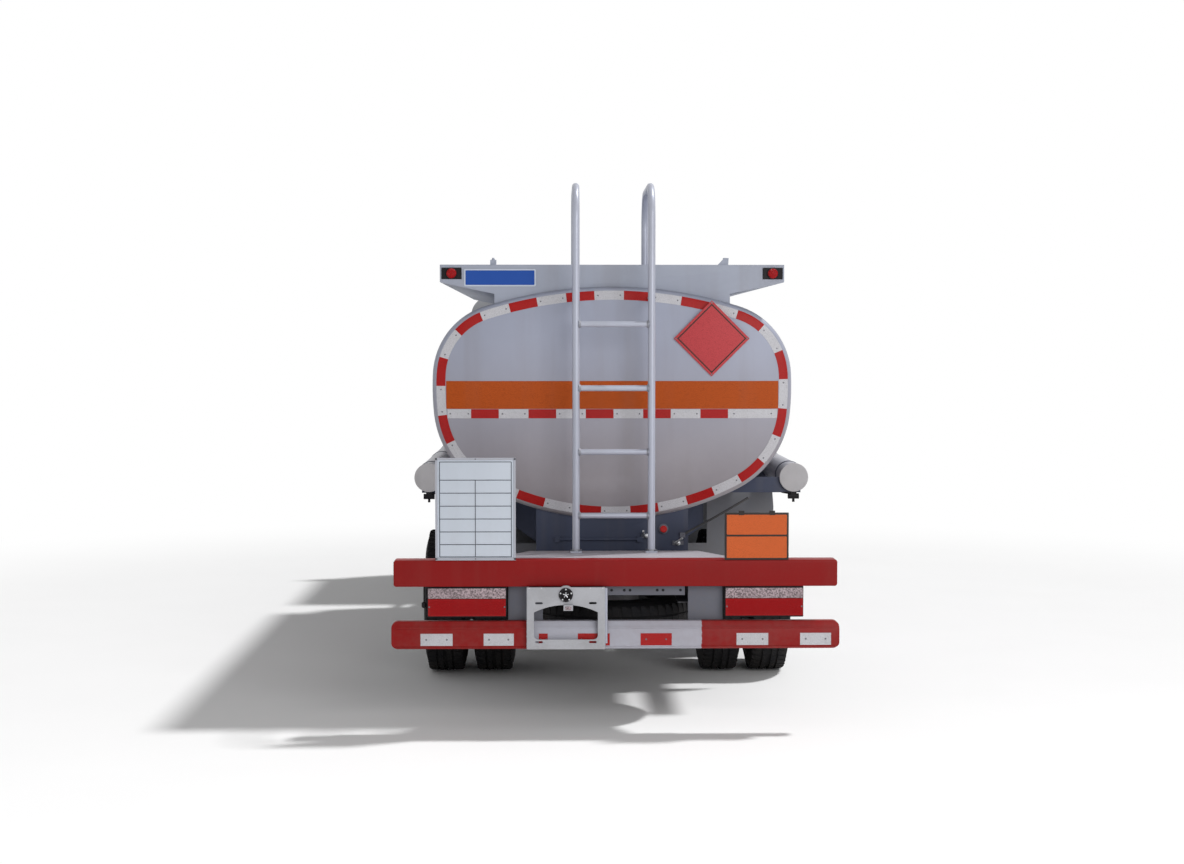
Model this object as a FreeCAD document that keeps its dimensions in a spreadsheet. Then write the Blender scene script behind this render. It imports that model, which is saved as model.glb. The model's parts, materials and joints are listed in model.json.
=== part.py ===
import FreeCAD, Part
import math
import os

import Sketcher

# A light tanker lorry with two axles and a tilting cab. The rear face is at -Y, the front at +Y,
# the ground at Z = 0, and the left side of the vehicle is -X.

SIZES = {
    # whole vehicle
    "truck_length": 7100,
    "rear_overhang": 1950,
    "front_overhang": 1150,
    "running_gap": 0.3,
    "seat_gap": 0.3,
    "cut_overrun": 40,
    # chassis frame
    "frame_width": 780,
    "rail_top": 830,
    "rail_height": 180,
    "rail_flange": 65,
    "rail_wall": 7,
    "rail_front_setback": 170,
    "member_depth": 55,
    "member_height": 120,
    "tail_member_height": 52,
    # rear beam, bumper and what hangs between them
    "plate_stand_off": 30,
    "beam_width": 2275,
    "beam_bottom": 750,
    "beam_height": 136,
    "beam_depth": 110,
    "beam_corner": 14,
    "deck_depth": 330,
    "deck_rear_width": 1240,
    "deck_front_width": 900,
    "deck_thick": 26,
    "bumper_width": 2300,
    "bumper_bottom": 427,
    "bumper_height": 144,
    "bumper_depth": 60,
    "bumper_flat_low": 18,
    "bumper_flat_high": 96,
    "bumper_slope_depth": 18,
    "bumper_corner": 34,
    "bracket_inner": 374,
    "bracket_outer": 553,
    "bracket_thick": 8,
    "tail_lamp_inner": 560,
    "tail_lamp_outer": 965,
    "tail_lamp_height": 160,
    "tail_lamp_depth": 70,
    "tail_lamp_setback": 14,
    # number plate bracket
    "plate_offset": 256,
    "plate_width": 400,
    "plate_bottom": 432,
    "plate_height": 318,
    "plate_thick": 4,
    "plate_tube": 11,
    "plate_window_width": 326,
    "plate_window_bottom": 482,
    "plate_window_shoulder": 622,
    "plate_window_top": 660,
    "plate_window_corner": 22,
    "plate_slot_length": 39,
    "plate_slot_height": 11,
    "plate_slot_pitch_wide": 275,
    "plate_slot_pitch_high": 200,
    "plate_slot_centre": 569,
    "socket_radius": 42,
    "socket_depth": 22,
    "socket_height": 716,
    # spare wheel
    "spare_setback": 610,
    "spare_top": 640,
    "spare_column": 30,
    # tank
    "tank_width": 1950,
    "tank_bottom": 1037,
    "tank_height": 1263,
    "tank_crown_radius": 2300,
    "tank_top_corner": 400,
    "tank_side_radius": 1500,
    "tank_low_corner": 520,
    "tank_belly_radius": 1500,
    "tank_middle_rise": 90,
    "tank_rear_setback": 690,
    "tank_front_setback": 2170,
    "head_crown": 72,
    "head_inset": 330,
    "head_knuckle": 38,
    # subframe and saddles
    "subframe_outer": 415,
    "subframe_wall": 70,
    "end_plate_thick": 10,
    "saddle_thick": 10,
    "saddle_rear_setback": 1430,
    "saddle_pitch": 960,
    "saddle_reach": 555,
    "saddle_shoulder": 100,
    # hose tubes
    "tube_radius": 75,
    "tube_offset": 1005,
    "tube_height": 1256,
    "tube_rear_setback": 800,
    "tube_front_gap": 130,
    "tube_cap": 12,
    "tube_cap_rim": 4,
    "tube_bracket_pitch": 980,
    "tube_bracket_inner": 600,
    "tube_bracket_lip": 10,
    "tube_bracket_reach": 40,
    # top walkway
    "walk_width": 1870,
    "walk_rise": 120,
    "walk_side_height": 95,
    "walk_foot": 640,
    "walk_foot_drop": 38,
    "walk_inner": 430,
    "walk_plate": 6,
    "walk_end_plate": 8,
    "walk_rib_pitch": 700,
    "walk_landing": 590,
    "walk_lamp_wide": 110,
    "walk_lamp_high": 62,
    "walk_lamp_radius": 24,
    "walk_lamp_depth": 30,
    # ladder
    "ladder_half_width": 200,
    "ladder_rail": 17,
    "ladder_rung": 13,
    "ladder_setback": 400,
    "ladder_rise": 430,
    "ladder_bend": 210,
    "ladder_reach": 820,
    "ladder_foot": 195,
    "ladder_pitch": 338,
    "ladder_foot_plate": 60,
    "ladder_foot_thick": 8,
    "ladder_tie_drop": 62,
    "ladder_tie": 10,
    # plates and boards at the rear
    "diamond_side": 290,
    "diamond_offset": 535,
    "diamond_height": 2020,
    "sign_thick": 4,
    "sign_stem": 60,
    "sign_stem_reach": 3,
    "board_offset": 717,
    "board_width": 410,
    "board_height": 524,
    "board_thick": 16,
    "board_leg": 20,
    "orange_offset": 722,
    "orange_width": 328,
    "orange_height": 242,
    # manhole and vents
    "manhole_radius": 260,
    "manhole_wall": 10,
    "manhole_setback": 2500,
    "manhole_rise": 90,
    "manhole_flange": 24,
    "manhole_flange_thick": 14,
    "lid_thick": 16,
    "lid_gap": 6,
    "lid_hinge_reach": 34,
    "lid_pin": 9,
    "lid_boss": 18,
    "lid_lug_thick": 16,
    "vent_radius": 62,
    "vent_rise": 102,
    "vent_setback": 1700,
    # wheels and tyres
    "tyre_radius": 428,
    "tyre_width": 246,
    "tyre_tread": 186,
    "tyre_shoulder": 26,
    "tyre_bead": 150,
    "tyre_bead_radius": 204,
    "tyre_belly_radius": 316,
    "tyre_sides": 36,
    "rim_sides": 24,
    "bar_sides": 12,
    "grip_sides": 6,
    "rim_width": 176,
    "rim_wall": 7,
    "rim_flange": 217,
    "rim_well": 178,
    "rim_well_width": 70,
    "disc_thick": 12,
    "dish_radius": 122,
    "dish_hole": 82,
    "hub_radius": 86,
    "hub_cap_length": 25,
    "rear_hub_length": 110,
    "hub_bore_gap": 0.5,
    "drum_radius": 145,
    "drum_back": 225,
    "drum_front": 75,
    "front_track": 1660,
    "rear_track": 1650,
    "twin_spacing": 292,
    # front axle
    "king_pin_offset": 680,
    "king_pin_radius": 15,
    "king_boss": 34,
    "axle_beam_drop": 60,
    "axle_beam_height": 74,
    "axle_beam_depth": 80,
    "axle_beam_low_half": 470,
    "knuckle_lug": 32,
    "knuckle_web": 26,
    "spindle_radius": 28,
    "steer_arm_length": 175,
    "steer_arm_width": 30,
    "steer_arm_thick": 22,
    "tie_rod_radius": 15,
    "tie_ball_radius": 20,
    # rear axle
    "axle_tube": 60,
    "axle_end": 590,
    "axle_stub_end": 900,
    "diff_radius": 185,
    "diff_length": 230,
    "diff_nose": 95,
    "diff_nose_length": 300,
    "shaft_radius": 38,
    # leaf springs
    "leaf_thick": 11,
    "front_spring_half": 575,
    "front_spring_camber": 78,
    "front_spring_leaves": 4,
    "front_spring_centre": 400,
    "rear_spring_half": 650,
    "rear_spring_camber": 84,
    "rear_spring_leaves": 6,
    "rear_spring_centre": 449,
    "spring_width": 72,
    "spring_eye": 26,
    "spring_clamp": 100,
    "spring_clamp_thick": 16,
    "hanger_thick": 18,
    "hanger_length": 90,
    "hanger_rise": 90,
    # engine
    "engine_width": 560,
    "engine_length": 900,
    "engine_bottom": 560,
    "engine_height": 560,
    "engine_behind_axle": 450,
    "gearbox_width": 360,
    "gearbox_length": 560,
    "gearbox_height": 330,
    "gearbox_bottom": 575,
    "radiator_width": 600,
    "radiator_depth": 80,
    "radiator_gap": 130,
    "radiator_bottom": 600,
    "radiator_height": 520,
    "mount_width": 90,
    "mount_height": 60,
    # boxes on the frame
    "fuel_offset": 480,
    "fuel_width": 470,
    "fuel_length": 760,
    "fuel_bottom": 440,
    "fuel_height": 400,
    "fuel_corner": 90,
    "fuel_setback": 960,
    "battery_length": 420,
    "battery_setback": 1800,
    "battery_bottom": 520,
    "battery_height": 300,
    "battery_width": 330,
    "silencer_radius": 120,
    "silencer_length": 620,
    "silencer_setback": 1580,
    "silencer_height": 560,
    "silencer_centre": 560,
    "exhaust_radius": 32,
    "box_bracket": 12,
    # side guards
    "guard_offset": 1085,
    "guard_rail_height": 96,
    "guard_rail_depth": 28,
    "guard_low": 420,
    "guard_high": 700,
    "guard_ahead": 720,
    "guard_setback": 680,
    "guard_right_ahead": 1450,
    "guard_post": 50,
    "guard_arm": 40,
    # discharge cabinet and pipe
    "cabinet_ahead": 600,
    "cabinet_length": 760,
    "cabinet_depth": 400,
    "cabinet_bottom": 470,
    "cabinet_height": 560,
    "cabinet_wall": 16,
    "cabinet_gap": 5,
    "cabinet_hinge": 7,
    "pipe_radius": 45.5,
    "pipe_wall": 5,
    "pipe_ahead": 1720,
    "pipe_height": 610,
    "pipe_end": 1070,
    "pipe_bend": 110,
    "pipe_drop_offset": 560,
    "pipe_flange": 70,
    "pipe_flange_thick": 16,
    # rear mudguards
    "guard_inner": 572,
    "guard_outer": 962,
    "mud_wall": 6,
    "mud_half": 560,
    "mud_low": 620,
    "mud_shoulder": 1044,
    "mud_top": 1165,
    "mud_top_half": 470,
    # cab
    "cab_rear_setback": 1730,
    "cab_front_setback": 80,
    "cab_width": 2060,
    "cab_roof_width": 1930,
    "cab_bottom": 845,
    "cab_belt": 1470,
    "cab_roof": 2360,
    "cab_screen_lean": 190,
    "cab_wall": 45,
    "cab_corner": 150,
    "cab_plan_corner": 230,
    "cab_floor": 900,
    "cab_floor_thick": 40,
    "arch_radius": 520,
    "tunnel_width": 720,
    "tunnel_top": 1200,
    "tunnel_wall": 16,
    "screen_bottom": 1500,
    "screen_top": 2200,
    "screen_bottom_width": 1800,
    "screen_top_width": 1680,
    "window_corner": 70,
    "rear_window_width": 1000,
    "rear_window_bottom": 1520,
    "rear_window_top": 2080,
    "glass_depth": 14,
    "glass_thick": 6,
    "glass_gap": 0.5,
    "door_front_setback": 430,
    "door_rear_setback": 1430,
    "door_bottom": 965,
    "door_top": 2190,
    "door_lean": 110,
    "door_corner": 60,
    "door_gap": 6,
    "door_frame": 85,
    "door_sill": 1480,
    "door_hinge_out": 12,
    "door_hinge_radius": 9,
    "door_hinge_pin": 5,
    "door_hinge_length": 60,
    "door_hinge_leaf": 44,
    "door_hinge_lug": 14,
    "door_hinge_low": 1060,
    "door_hinge_pitch": 290,
    "door_hinge_lift": 3,
    "grille_width": 980,
    "grille_bottom": 900,
    "grille_height": 250,
    "grille_bar": 22,
    "grille_bars": 5,
    "grille_depth": 30,
    # cab inside
    "seat_width": 490,
    "seat_offset": 600,
    "seat_length": 480,
    "seat_cushion": 130,
    "seat_height": 1230,
    "seat_back_height": 660,
    "seat_back_thick": 110,
    "seat_setback": 1540,
    "seat_base_width": 380,
    "dash_depth": 340,
    "dash_bottom": 1230,
    "dash_height": 210,
    "dash_foot": 120,
    "wheel_ring": 205,
    "wheel_grip": 14,
    "steer_offset": 600,
    "steer_height": 1530,
    "steer_setback": 330,
    "column_radius": 22,
    # mirrors
    "mirror_width": 190,
    "mirror_height": 380,
    "mirror_depth": 46,
    "mirror_reach": 90,
    "mirror_bottom": 1560,
    "mirror_setback": 360,
    "mirror_arm": 12,
    # front bumper
    "nose_width": 2120,
    "nose_bottom": 380,
    "nose_height": 320,
    "nose_wall": 60,
    "nose_corner": 190,
    "nose_return": 540,
    "nose_lamp_offset": 720,
    "nose_lamp_width": 330,
    "nose_lamp_height": 150,
    "nose_lamp_bottom": 500,
    "nose_lamp_depth": 50,
    "nose_arm_length": 180,
    "step_depth": 230,
    "step_bottom": 420,
    "step_height": 34,
    # tilt hinge of the cab
    "tilt_setback": 100,
    "tilt_height": 700,
    "tilt_pin": 16,
    "tilt_boss": 30,
    "tilt_offset": 420,
    "tilt_lug": 40,
}

doc = FreeCAD.newDocument("tanker_truck")
VECTOR = FreeCAD.Vector


class Size:
    """A value in millimetres with the sheet expression that gives it."""

    def __init__(self, value, text):
        self.value = float(value)
        self.text = text

    def __add__(self, other):
        return joined(self, other, "+", lambda a, b: a + b)

    def __radd__(self, other):
        return joined(other, self, "+", lambda a, b: a + b)

    def __sub__(self, other):
        return joined(self, other, "-", lambda a, b: a - b)

    def __rsub__(self, other):
        return joined(other, self, "-", lambda a, b: a - b)

    def __mul__(self, other):
        return joined(self, other, "*", lambda a, b: a * b)

    def __rmul__(self, other):
        return joined(other, self, "*", lambda a, b: a * b)

    def __truediv__(self, other):
        return joined(self, other, "/", lambda a, b: a / b)

    def __neg__(self):
        return joined(0, self, "-", lambda a, b: a - b)


def as_size(number):
    """A plain number as a Size, and a Size as it is."""
    return number if isinstance(number, Size) else Size(number, "(%r)" % number)


def joined(left, right, sign, work):
    """The Size that two values give under one arithmetic sign."""
    left, right = as_size(left), as_size(right)
    text = "(%s %s %s)" % (left.text, sign, right.text)
    return Size(work(left.value, right.value), text)


def root(size):
    """The square root of a Size."""
    return Size(math.sqrt(size.value), "sqrt(%s)" % size.text)


class SizeSheet:
    """Gives each size of the sheet by its name."""

    def __getattr__(self, name):
        return Size(SIZES[name], "sizes." + name)


def fill_sheet():
    """Write every driving size into the document's sheet, with its alias."""
    sheet = doc.addObject("Spreadsheet::Sheet", "sizes")
    for row, (name, value) in enumerate(SIZES.items(), start=1):
        sheet.set("A%d" % row, name)
        sheet.set("B%d" % row, str(value))
        sheet.setAlias("B%d" % row, name)


s = SizeSheet()
fill_sheet()
doc.recompute()

TURNS = {
    "x": FreeCAD.Rotation(VECTOR(0, 1, 0), 90),
    "y": FreeCAD.Rotation(VECTOR(1, 0, 0), -90),
    "z": FreeCAD.Rotation(),
}
PLANES = {
    "side": ("YZ_Plane", "x", FreeCAD.Rotation(VECTOR(1, 1, 1), 120)),
    "front": ("XZ_Plane", "y", FreeCAD.Rotation(VECTOR(1, 0, 0), 90)),
    "plan": ("XY_Plane", "z", FreeCAD.Rotation()),
}
DIRECTIONS = {"x": VECTOR(1, 0, 0), "y": VECTOR(0, 1, 0), "z": VECTOR(0, 0, 1)}
subparts = []


def bind(thing, name, size):
    """Tie a property to the sheet through a Size."""
    thing.setExpression(name, as_size(size).text)


def place(thing, x=0, y=0, z=0, turn=None):
    """Put a thing at a spot whose coordinates are Sizes or zero."""
    values = [as_size(value) for value in (x, y, z)]
    spot = VECTOR(*[value.value for value in values])
    thing.Placement = FreeCAD.Placement(spot, turn or FreeCAD.Rotation())
    for axis, value in zip("xyz", values):
        thing.setExpression("Placement.Base." + axis, value.text)
    return thing


def subpart(thing, label):
    """Name a finished sub-part and note it for writing."""
    thing.Label = label
    subparts.append(thing)
    return thing


def block(name, xs, ys, zs):
    """A box between a low and a high limit on each axis."""
    box = doc.addObject("Part::Box", name)
    for side, (low, high) in zip(("Length", "Width", "Height"), (xs, ys, zs)):
        bind(box, side, high - low)
    return place(box, xs[0], ys[0], zs[0])


def centred(width, middle=0):
    """The limits of a width about a middle."""
    return (middle - width / 2, middle + width / 2)


def along(start, length):
    """The limits of a length from a start."""
    return (start, start + length)


def rod(name, axis, radius, spot, length):
    """A cylinder that starts at a spot and runs along an axis."""
    cylinder = doc.addObject("Part::Cylinder", name)
    bind(cylinder, "Radius", radius)
    bind(cylinder, "Height", length)
    return place(cylinder, *spot, turn=TURNS[axis])


def flat_bar(name, axis, radius, spot, length, sides=None):
    """A bar in flats that starts at a spot and runs along an axis, where no roundness is asked of it."""
    prism = doc.addObject("Part::Prism", name)
    prism.Polygon = int((sides or s.bar_sides).value)
    bind(prism, "Circumradius", radius)
    bind(prism, "Height", length)
    return place(prism, *spot, turn=TURNS[axis])


def arc_between(start, stop, radius):
    """The arc from start to stop; a positive radius turns left, a negative one right."""
    half = (stop - start).Length / 2
    rise = math.sqrt(max(radius * radius - half * half, 0)) * (1 if radius > 0 else -1)
    across = VECTOR(start.y - stop.y, stop.x - start.x, 0)
    centre = (start + stop) * 0.5 + across * (rise / (2 * half))
    first, last = (start, stop) if radius > 0 else (stop, start)
    low = math.atan2(first.y - centre.y, first.x - centre.x)
    high = math.atan2(last.y - centre.y, last.x - centre.x)
    circle = Part.Circle(centre, VECTOR(0, 0, 1), abs(radius))
    return Part.ArcOfCircle(circle, low, high if high > low else high + 2 * math.pi)


def fix_point(sketch, item, end, u, v):
    """Hold one end of a sketch line at two Sizes."""
    for kind, size in (("DistanceX", as_size(u)), ("DistanceY", as_size(v))):
        index = sketch.addConstraint(Sketcher.Constraint(kind, -1, 1, item, end, size.value))
        sketch.setExpression("Constraints[%d]" % index, size.text)


def fix_radius(sketch, item, radius):
    """Hold the radius of a sketch arc or circle at a Size."""
    radius = radius if radius.value > 0 else -radius
    index = sketch.addConstraint(Sketcher.Constraint("Radius", item, radius.value))
    sketch.setExpression("Constraints[%d]" % index, radius.text)


def draw_loop(sketch, steps, closed=True):
    """Lines and arcs through the steps; a step with a radius is reached by an arc."""
    spots = [VECTOR(as_size(step[0]).value, as_size(step[1]).value, 0) for step in steps]
    ends = []
    for number in range(len(steps) if closed else len(steps) - 1):
        following = (number + 1) % len(steps)
        start, stop, step = spots[number], spots[following], steps[following]
        bend = as_size(step[2]) if len(step) > 2 else None
        curve = arc_between(start, stop, bend.value) if bend else Part.LineSegment(start, stop)
        item = sketch.addGeometry(curve, False)
        ends.append((item, 2, 1) if bend and bend.value < 0 else (item, 1, 2))
        fix_point(sketch, item, ends[-1][1], *steps[number][:2])
        if bend:
            fix_radius(sketch, item, bend)
    for before, after in zip(ends, ends[1:] + ends[:1] if closed else ends[1:]):
        sketch.addConstraint(Sketcher.Constraint("Coincident", before[0], before[2], after[0], after[1]))
    if not closed:
        fix_point(sketch, ends[-1][0], ends[-1][2], *steps[-1][:2])


def draw(sketch, loops):
    """Every loop of an outline."""
    for loop in loops:
        draw_loop(sketch, loop)


def body_sketch(body, plane, name, loops):
    """A sketch on one of the body's own origin planes."""
    sketch = body.newObject("Sketcher::SketchObject", name)
    role = PLANES[plane][0]
    support = [item for item in body.Origin.OriginFeatures if item.Role == role][0]
    sketch.AttachmentSupport = [(support, "")]
    sketch.MapMode = "FlatFace"
    draw(sketch, loops)
    return sketch


BEND_SHARES = (1 / 3, 2 / 3, 1)


def bend_steps(corner, before, after):
    """The points of a bend in three straight steps about a corner, between its two tangent points."""
    steps = []
    for share in BEND_SHARES:
        turn = share * math.pi / 2
        near, far = 1 - math.sin(turn), 1 - math.cos(turn)
        steps.append(tuple(
            corner[n] + near * (before[n] - corner[n]) + far * (after[n] - corner[n]) for n in range(2)
        ))
    return steps


def pad(name, plane, loops, start, length):
    """A body that carries its outline from a start along the plane's axis."""
    body = doc.addObject("PartDesign::Body", name)
    feature = body.newObject("PartDesign::Pad", name + "_pad")
    feature.Profile = body_sketch(body, plane, name + "_outline", loops)
    bind(feature, "Length", length)
    feature.Reversed = plane == "front"
    body.Tip = feature
    return place(body, **{PLANES[plane][1]: start})


def turned(name, plane, loops, axis, spot):
    """A body turned about an axis of its sketch."""
    body = doc.addObject("PartDesign::Body", name)
    feature = body.newObject("PartDesign::Revolution", name + "_turning")
    sketch = body_sketch(body, plane, name + "_outline", loops)
    feature.Profile = sketch
    feature.ReferenceAxis = (sketch, [axis])
    feature.Angle = 360
    body.Tip = feature
    return place(body, *spot)


def piped(name, plane, steps, radius, start_plane, spot):
    """A bar in flats swept along an open route that leaves its origin square to the start plane."""
    body = doc.addObject("PartDesign::Body", name)
    route = body_sketch(body, plane, name + "_route", [])
    draw_loop(route, steps, closed=False)
    turns = [2 * math.pi * number / s.bar_sides.value for number in range(int(s.bar_sides.value))]
    flats = [(radius * math.cos(turn), radius * math.sin(turn)) for turn in turns]
    section = body_sketch(body, start_plane, name + "_section", [flats])
    feature = body.newObject("PartDesign::AdditivePipe", name + "_pipe")
    feature.Profile = section
    feature.Spine = route
    feature.Transition = "Right corner"
    body.Tip = feature
    return place(body, *spot)


def outline(name, plane, loops):
    """A free sketch in one of the main planes."""
    sketch = doc.addObject("Sketcher::SketchObject", name)
    sketch.Placement = FreeCAD.Placement(VECTOR(0, 0, 0), PLANES[plane][2])
    draw(sketch, loops)
    return sketch


def offset(name, source, distance, sharp=False):
    """An outline moved outwards, or inwards with a negative distance."""
    shape = doc.addObject("Part::Offset2D", name)
    shape.Source = source
    shape.Join = "Intersection" if sharp else "Arc"
    bind(shape, "Value", distance)
    return shape


def softened(name, plane, loops, radius):
    """An outline whose corners are rounded by one radius."""
    sharp = outline(name + "_corners", plane, loops)
    return offset(name, offset(name + "_core", sharp, -radius, sharp=True), radius)


def extruded(name, source, axis, start, length):
    """An outline carried from a start along an axis."""
    solid = doc.addObject("Part::Extrusion", name)
    solid.Base = source
    solid.DirMode = "Custom"
    solid.Dir = DIRECTIONS[axis]
    solid.Solid = True
    bind(solid, "LengthFwd", length)
    return place(solid, **{axis: start})


def fuse(name, *things):
    """One solid of several that touch or overlap."""
    union = doc.addObject("Part::MultiFuse", name)
    union.Shapes = list(things)
    union.Refine = True
    return union


def cut(name, base, *tools):
    """A base with every tool taken away."""
    result = doc.addObject("Part::Cut", name)
    result.Base = base
    result.Tool = tools[0] if len(tools) == 1 else fuse(name + "_tools", *tools)
    return result


def common(name, *things):
    """What several solids share."""
    result = doc.addObject("Part::MultiCommon", name)
    result.Shapes = list(things)
    return result


def group(name, *things):
    """Separate solids kept as one sub-part."""
    compound = doc.addObject("Part::Compound", name)
    compound.Links = list(things)
    return compound


def mirrored(name, source):
    """The same thing on the other side of the vehicle."""
    mirror = doc.addObject("Part::Mirroring", name)
    mirror.Source = source
    mirror.Normal = VECTOR(1, 0, 0)
    return mirror


def pair(name, source):
    """A thing and its mirror image as one sub-part."""
    return group(name, source, mirrored(name + "_twin", source))


# places that several pieces share
rear_face = -s.truck_length / 2
front_face = s.truck_length / 2
metal_rear = rear_face + s.plate_stand_off
rear_axle = rear_face + s.rear_overhang
front_axle = front_face - s.front_overhang
wheel_height = s.tyre_radius
rail_bottom = s.rail_top - s.rail_height
rail_inner = s.frame_width / 2 - s.rail_wall
frame_rear = metal_rear + s.beam_depth
frame_front = front_face - s.rail_front_setback
tank_rear = rear_face + s.tank_rear_setback
tank_front = front_face - s.tank_front_setback
tank_span = tank_front - tank_rear
tank_top = s.tank_bottom + s.tank_height
tank_middle = s.tank_bottom + s.tank_height / 2 + s.tank_middle_rise
deck_top = s.beam_bottom + s.beam_height
cab_front = front_face - s.cab_front_setback
cab_half = s.cab_width / 2
cab_rear_y = front_face - s.cab_rear_setback
door_front_y = front_face - s.door_front_setback
door_rear_y = front_face - s.door_rear_setback
seat_rear_y = front_face - s.seat_setback
mirror_y = front_face - s.mirror_setback
fuel_front_y = front_axle - s.fuel_setback
battery_front_y = front_axle - s.battery_setback
silencer_rear_y = front_axle - s.silencer_setback
guard_front_y = front_axle - s.guard_setback
guard_rear_y = rear_axle + s.guard_ahead
guard_right_rear_y = rear_axle + s.guard_right_ahead
cabinet_rear_y = rear_axle + s.cabinet_ahead
pipe_y = rear_axle + s.pipe_ahead
tube_rear_y = rear_face + s.tube_rear_setback
tube_span = tank_front - s.tube_front_gap - tube_rear_y
walk_height = tank_top + s.walk_rise
walk_foot_top = tank_top - s.walk_foot_drop
ladder_height = walk_height + s.ladder_rise
neck_rim = tank_top + s.manhole_rise
vent_top = tank_top + s.vent_rise


def copies(length, pitch):
    """How many copies at a pitch fit on a length."""
    return int(length.value / pitch.value) + 1


def spring_seat(centre_height, leaves):
    """The height of the top of the main leaf above its axle."""
    return centre_height + s.leaf_thick * leaves


front_beam_top = wheel_height - s.axle_beam_drop + s.axle_beam_height / 2
front_leaf_top = spring_seat(front_beam_top, s.front_spring_leaves)
rear_leaf_top = spring_seat(wheel_height + s.axle_tube, s.rear_spring_leaves)
front_eye_height = front_leaf_top - s.leaf_thick / 2 + s.front_spring_camber
rear_eye_height = rear_leaf_top - s.leaf_thick / 2 + s.rear_spring_camber


def rail_channel():
    """The left rail's channel, open towards the middle."""
    out, inside = -s.frame_width / 2, -rail_inner
    lip = out + s.rail_flange
    low, high = rail_bottom, s.rail_top
    return [
        (out, low), (lip, low), (lip, low + s.rail_wall), (inside, low + s.rail_wall),
        (inside, high - s.rail_wall), (lip, high - s.rail_wall), (lip, high), (out, high),
    ]


def cross_member(number, middle, top):
    """A channel between the rails, open downwards."""
    ys, wall = centred(s.member_depth, middle), s.rail_wall
    low = top - s.member_height
    steps = [
        (ys[0], low), (ys[0] + wall, low), (ys[0] + wall, top - wall), (ys[1] - wall, top - wall),
        (ys[1] - wall, low), (ys[1], low), (ys[1], top), (ys[0], top),
    ]
    return pad("member_%d" % number, "side", [steps], -rail_inner, 2 * rail_inner)


def hanger(name, xs, middle, zs):
    """A spring hanger plate."""
    return block(name, xs, centred(s.hanger_length, middle), zs)


def front_hangers():
    """The plates that hold the front springs under the left rail."""
    outer = -(s.front_spring_centre - s.spring_width / 2)
    xs = (outer, outer + s.hanger_thick)
    zs = (front_eye_height - s.spring_eye, rail_bottom)
    spots = (front_axle - s.front_spring_half, front_axle + s.front_spring_half)
    return [hanger("front_hanger_%d" % n, xs, spot, zs) for n, spot in enumerate(spots)]


def rear_hangers():
    """The plates that hold the rear springs beside the left rail."""
    xs = (-(s.rear_spring_centre - s.spring_width / 2), -s.frame_width / 2)
    zs = (rear_eye_height - s.spring_eye, rear_eye_height + s.hanger_rise)
    spots = (rear_axle - s.rear_spring_half, rear_axle + s.rear_spring_half)
    return [hanger("rear_hanger_%d" % n, xs, spot, zs) for n, spot in enumerate(spots)]


def tilt_stand():
    """The frame's ears and pin that the cab tilts on."""
    pivot_y = cab_front - s.tilt_setback
    inside = s.tilt_offset - s.tilt_lug / 2 - s.running_gap
    ear = block("tilt_ear", (inside - s.tilt_lug, inside), centred(2 * s.tilt_boss, pivot_y),
                (rail_bottom, s.tilt_height))
    spot = (inside - s.tilt_lug, pivot_y, s.tilt_height)
    ear_boss = rod("tilt_ear_boss", "x", s.tilt_boss, spot, s.tilt_lug)
    beam = block("tilt_beam", centred(s.frame_width), (frame_front, pivot_y + s.tilt_boss),
                 (rail_bottom, rail_bottom + s.rail_wall))
    pin = rod("tilt_pin_piece", "x", s.tilt_pin, (-s.tilt_offset - s.tilt_lug / 2, pivot_y, s.tilt_height),
              2 * s.tilt_offset + s.tilt_lug)
    twins = [mirrored("tilt_ear_twin", ear), mirrored("tilt_ear_boss_twin", ear_boss)]
    return [ear, ear_boss, *twins, beam, pin]


def chassis_frame():
    """Two channel rails, their cross members and the spring hangers."""
    rail = pad("rail", "front", [rail_channel()], frame_rear, frame_front - frame_rear)
    side = fuse("left_rail", rail, *front_hangers(), *rear_hangers())
    spare = rear_face + s.spare_setback
    gearbox_rear = front_axle - s.engine_behind_axle - s.gearbox_length
    middles = [
        spare, rear_axle - s.rear_spring_half, rear_axle + s.rear_spring_half,
        (rear_axle + front_axle) / 2, gearbox_rear - s.member_depth, frame_front - s.member_depth,
    ]
    members = [cross_member(n, spot, s.rail_top) for n, spot in enumerate(middles)]
    column_low = s.spare_top - s.tyre_width / 2 + s.twin_spacing / 2 + s.seat_gap
    column = flat_bar("spare_column", "z", s.spare_column, (0, spare, column_low),
                 s.rail_top - s.rail_wall - column_low)
    carrier = flat_bar("spare_carrier", "z", s.dish_radius, (0, spare, column_low), s.disc_thick, s.rim_sides)
    frame = fuse("frame", side, mirrored("right_rail", side), column, carrier, *members, *tilt_stand())
    subpart(frame, "chassis_frame")


def rear_beam():
    """The upper beam across the rear."""
    zs = along(s.beam_bottom, s.beam_height)
    xs = centred(s.beam_width)
    steps = [(xs[0], zs[0]), (xs[1], zs[0]), (xs[1], zs[1]), (xs[0], zs[1])]
    face = softened("beam_face", "front", [steps], s.beam_corner)
    subpart(extruded("beam", face, "y", metal_rear, s.beam_depth), "rear_beam")


def rear_deck():
    """The step plate in front of the beam, with its front corners cut off."""
    ys = along(metal_rear + s.beam_depth, s.deck_depth)
    rear, front = s.deck_rear_width / 2, s.deck_front_width / 2
    steps = [(-rear, ys[0]), (rear, ys[0]), (front, ys[1]), (-front, ys[1])]
    plate = pad("deck_plate", "plan", [steps], deck_top - s.deck_thick, s.deck_thick)
    bearer_ys = along(ys[0], s.deck_depth - s.deck_thick)
    bearer = block("deck_bearer", centred(s.frame_width), bearer_ys, (s.rail_top, deck_top - s.deck_thick))
    subpart(fuse("deck", plate, bearer), "rear_deck")


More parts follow.
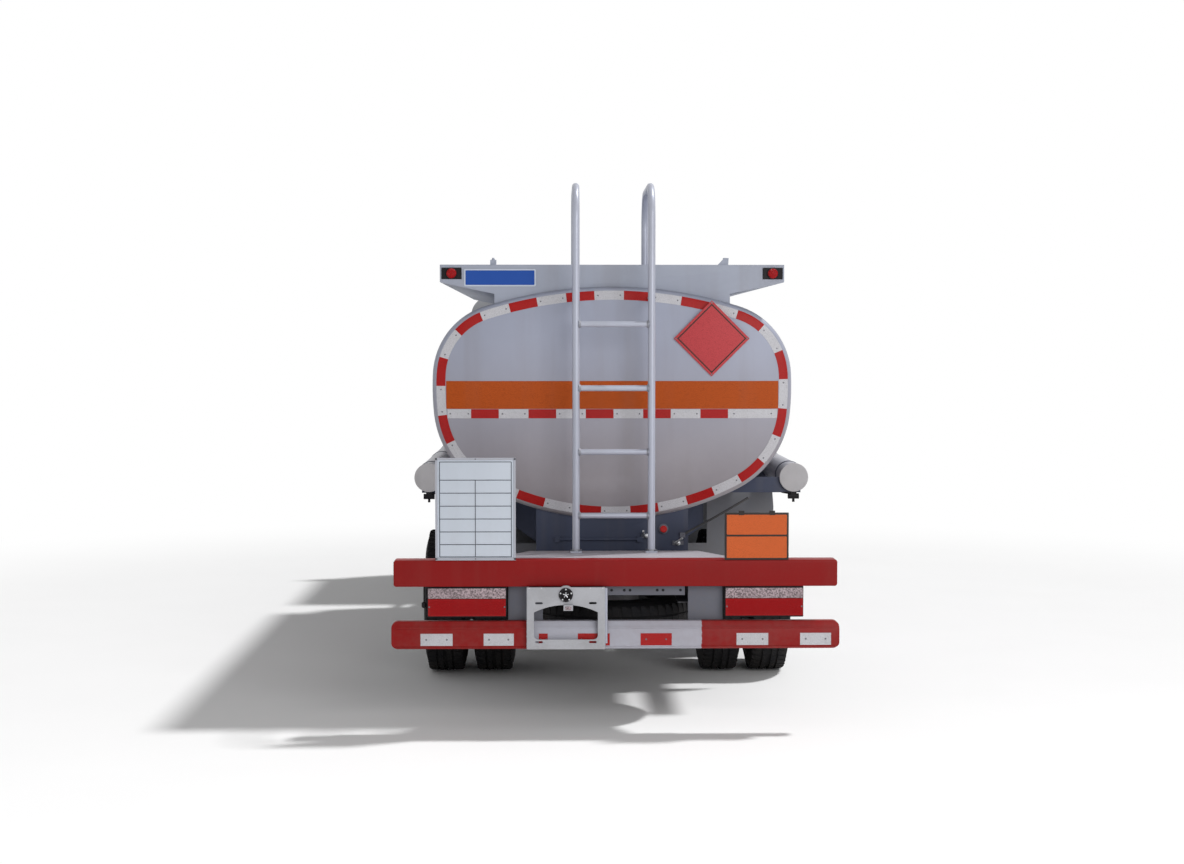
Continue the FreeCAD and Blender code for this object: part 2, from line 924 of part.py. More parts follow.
def rear_bumper():
    """The rolled under-run bumper with rounded ends."""
    low, back = s.bumper_bottom, metal_rear + s.bumper_depth
    shy = metal_rear + s.bumper_slope_depth
    steps = [
        (shy, low), (back, low), (back, low + s.bumper_height), (shy, low + s.bumper_height),
        (metal_rear, low + s.bumper_flat_high), (metal_rear, low + s.bumper_flat_low),
    ]
    bar = pad("bumper_bar", "side", [steps], -s.bumper_width / 2, s.bumper_width)
    xs, zs = centred(s.bumper_width), along(low, s.bumper_height)
    ends = [(xs[0], zs[0]), (xs[1], zs[0]), (xs[1], zs[1]), (xs[0], zs[1])]
    face = softened("bumper_face", "front", [ends], s.bumper_corner)
    ends = extruded("bumper_ends", face, "y", metal_rear, s.bumper_depth)
    subpart(common("bumper", bar, ends), "rear_bumper")


def tail_brackets():
    """The plates between the beam and the bumper, and the light cross piece under the beam."""
    back = metal_rear + s.bumper_depth
    zs = (s.bumper_bottom, s.beam_bottom)
    plate = block("bracket_plate", (s.bracket_inner, s.bracket_outer), along(back, s.bracket_thick), zs)
    piece = block("tail_piece", centred(s.frame_width - s.rail_flange),
                  (frame_rear - s.member_depth, frame_rear),
                  (s.beam_bottom - s.tail_member_height, s.beam_bottom))
    subpart(group("brackets", plate, mirrored("bracket_twin", plate), piece), "tail_brackets")


def rear_lamps():
    """The lamp bodies under the beam and the round marker lamps at the walkway's corners."""
    ys = along(metal_rear + s.tail_lamp_setback, s.tail_lamp_depth)
    zs = (s.beam_bottom - s.tail_lamp_height, s.beam_bottom)
    lamp = block("lamp_body", (s.tail_lamp_inner, s.tail_lamp_outer), ys, zs)
    middle = s.walk_width / 2 - s.walk_lamp_wide / 2 - s.walk_end_plate
    height = walk_height - s.walk_side_height / 2
    spot = (middle, tank_rear, height)
    marker = flat_bar("marker_lamp", "y", s.walk_lamp_radius, spot, s.walk_lamp_depth, s.rim_sides)
    lamps = [lamp, mirrored("lamp_twin", lamp), marker, mirrored("marker_twin", marker)]
    subpart(group("lamps", *lamps), "rear_lamps")


def slot_loop(u, v):
    """A slot with round ends about its centre."""
    radius = s.plate_slot_height / 2
    half = s.plate_slot_length / 2 - radius
    return [
        (u + half, v - radius), (u + half + radius, v, radius), (u + half, v + radius, radius),
        (u - half, v + radius), (u - half - radius, v, radius), (u - half, v - radius, radius),
    ]


def plate_window():
    """The arched opening of the number plate bracket."""
    middle, half, corner = -s.plate_offset, s.plate_window_width / 2, s.plate_window_corner
    low, shoulder, top = s.plate_window_bottom, s.plate_window_shoulder, s.plate_window_top
    rise = top - shoulder
    arch = (half * half + rise * rise) / (2 * rise)
    return [
        (middle - half + corner, low, corner), (middle + half - corner, low),
        (middle + half, low + corner, corner), (middle + half, shoulder),
        (middle, top, arch), (middle - half, shoulder, arch), (middle - half, low + corner),
    ]


def plate_bracket():
    """The pressed bracket for the number plate, with its arch, slots, side tubes and socket."""
    xs = centred(s.plate_width, -s.plate_offset)
    zs = along(s.plate_bottom, s.plate_height)
    face = [(xs[0], zs[0]), (xs[1], zs[0]), (xs[1], zs[1]), (xs[0], zs[1])]
    slots = [
        slot_loop(across * s.plate_slot_pitch_wide / 2 - s.plate_offset,
                  up * s.plate_slot_pitch_high / 2 + s.plate_slot_centre)
        for across in (-1, 1) for up in (-1, 1)
    ]
    sheet = pad("bracket_sheet", "front", [face, plate_window(), *slots], rear_face, s.plate_thick)
    length = s.beam_bottom - s.plate_bottom
    behind = rear_face + s.plate_thick
    depth = s.plate_stand_off - s.plate_thick
    tubes = [
        block("bracket_edge_%d" % n, along(x, s.plate_tube), along(behind, depth),
              along(s.plate_bottom, length))
        for n, x in enumerate((xs[0], xs[1] - s.plate_tube))
    ]
    spot = (-s.plate_offset, behind, s.socket_height)
    socket = rod("socket_body", "y", s.socket_radius, spot, s.socket_depth)
    subpart(fuse("number_bracket", sheet, socket, *tubes), "plate_bracket")


def tangent_arcs(grow):
    """Centres, radii and joints of the eight arcs of the tank's section, grown by a distance."""
    half = s.tank_width / 2
    parts = {
        "top": (0, tank_top - s.tank_crown_radius, s.tank_crown_radius),
        "side": (half - s.tank_side_radius, tank_middle, s.tank_side_radius),
        "belly": (0, s.tank_bottom + s.tank_belly_radius, s.tank_belly_radius),
    }
    return {key: tuple(as_size(v) for v in value[:2]) + (value[2] + grow,) for key, value in parts.items()}


def corner_centre(first, second, corner, grow, turn):
    """The centre of a corner arc that runs smoothly into two larger arcs."""
    reach_one = first[2].value - grow - corner
    reach_two = second[2].value - grow - corner
    x1, y1, x2, y2 = first[0].value, first[1].value, second[0].value, second[1].value
    gap = math.hypot(x2 - x1, y2 - y1)
    shift = (reach_one ** 2 - reach_two ** 2 + gap ** 2) / (2 * gap)
    side = math.sqrt(reach_one ** 2 - shift ** 2) * turn
    ux, uy = (x2 - x1) / gap, (y2 - y1) / gap
    return VECTOR(x1 + shift * ux - side * uy, y1 + shift * uy + side * ux, 0)


def tank_outline(name, plane_name="front", grow=0):
    """The tank's section: eight arcs, each running smoothly into the next."""
    sketch = doc.addObject("Sketcher::SketchObject", name)
    sketch.Placement = FreeCAD.Placement(VECTOR(0, 0, 0), PLANES[plane_name][2])
    grow = as_size(grow)
    arcs = tangent_arcs(grow)
    top, side, belly = arcs["top"], arcs["side"], arcs["belly"]
    high = corner_centre(top, side, s.tank_top_corner.value, grow.value, -1)
    low = corner_centre(belly, side, s.tank_low_corner.value, grow.value, 1)
    flip = lambda spot: VECTOR(-spot.x, spot.y, 0)
    centre = {
        "top": VECTOR(0, top[1].value, 0), "side": VECTOR(side[0].value, side[1].value, 0),
        "belly": VECTOR(0, belly[1].value, 0), "high": high, "low": low,
    }
    ring = [
        (centre["belly"], belly[2]), (low, s.tank_low_corner + grow),
        (centre["side"], side[2]), (high, s.tank_top_corner + grow),
        (centre["top"], top[2]), (flip(high), s.tank_top_corner + grow),
        (flip(centre["side"]), side[2]), (flip(low), s.tank_low_corner + grow),
    ]
    joints = []
    for number, (spot, radius) in enumerate(ring):
        other, wide = ring[(number + 1) % len(ring)]
        out = (other - spot) if radius.value > wide.value else (spot - other)
        bigger, reach = (spot, radius.value) if radius.value > wide.value else (other, wide.value)
        joints.append(bigger + out.normalize() * reach)
    for number, (spot, radius) in enumerate(ring):
        start, stop = joints[number - 1], joints[number]
        first = math.atan2(start.y - spot.y, start.x - spot.x)
        last = math.atan2(stop.y - spot.y, stop.x - spot.x)
        circle = Part.Circle(spot, VECTOR(0, 0, 1), radius.value)
        end = last if last > first else last + 2 * math.pi
        sketch.addGeometry(Part.ArcOfCircle(circle, first, end), False)
    for number in range(len(ring)):
        after = (number + 1) % len(ring)
        sketch.addConstraint(Sketcher.Constraint("Tangent", number, 2, after, 1))
    for number, (spot, radius) in enumerate(ring):
        fix_radius(sketch, number, radius)
    fix_point(sketch, 0, 3, 0, belly[1])
    fix_point(sketch, 4, 3, 0, top[1])
    fix_point(sketch, 2, 3, side[0], side[1])
    fix_point(sketch, 6, 3, -side[0], side[1])
    return sketch


def tank_form(name, grow):
    """A solid of the tank's section, grown by a distance, for cutting what lies against it."""
    return extruded(name, tank_outline(name + "_section", grow=grow), "y", tank_rear, tank_span)


KNUCKLE_SHARES = ((0, 0), (0.134, 0.5), (0.5, 0.866), (0.74, 0.966))
CROWN_SHARES = (1 / 3, 2 / 3, 1)
SHORTER_SHARE = 0.8


def head_steps():
    """How far each ring of a head lies inside the barrel's outline, and how far it stands out."""
    knuckle = s.head_knuckle
    steps = [(knuckle * inset_share, knuckle * rise_share) for inset_share, rise_share in KNUCKLE_SHARES]
    inset, rise = steps[-1]
    for share in CROWN_SHARES:
        level_share = 1 - (1 - share) ** 2
        steps.append((inset + share * (s.head_inset - inset), rise + level_share * (s.head_crown - rise)))
    return steps


def tank_head(name, section, start, way):
    """A crowned head: nested outlines that turn in at a soft rim and level out at the middle."""
    rings = [place(tank_outline(name + "_rim"), 0, start, 0, turn=PLANES["front"][2])]
    for number, (inset, rise) in enumerate(head_steps()[1:]):
        ring = offset("%s_ring_%d" % (name, number), section, -inset)
        rings.append(place(ring, 0, start + way * rise, 0))
    head = doc.addObject("Part::Loft", name)
    head.Sections = rings
    head.Solid = True
    head.Ruled = True
    return head


def tank_shell():
    """The tank: a barrel of the rounded section between two crowned heads with soft rims."""
    section = tank_outline("tank_section")
    barrel = extruded("tank_barrel", section, "y", tank_rear, tank_span)
    heads = [tank_head("rear_head", section, tank_rear, -1), tank_head("front_head", section, tank_front, 1)]
    subpart(fuse("tank", barrel, *heads), "tank_shell")


def saddle_plate(number, middle):
    """A cross plate that carries the tank between its mudguards."""
    foot, reach, shoulder = s.subframe_outer, s.saddle_reach, s.rail_top + s.saddle_shoulder
    steps = [
        (-foot, s.rail_top), (foot, s.rail_top), (reach, shoulder), (reach, tank_middle),
        (-reach, tank_middle), (-reach, shoulder),
    ]
    return pad("saddle_plate_%d" % number, "front", [steps], middle - s.saddle_thick / 2, s.saddle_thick)


def tube_forms(name, grow):
    """The space of both hose tubes, grown by a distance."""
    spot = (s.tube_offset, tube_rear_y, s.tube_height)
    space = flat_bar(name, "y", s.tube_radius + grow, spot, tube_span, s.tyre_sides)
    return [space, mirrored(name + "_twin", space)]


def tube_brackets():
    """The short arms from the tank's side that carry the right hose tube, before they are fitted."""
    low = s.tube_height - s.tube_radius - s.tube_bracket_lip
    xs = (s.tube_bracket_inner, s.tube_offset + s.tube_bracket_reach)
    first = tube_rear_y + s.saddle_thick
    return [
        block("tube_bracket_%d" % n, xs, along(first + n * s.tube_bracket_pitch, s.saddle_thick),
              (low, s.tube_height))
        for n in range(copies(tube_span, s.tube_bracket_pitch))
    ]


def tank_saddles():
    """The subframe under the tank: long bearers, cross plates, the end plate and the tube brackets."""
    first = rear_face + s.saddle_rear_setback
    plates = [
        saddle_plate(n, first + n * s.saddle_pitch)
        for n in range(copies(tank_front - first, s.saddle_pitch))
    ]
    xs = (s.subframe_outer - s.subframe_wall, s.subframe_outer)
    bearer = block("long_bearer", xs, (tank_rear, tank_front), (s.rail_top, tank_middle))
    end = block("end_plate", centred(2 * s.subframe_outer), along(tank_rear, s.end_plate_thick),
                (s.rail_top, tank_middle))
    whole = fuse("saddle_stock", bearer, mirrored("other_bearer", bearer), end, *plates)
    arms = group("tube_arms", *tube_brackets())
    stock = group("saddles_and_arms", whole, arms, mirrored("tube_arms_twin", arms))
    space = tank_form("saddle_tank_space", s.seat_gap)
    result = cut("saddles", stock, space, *tube_forms("saddle_tube_space", s.seat_gap))
    subpart(result, "tank_saddles")


def hose_tubes():
    """The long hose tubes beside the tank, each with a flat cap at both ends."""
    spot = (s.tube_offset, tube_rear_y, s.tube_height)
    tube = flat_bar("tube", "y", s.tube_radius, spot, tube_span, s.tyre_sides)
    cap = flat_bar("tube_cap", "y", s.tube_radius + s.tube_cap_rim,
              (s.tube_offset, spot[1] - s.tube_cap, s.tube_height), s.tube_cap, s.tyre_sides)
    subpart(pair("tubes", fuse("capped_tube", tube, cap)), "hose_tubes")


def walk_profile():
    """The right half of the walkway's section: a shallow box on the tank's shoulder."""
    half, low = s.walk_width / 2, walk_height - s.walk_side_height
    return [
        (s.walk_inner, tank_middle), (s.walk_foot, tank_middle), (s.walk_foot, walk_foot_top),
        (half, low), (half, walk_height), (s.walk_inner, walk_height),
    ]


def walk_end_profile():
    """The end plate across the whole walkway."""
    half, low = s.walk_width / 2, walk_height - s.walk_side_height
    return [
        (-s.walk_foot, tank_middle), (s.walk_foot, tank_middle), (s.walk_foot, walk_foot_top),
        (half, low), (half, walk_height), (-half, walk_height), (-half, low), (-s.walk_foot, walk_foot_top),
    ]


def lamp_pocket(name, grow):
    """The recess of a clearance lamp in the walkway's end plate."""
    middle = s.walk_width / 2 - s.walk_lamp_wide / 2 - s.walk_end_plate
    zs = centred(s.walk_lamp_high + 2 * grow, walk_height - s.walk_side_height / 2)
    ys = along(tank_rear, s.walk_lamp_depth + grow)
    return block(name, centred(s.walk_lamp_wide + 2 * grow, middle), ys, zs)


def top_walkway():
    """The anti-slip walkway along the tank's top, with its end plates and cross ribs."""
    long_box = pad("walk_box", "front", [walk_profile()], tank_rear, tank_span)
    end = pad("walk_end", "front", [walk_end_profile()], tank_rear, s.walk_end_plate)
    far_end = pad("walk_far_end", "front", [walk_end_profile()], tank_front - s.walk_end_plate,
                  s.walk_end_plate)
    hole_middle = rear_face + s.manhole_setback
    ribs = [
        block("walk_rib_%d" % n, centred(2 * s.walk_inner),
              centred(s.walk_plate, hole_middle + side * s.walk_rib_pitch), (tank_middle, walk_height))
        for n, side in enumerate((-1, 1))
    ]
    landing = block("walk_landing_plate", centred(2 * s.walk_inner), along(tank_rear, s.walk_landing),
                    (walk_height - s.walk_plate, walk_height))
    whole = fuse("walk_stock", long_box, mirrored("walk_box_twin", long_box), end, far_end, landing, *ribs)
    space = tank_form("walk_tank_space", s.seat_gap)
    pocket = lamp_pocket("lamp_space", 0)
    result = cut("walkway", whole, space, pocket, mirrored("lamp_space_twin", pocket))
    subpart(result, "top_walkway")


def ladder_rail():
    """One rail of the ladder with its hoop down to the walkway."""
    rise = ladder_height - s.ladder_rail - deck_top
    drop = ladder_height - s.ladder_rail - walk_height
    bend, reach = s.ladder_bend, s.ladder_reach
    first = bend_steps((0, rise), (0, rise - bend), (bend, rise))
    last = bend_steps((reach, rise), (reach - bend, rise), (reach, rise - bend))
    steps = [(0, 0), (0, rise - bend), *first, (reach - bend, rise), *last, (reach, rise - drop)]
    spot = (s.ladder_half_width, rear_face + s.ladder_setback, deck_top)
    return piped("ladder_tube", "side", steps, s.ladder_rail, "plan", spot)


def ladder_feet():
    """The foot plates on the deck and the walkway."""
    y = rear_face + s.ladder_setback
    feet = []
    for number, (where, height) in enumerate(((y, deck_top), (y + s.ladder_reach, walk_height))):
        xs, ys = centred(s.ladder_foot_plate, s.ladder_half_width), centred(s.ladder_foot_plate, where)
        feet.append(block("ladder_foot_%d" % number, xs, ys, along(height, s.ladder_foot_thick)))
    tie_start = (s.ladder_half_width, y, walk_height - s.ladder_tie_drop)
    feet.append(flat_bar("ladder_tie", "y", s.ladder_tie, tie_start, tank_rear - y))
    return feet


def ladder():
    """The rear ladder: two hooped rails, four rungs, feet and ties."""
    side = fuse("ladder_side", ladder_rail(), *ladder_feet())
    y = rear_face + s.ladder_setback
    rungs = [
        flat_bar("rung_%d" % n, "x", s.ladder_rung,
            (-s.ladder_half_width, y, deck_top + s.ladder_foot + n * s.ladder_pitch), 2 * s.ladder_half_width)
        for n in range(4)
    ]
    subpart(fuse("rear_ladder", side, mirrored("ladder_side_twin", side), *rungs), "ladder")


def hazard_plate():
    """The diamond sign plate on a stem from the tank's head."""
    half = s.diamond_side / math.sqrt(2)
    x, z = s.diamond_offset, s.diamond_height
    back = tank_rear - s.head_crown
    steps = [(x - half, z), (x, z - half), (x + half, z), (x, z + half)]
    plate = pad("diamond", "front", [steps], back - 2 * s.sign_thick, s.sign_thick)
    stem = block("diamond_stem", centred(s.sign_stem, x), (back - s.sign_thick, back + s.sign_stem_reach),
                 centred(s.sign_stem, z))
    subpart(fuse("diamond_sign", plate, stem), "hazard_plate")


def standing_board(name, middle, width, height):
    """A flat board that stands on the beam, with two legs behind it."""
    front = metal_rear + s.board_thick
    board = block(name, centred(width, middle), along(metal_rear, s.board_thick), along(deck_top, height))
    legs = [
        block("%s_leg_%d" % (name, n), centred(s.board_leg, middle + side * width / 4),
              along(front, s.board_leg), along(deck_top, height * 3 / 4))
        for n, side in enumerate((-1, 1))
    ]
    return fuse(name + "_whole", board, *legs)


def safety_board():
    """The white board at the left."""
    subpart(standing_board("white_board", -s.board_offset, s.board_width, s.board_height), "safety_board")


def orange_panel():
    """The two orange plates in their frame at the right."""
    subpart(standing_board("orange_plates", s.orange_offset, s.orange_width, s.orange_height), "orange_panel")


def tyre_steps():
    """The tyre's section, bead to bead, as shares of its width and height."""
    tread, width, bead = s.tyre_tread / 2, s.tyre_width / 2, s.tyre_bead / 2
    outer, belly, inner = s.tyre_radius, s.tyre_belly_radius, s.tyre_bead_radius
    shoulder = outer - s.tyre_shoulder
    upper = (belly + shoulder) / 2
    half = [(tread, outer), ((tread + width) / 2, shoulder), (width, upper), (width, belly), (bead, inner)]
    return half + [(-u, v) for u, v in reversed(half)]


def faceted_ring(name, steps, axis, sides, reach=1):
    """A ring turned in flats, one of them square to the ground; reach moves its corners outwards."""
    loops = []
    for number in range(sides):
        angle = 2 * math.pi * (number + 0.5) / sides
        loops.append([ring_point(step, angle, axis, reach) for step in steps])
    faces = []
    for number, loop in enumerate(loops):
        following = loops[(number + 1) % sides]
        for spot in range(len(steps)):
            beside = (spot + 1) % len(steps)
            corners = [loop[spot], loop[beside], following[beside], following[spot]]
            faces.append(Part.Face(Part.makePolygon(corners + corners[:1])))
    solid = Part.makeSolid(Part.makeShell(faces))
    if solid.Volume < 0:
        solid.reverse()
    feature = doc.addObject("Part::Feature", name)
    feature.Shape = solid
    return feature


def tyre_ring(name, axis):
    """A tyre whose flats, not its corners, lie at its radius."""
    sides = int(s.tyre_sides.value)
    return faceted_ring(name, tyre_steps(), axis, sides, 1 / math.cos(math.pi / sides))


def ring_point(step, angle, axis, reach):
    """A point of a section turned to an angle about an axis."""
    u, radius = as_size(step[0]).value, as_size(step[1]).value * reach
    across, up = radius * math.sin(angle), radius * math.cos(angle)
    return VECTOR(u, across, up) if axis == "x" else VECTOR(across, up, u)


def rim_steps():
    """The half section of a wheel about its middle: barrel, flanges and a dish out to one side."""
    half, wall, well = s.rim_width / 2, s.rim_wall, s.rim_well
    bead, flange, floor = s.tyre_bead_radius - s.seat_gap, s.rim_flange, s.rim_well_width / 2
    face, thick = s.twin_spacing / 2, s.disc_thick
    return [
        (-half, flange), (-half, bead - wall), (-floor, well), (floor - thick, well),
        (face - thick, s.dish_radius - thick / 2), (face - thick, s.dish_hole), (face, s.dish_hole),
        (face, s.dish_radius), (floor, well), (half, bead - wall), (half, flange),
        (half - wall, flange), (half - wall, bead), (floor, well + wall),
        (-floor, well + wall), (wall - half, bead), (wall - half, flange),
    ]


def facing(steps, side):
    """A section about a wheel's middle, turned to face the given side."""
    return steps if side > 0 else [(-as_size(u), v) for u, v in reversed(steps)]


def wheel_rim(name, dish_side, spot):
    """A wheel rim in flats whose dish stands out to one side."""
    rim = faceted_ring(name, facing(rim_steps(), dish_side), "x", int(s.rim_sides.value))
    return place(rim, *spot)


def wheel_hub(name, side, nose):
    """A hub from its brake drum out past the dish's face, which lies at X = nose[0]; blind at its nose."""
    face, reach, y = nose
    spans = {
        "drum": (s.drum_back, -s.drum_front, s.drum_radius), "body": (s.drum_back, reach, s.hub_radius),
        "bore": (s.drum_back, reach - s.rim_wall, s.spindle_radius + s.hub_bore_gap),
    }
    pieces = {}
    for key, (back, front, radius) in spans.items():
        low = face - back if side > 0 else -face - front
        spot = (low, y, wheel_height)
        pieces[key] = flat_bar("%s_%s" % (name, key), "x", radius, spot, back + front, s.rim_sides)
    return fuse(name + "_stock", pieces["drum"], pieces["body"]), pieces["bore"]


def front_wheels():
    """The steered wheels, one a side."""
    for side, word in ((-1, "left"), (1, "right")):
        spot = (side * s.front_track / 2, front_axle, wheel_height)
        tyre = tyre_ring("front_%s_tyre_ring" % word, "x")
        subpart(place(tyre, *spot), "front_tyre_" + word)
        face = (s.front_track + s.twin_spacing) / 2
        hub, bore = wheel_hub("front_%s_hub" % word, side, (face, s.hub_cap_length, front_axle))
        stock = fuse("front_%s_wheel" % word, wheel_rim("front_%s_rim" % word, side, spot), hub)
        subpart(cut("front_%s_wheel_bored" % word, stock, bore), "front_rim_" + word)


def rear_wheels():
    """The driven twin wheels, one pair a side."""
    for side, word in ((-1, "left"), (1, "right")):
        tyres, rims = [], []
        for number, shift in enumerate((-1, 1)):
            x = side * (s.rear_track / 2 + shift * s.twin_spacing / 2)
            tyre = tyre_ring("rear_%s_tyre_ring_%d" % (word, number), "x")
            tyres.append(place(tyre, x, rear_axle, wheel_height))
            spot = (x, rear_axle, wheel_height)
            rims.append(wheel_rim("rear_%s_rim_%d" % (word, number), side * -shift, spot))
        subpart(group("rear_%s_tyre_pair" % word, *tyres), "rear_tyres_" + word)
        hub, bore = wheel_hub("rear_%s_hub" % word, side, (s.rear_track / 2, s.rear_hub_length, rear_axle))
        stock = fuse("rear_%s_rim_pair" % word, hub, *rims)
        subpart(cut("rear_%s_rims_bored" % word, stock, bore), "rear_rims_" + word)


def spare_wheel():
    """The spare wheel, flat under the frame's tail with its dish upwards."""
    spot = (0, rear_face + s.spare_setback, s.spare_top - s.tyre_width / 2)
    tyre = tyre_ring("spare_tyre_ring", "z")
    subpart(place(tyre, *spot), "spare_tyre")
    rim = faceted_ring("spare_rim_ring", rim_steps(), "z", int(s.rim_sides.value))
    subpart(place(rim, *spot), "spare_rim")


def leaf(name, number, reach, curve, middle, top, xs):
    """One leaf: a strip between two arcs about the spring's common centre."""
    outer, inner = curve + s.leaf_thick * (number + 1), curve + s.leaf_thick * number
    lift_in, lift_out = root(inner * inner - reach * reach), root(outer * outer - reach * reach)
    height = top + curve
    steps = [
        (middle - reach, height - lift_out), (middle + reach, height - lift_out, outer),
        (middle + reach, height - lift_in), (middle - reach, height - lift_in, -inner),
    ]
    return pad(name, "side", [steps], xs[0], xs[1] - xs[0])


def leaf_spring(name, middle, centre_x, half, camber, leaves, top):
    """A leaf spring with rolled eyes and a clamp over its axle."""
    curve = (half * half + camber * camber) / (2 * camber)
    xs = centred(s.spring_width, centre_x)
    reaches = [half * (1 - number * SHORTER_SHARE / leaves) for number in range(leaves)]
    strips = [
        leaf("%s_leaf_%d" % (name, n), n, reach, curve, middle, top, xs) for n, reach in enumerate(reaches)
    ]
    eye_height = top + camber
    eyes = [
        flat_bar("%s_eye_%d" % (name, n), "x", s.spring_eye, (xs[0], middle + side * half, eye_height),
                 s.spring_width)
        for n, side in enumerate((-1, 1))
    ]
    clamp = block(name + "_clamp", xs, centred(s.spring_clamp, middle), along(top, s.spring_clamp_thick))
    return fuse(name, *strips, *eyes, clamp)


def leaf_springs():
    """The four springs above the axles."""
    front = leaf_spring("front_spring", front_axle, s.front_spring_centre, s.front_spring_half,
                        s.front_spring_camber, int(s.front_spring_leaves.value), front_leaf_top)
    rear = leaf_spring("rear_spring", rear_axle, s.rear_spring_centre, s.rear_spring_half,
                       s.rear_spring_camber, int(s.rear_spring_leaves.value), rear_leaf_top)
    subpart(group("springs", front, mirrored("front_spring_twin", front), rear,
                  mirrored("rear_spring_twin", rear)), "leaf_springs")


def front_axle_beam():
    """The dropped beam between the king pin eyes, with its spring seats."""
    pin, low_half = s.king_pin_offset, s.axle_beam_low_half
    middle = wheel_height - s.axle_beam_drop
    low, high = middle - s.axle_beam_height / 2, middle + s.axle_beam_height / 2
    rise = s.axle_beam_drop
    steps = [
        (-pin, low + rise), (-low_half, low), (low_half, low), (pin, low + rise),
        (pin, high + rise / 2), (low_half, high), (-low_half, high), (-pin, high + rise / 2),
    ]
    beam = pad("axle_beam", "front", [steps], front_axle - s.axle_beam_depth / 2, s.axle_beam_depth)
    height = s.axle_beam_height
    eye_low = wheel_height - height / 2
    eye = rod("pin_eye", "z", s.king_boss, (pin, front_axle, eye_low), height)
    stock = fuse("axle_stock", beam, eye, mirrored("pin_eye_twin", eye))
    room = rod("pin_room", "z", s.king_pin_radius + s.running_gap,
               (pin, front_axle, eye_low - s.cut_overrun), height + 2 * s.cut_overrun)
    over = [
        rod("eye_clear_%d" % n, "z", s.king_boss + 2 * s.king_pin_radius, (pin, front_axle, z), s.cut_overrun)
        for n, z in enumerate((eye_low - s.cut_overrun, eye_low + height))
    ]
    tools = [room, mirrored("pin_room_twin", room)]
    for tool in over:
        tools += [tool, mirrored(tool.Name + "_twin", tool)]
    subpart(cut("front_axle_beam", stock, *tools), "front_axle")


def knuckle(side, word):
    """A steering knuckle: a fork round the beam's eye, the spindle and the arm to the tie rod."""
    pin, lug, gap = s.king_pin_offset, s.knuckle_lug, 2 * s.running_gap
    eye_low = wheel_height - s.axle_beam_height / 2
    eye_high = wheel_height + s.axle_beam_height / 2
    spot = lambda z: (side * pin, front_axle, z)
    lower = rod("lower_lug_" + word, "z", s.king_boss, spot(eye_low - gap - lug), lug)
    upper = rod("upper_lug_" + word, "z", s.king_boss, spot(eye_high + gap), lug)
    bolt = rod("king_pin_" + word, "z", s.king_pin_radius, spot(eye_low - gap - lug),
               eye_high - eye_low + 2 * (gap + lug))
    near = pin + s.king_boss + s.running_gap
    web_xs = (near, near + s.knuckle_web) if side > 0 else (-near - s.knuckle_web, -near)
    web_zs = (eye_low - gap - lug, eye_high + gap + lug)
    web = block("knuckle_web_" + word, web_xs, centred(2 * s.king_boss, front_axle), web_zs)
    ears = [
        block("ear_%d_%s" % (n, word), (pin, near) if side > 0 else (-near, -pin),
              centred(2 * s.king_boss, front_axle), along(z, lug))
        for n, z in enumerate((eye_low - gap - lug, eye_high + gap))
    ]
    tip = (s.front_track + s.twin_spacing) / 2
    start = near if side > 0 else -tip
    root = (start, front_axle, wheel_height)
    spindle = flat_bar("spindle_" + word, "x", s.spindle_radius, root, tip - near)
    arm_zs = along(eye_low - gap - lug, s.steer_arm_thick)
    arm = block("steer_arm_" + word, centred(s.steer_arm_width, side * pin),
                (front_axle - s.steer_arm_length, front_axle), arm_zs)
    boss = rod("arm_eye_" + word, "z", s.steer_arm_width / 2,
               (side * pin, front_axle - s.steer_arm_length, arm_zs[0]), s.steer_arm_thick)
    return fuse("knuckle_body_" + word, lower, upper, bolt, web, spindle, arm, boss, *ears)


def knuckles():
    """Both steering knuckles."""
    for side, word in ((-1, "left"), (1, "right")):
        subpart(knuckle(side, word), "knuckle_" + word)


def tie_rod():
    """The rod between the steering arms, with a stud eye at each end."""
    arm_low = wheel_height - s.axle_beam_height / 2 - 2 * s.running_gap - s.knuckle_lug
    y = front_axle - s.steer_arm_length
    middle = arm_low - s.running_gap - s.tie_ball_radius
    bar = flat_bar("tie_bar", "x", s.tie_rod_radius, (-s.king_pin_offset, y, middle), 2 * s.king_pin_offset)
    end = rod("tie_end", "z", s.tie_ball_radius, (s.king_pin_offset, y, middle - s.tie_ball_radius),
              2 * s.tie_ball_radius)
    subpart(fuse("tie_rod_whole", bar, end, mirrored("tie_end_twin", end)), "tie_rod")


def drive_shaft():
    """The shaft from the gearbox down to the rear axle."""
    start = rear_axle + s.diff_nose_length + s.seat_gap
    end = front_axle - s.engine_behind_axle - s.gearbox_length - s.seat_gap
    rise = s.gearbox_bottom + s.gearbox_height / 4 - wheel_height
    return piped("shaft_tube", "side", [(0, 0), (end - start, rise)], s.shaft_radius, "front",
                 (0, start, wheel_height))


def rear_axle_case():
    """The driven axle: tubes, a round differential case and its nose, and the shaft to it."""
    spot = (-s.axle_end, rear_axle, wheel_height)
    tube = flat_bar("axle_tube_piece", "x", s.axle_tube, spot, 2 * s.axle_end)
    stub = flat_bar("axle_stub_piece", "x", s.spindle_radius, (-s.axle_stub_end, rear_axle, wheel_height),
               2 * s.axle_stub_end)
    radius, half = s.diff_radius, s.diff_length / 2
    steps = [
        (-half, 0), (half, 0), (half, radius / 2), (half / 2, radius), (-half / 2, radius),
        (-half, radius / 2),
    ]
    case = turned("diff_case", "front", [steps], "H_Axis", (0, rear_axle, wheel_height))
    nose = flat_bar("diff_nose_piece", "y", s.diff_nose, (0, rear_axle, wheel_height), s.diff_nose_length)
    shared = fuse("rear_axle_stock", tube, stub, case, nose)
    subpart(group("axle_and_shaft", shared, drive_shaft()), "rear_axle")


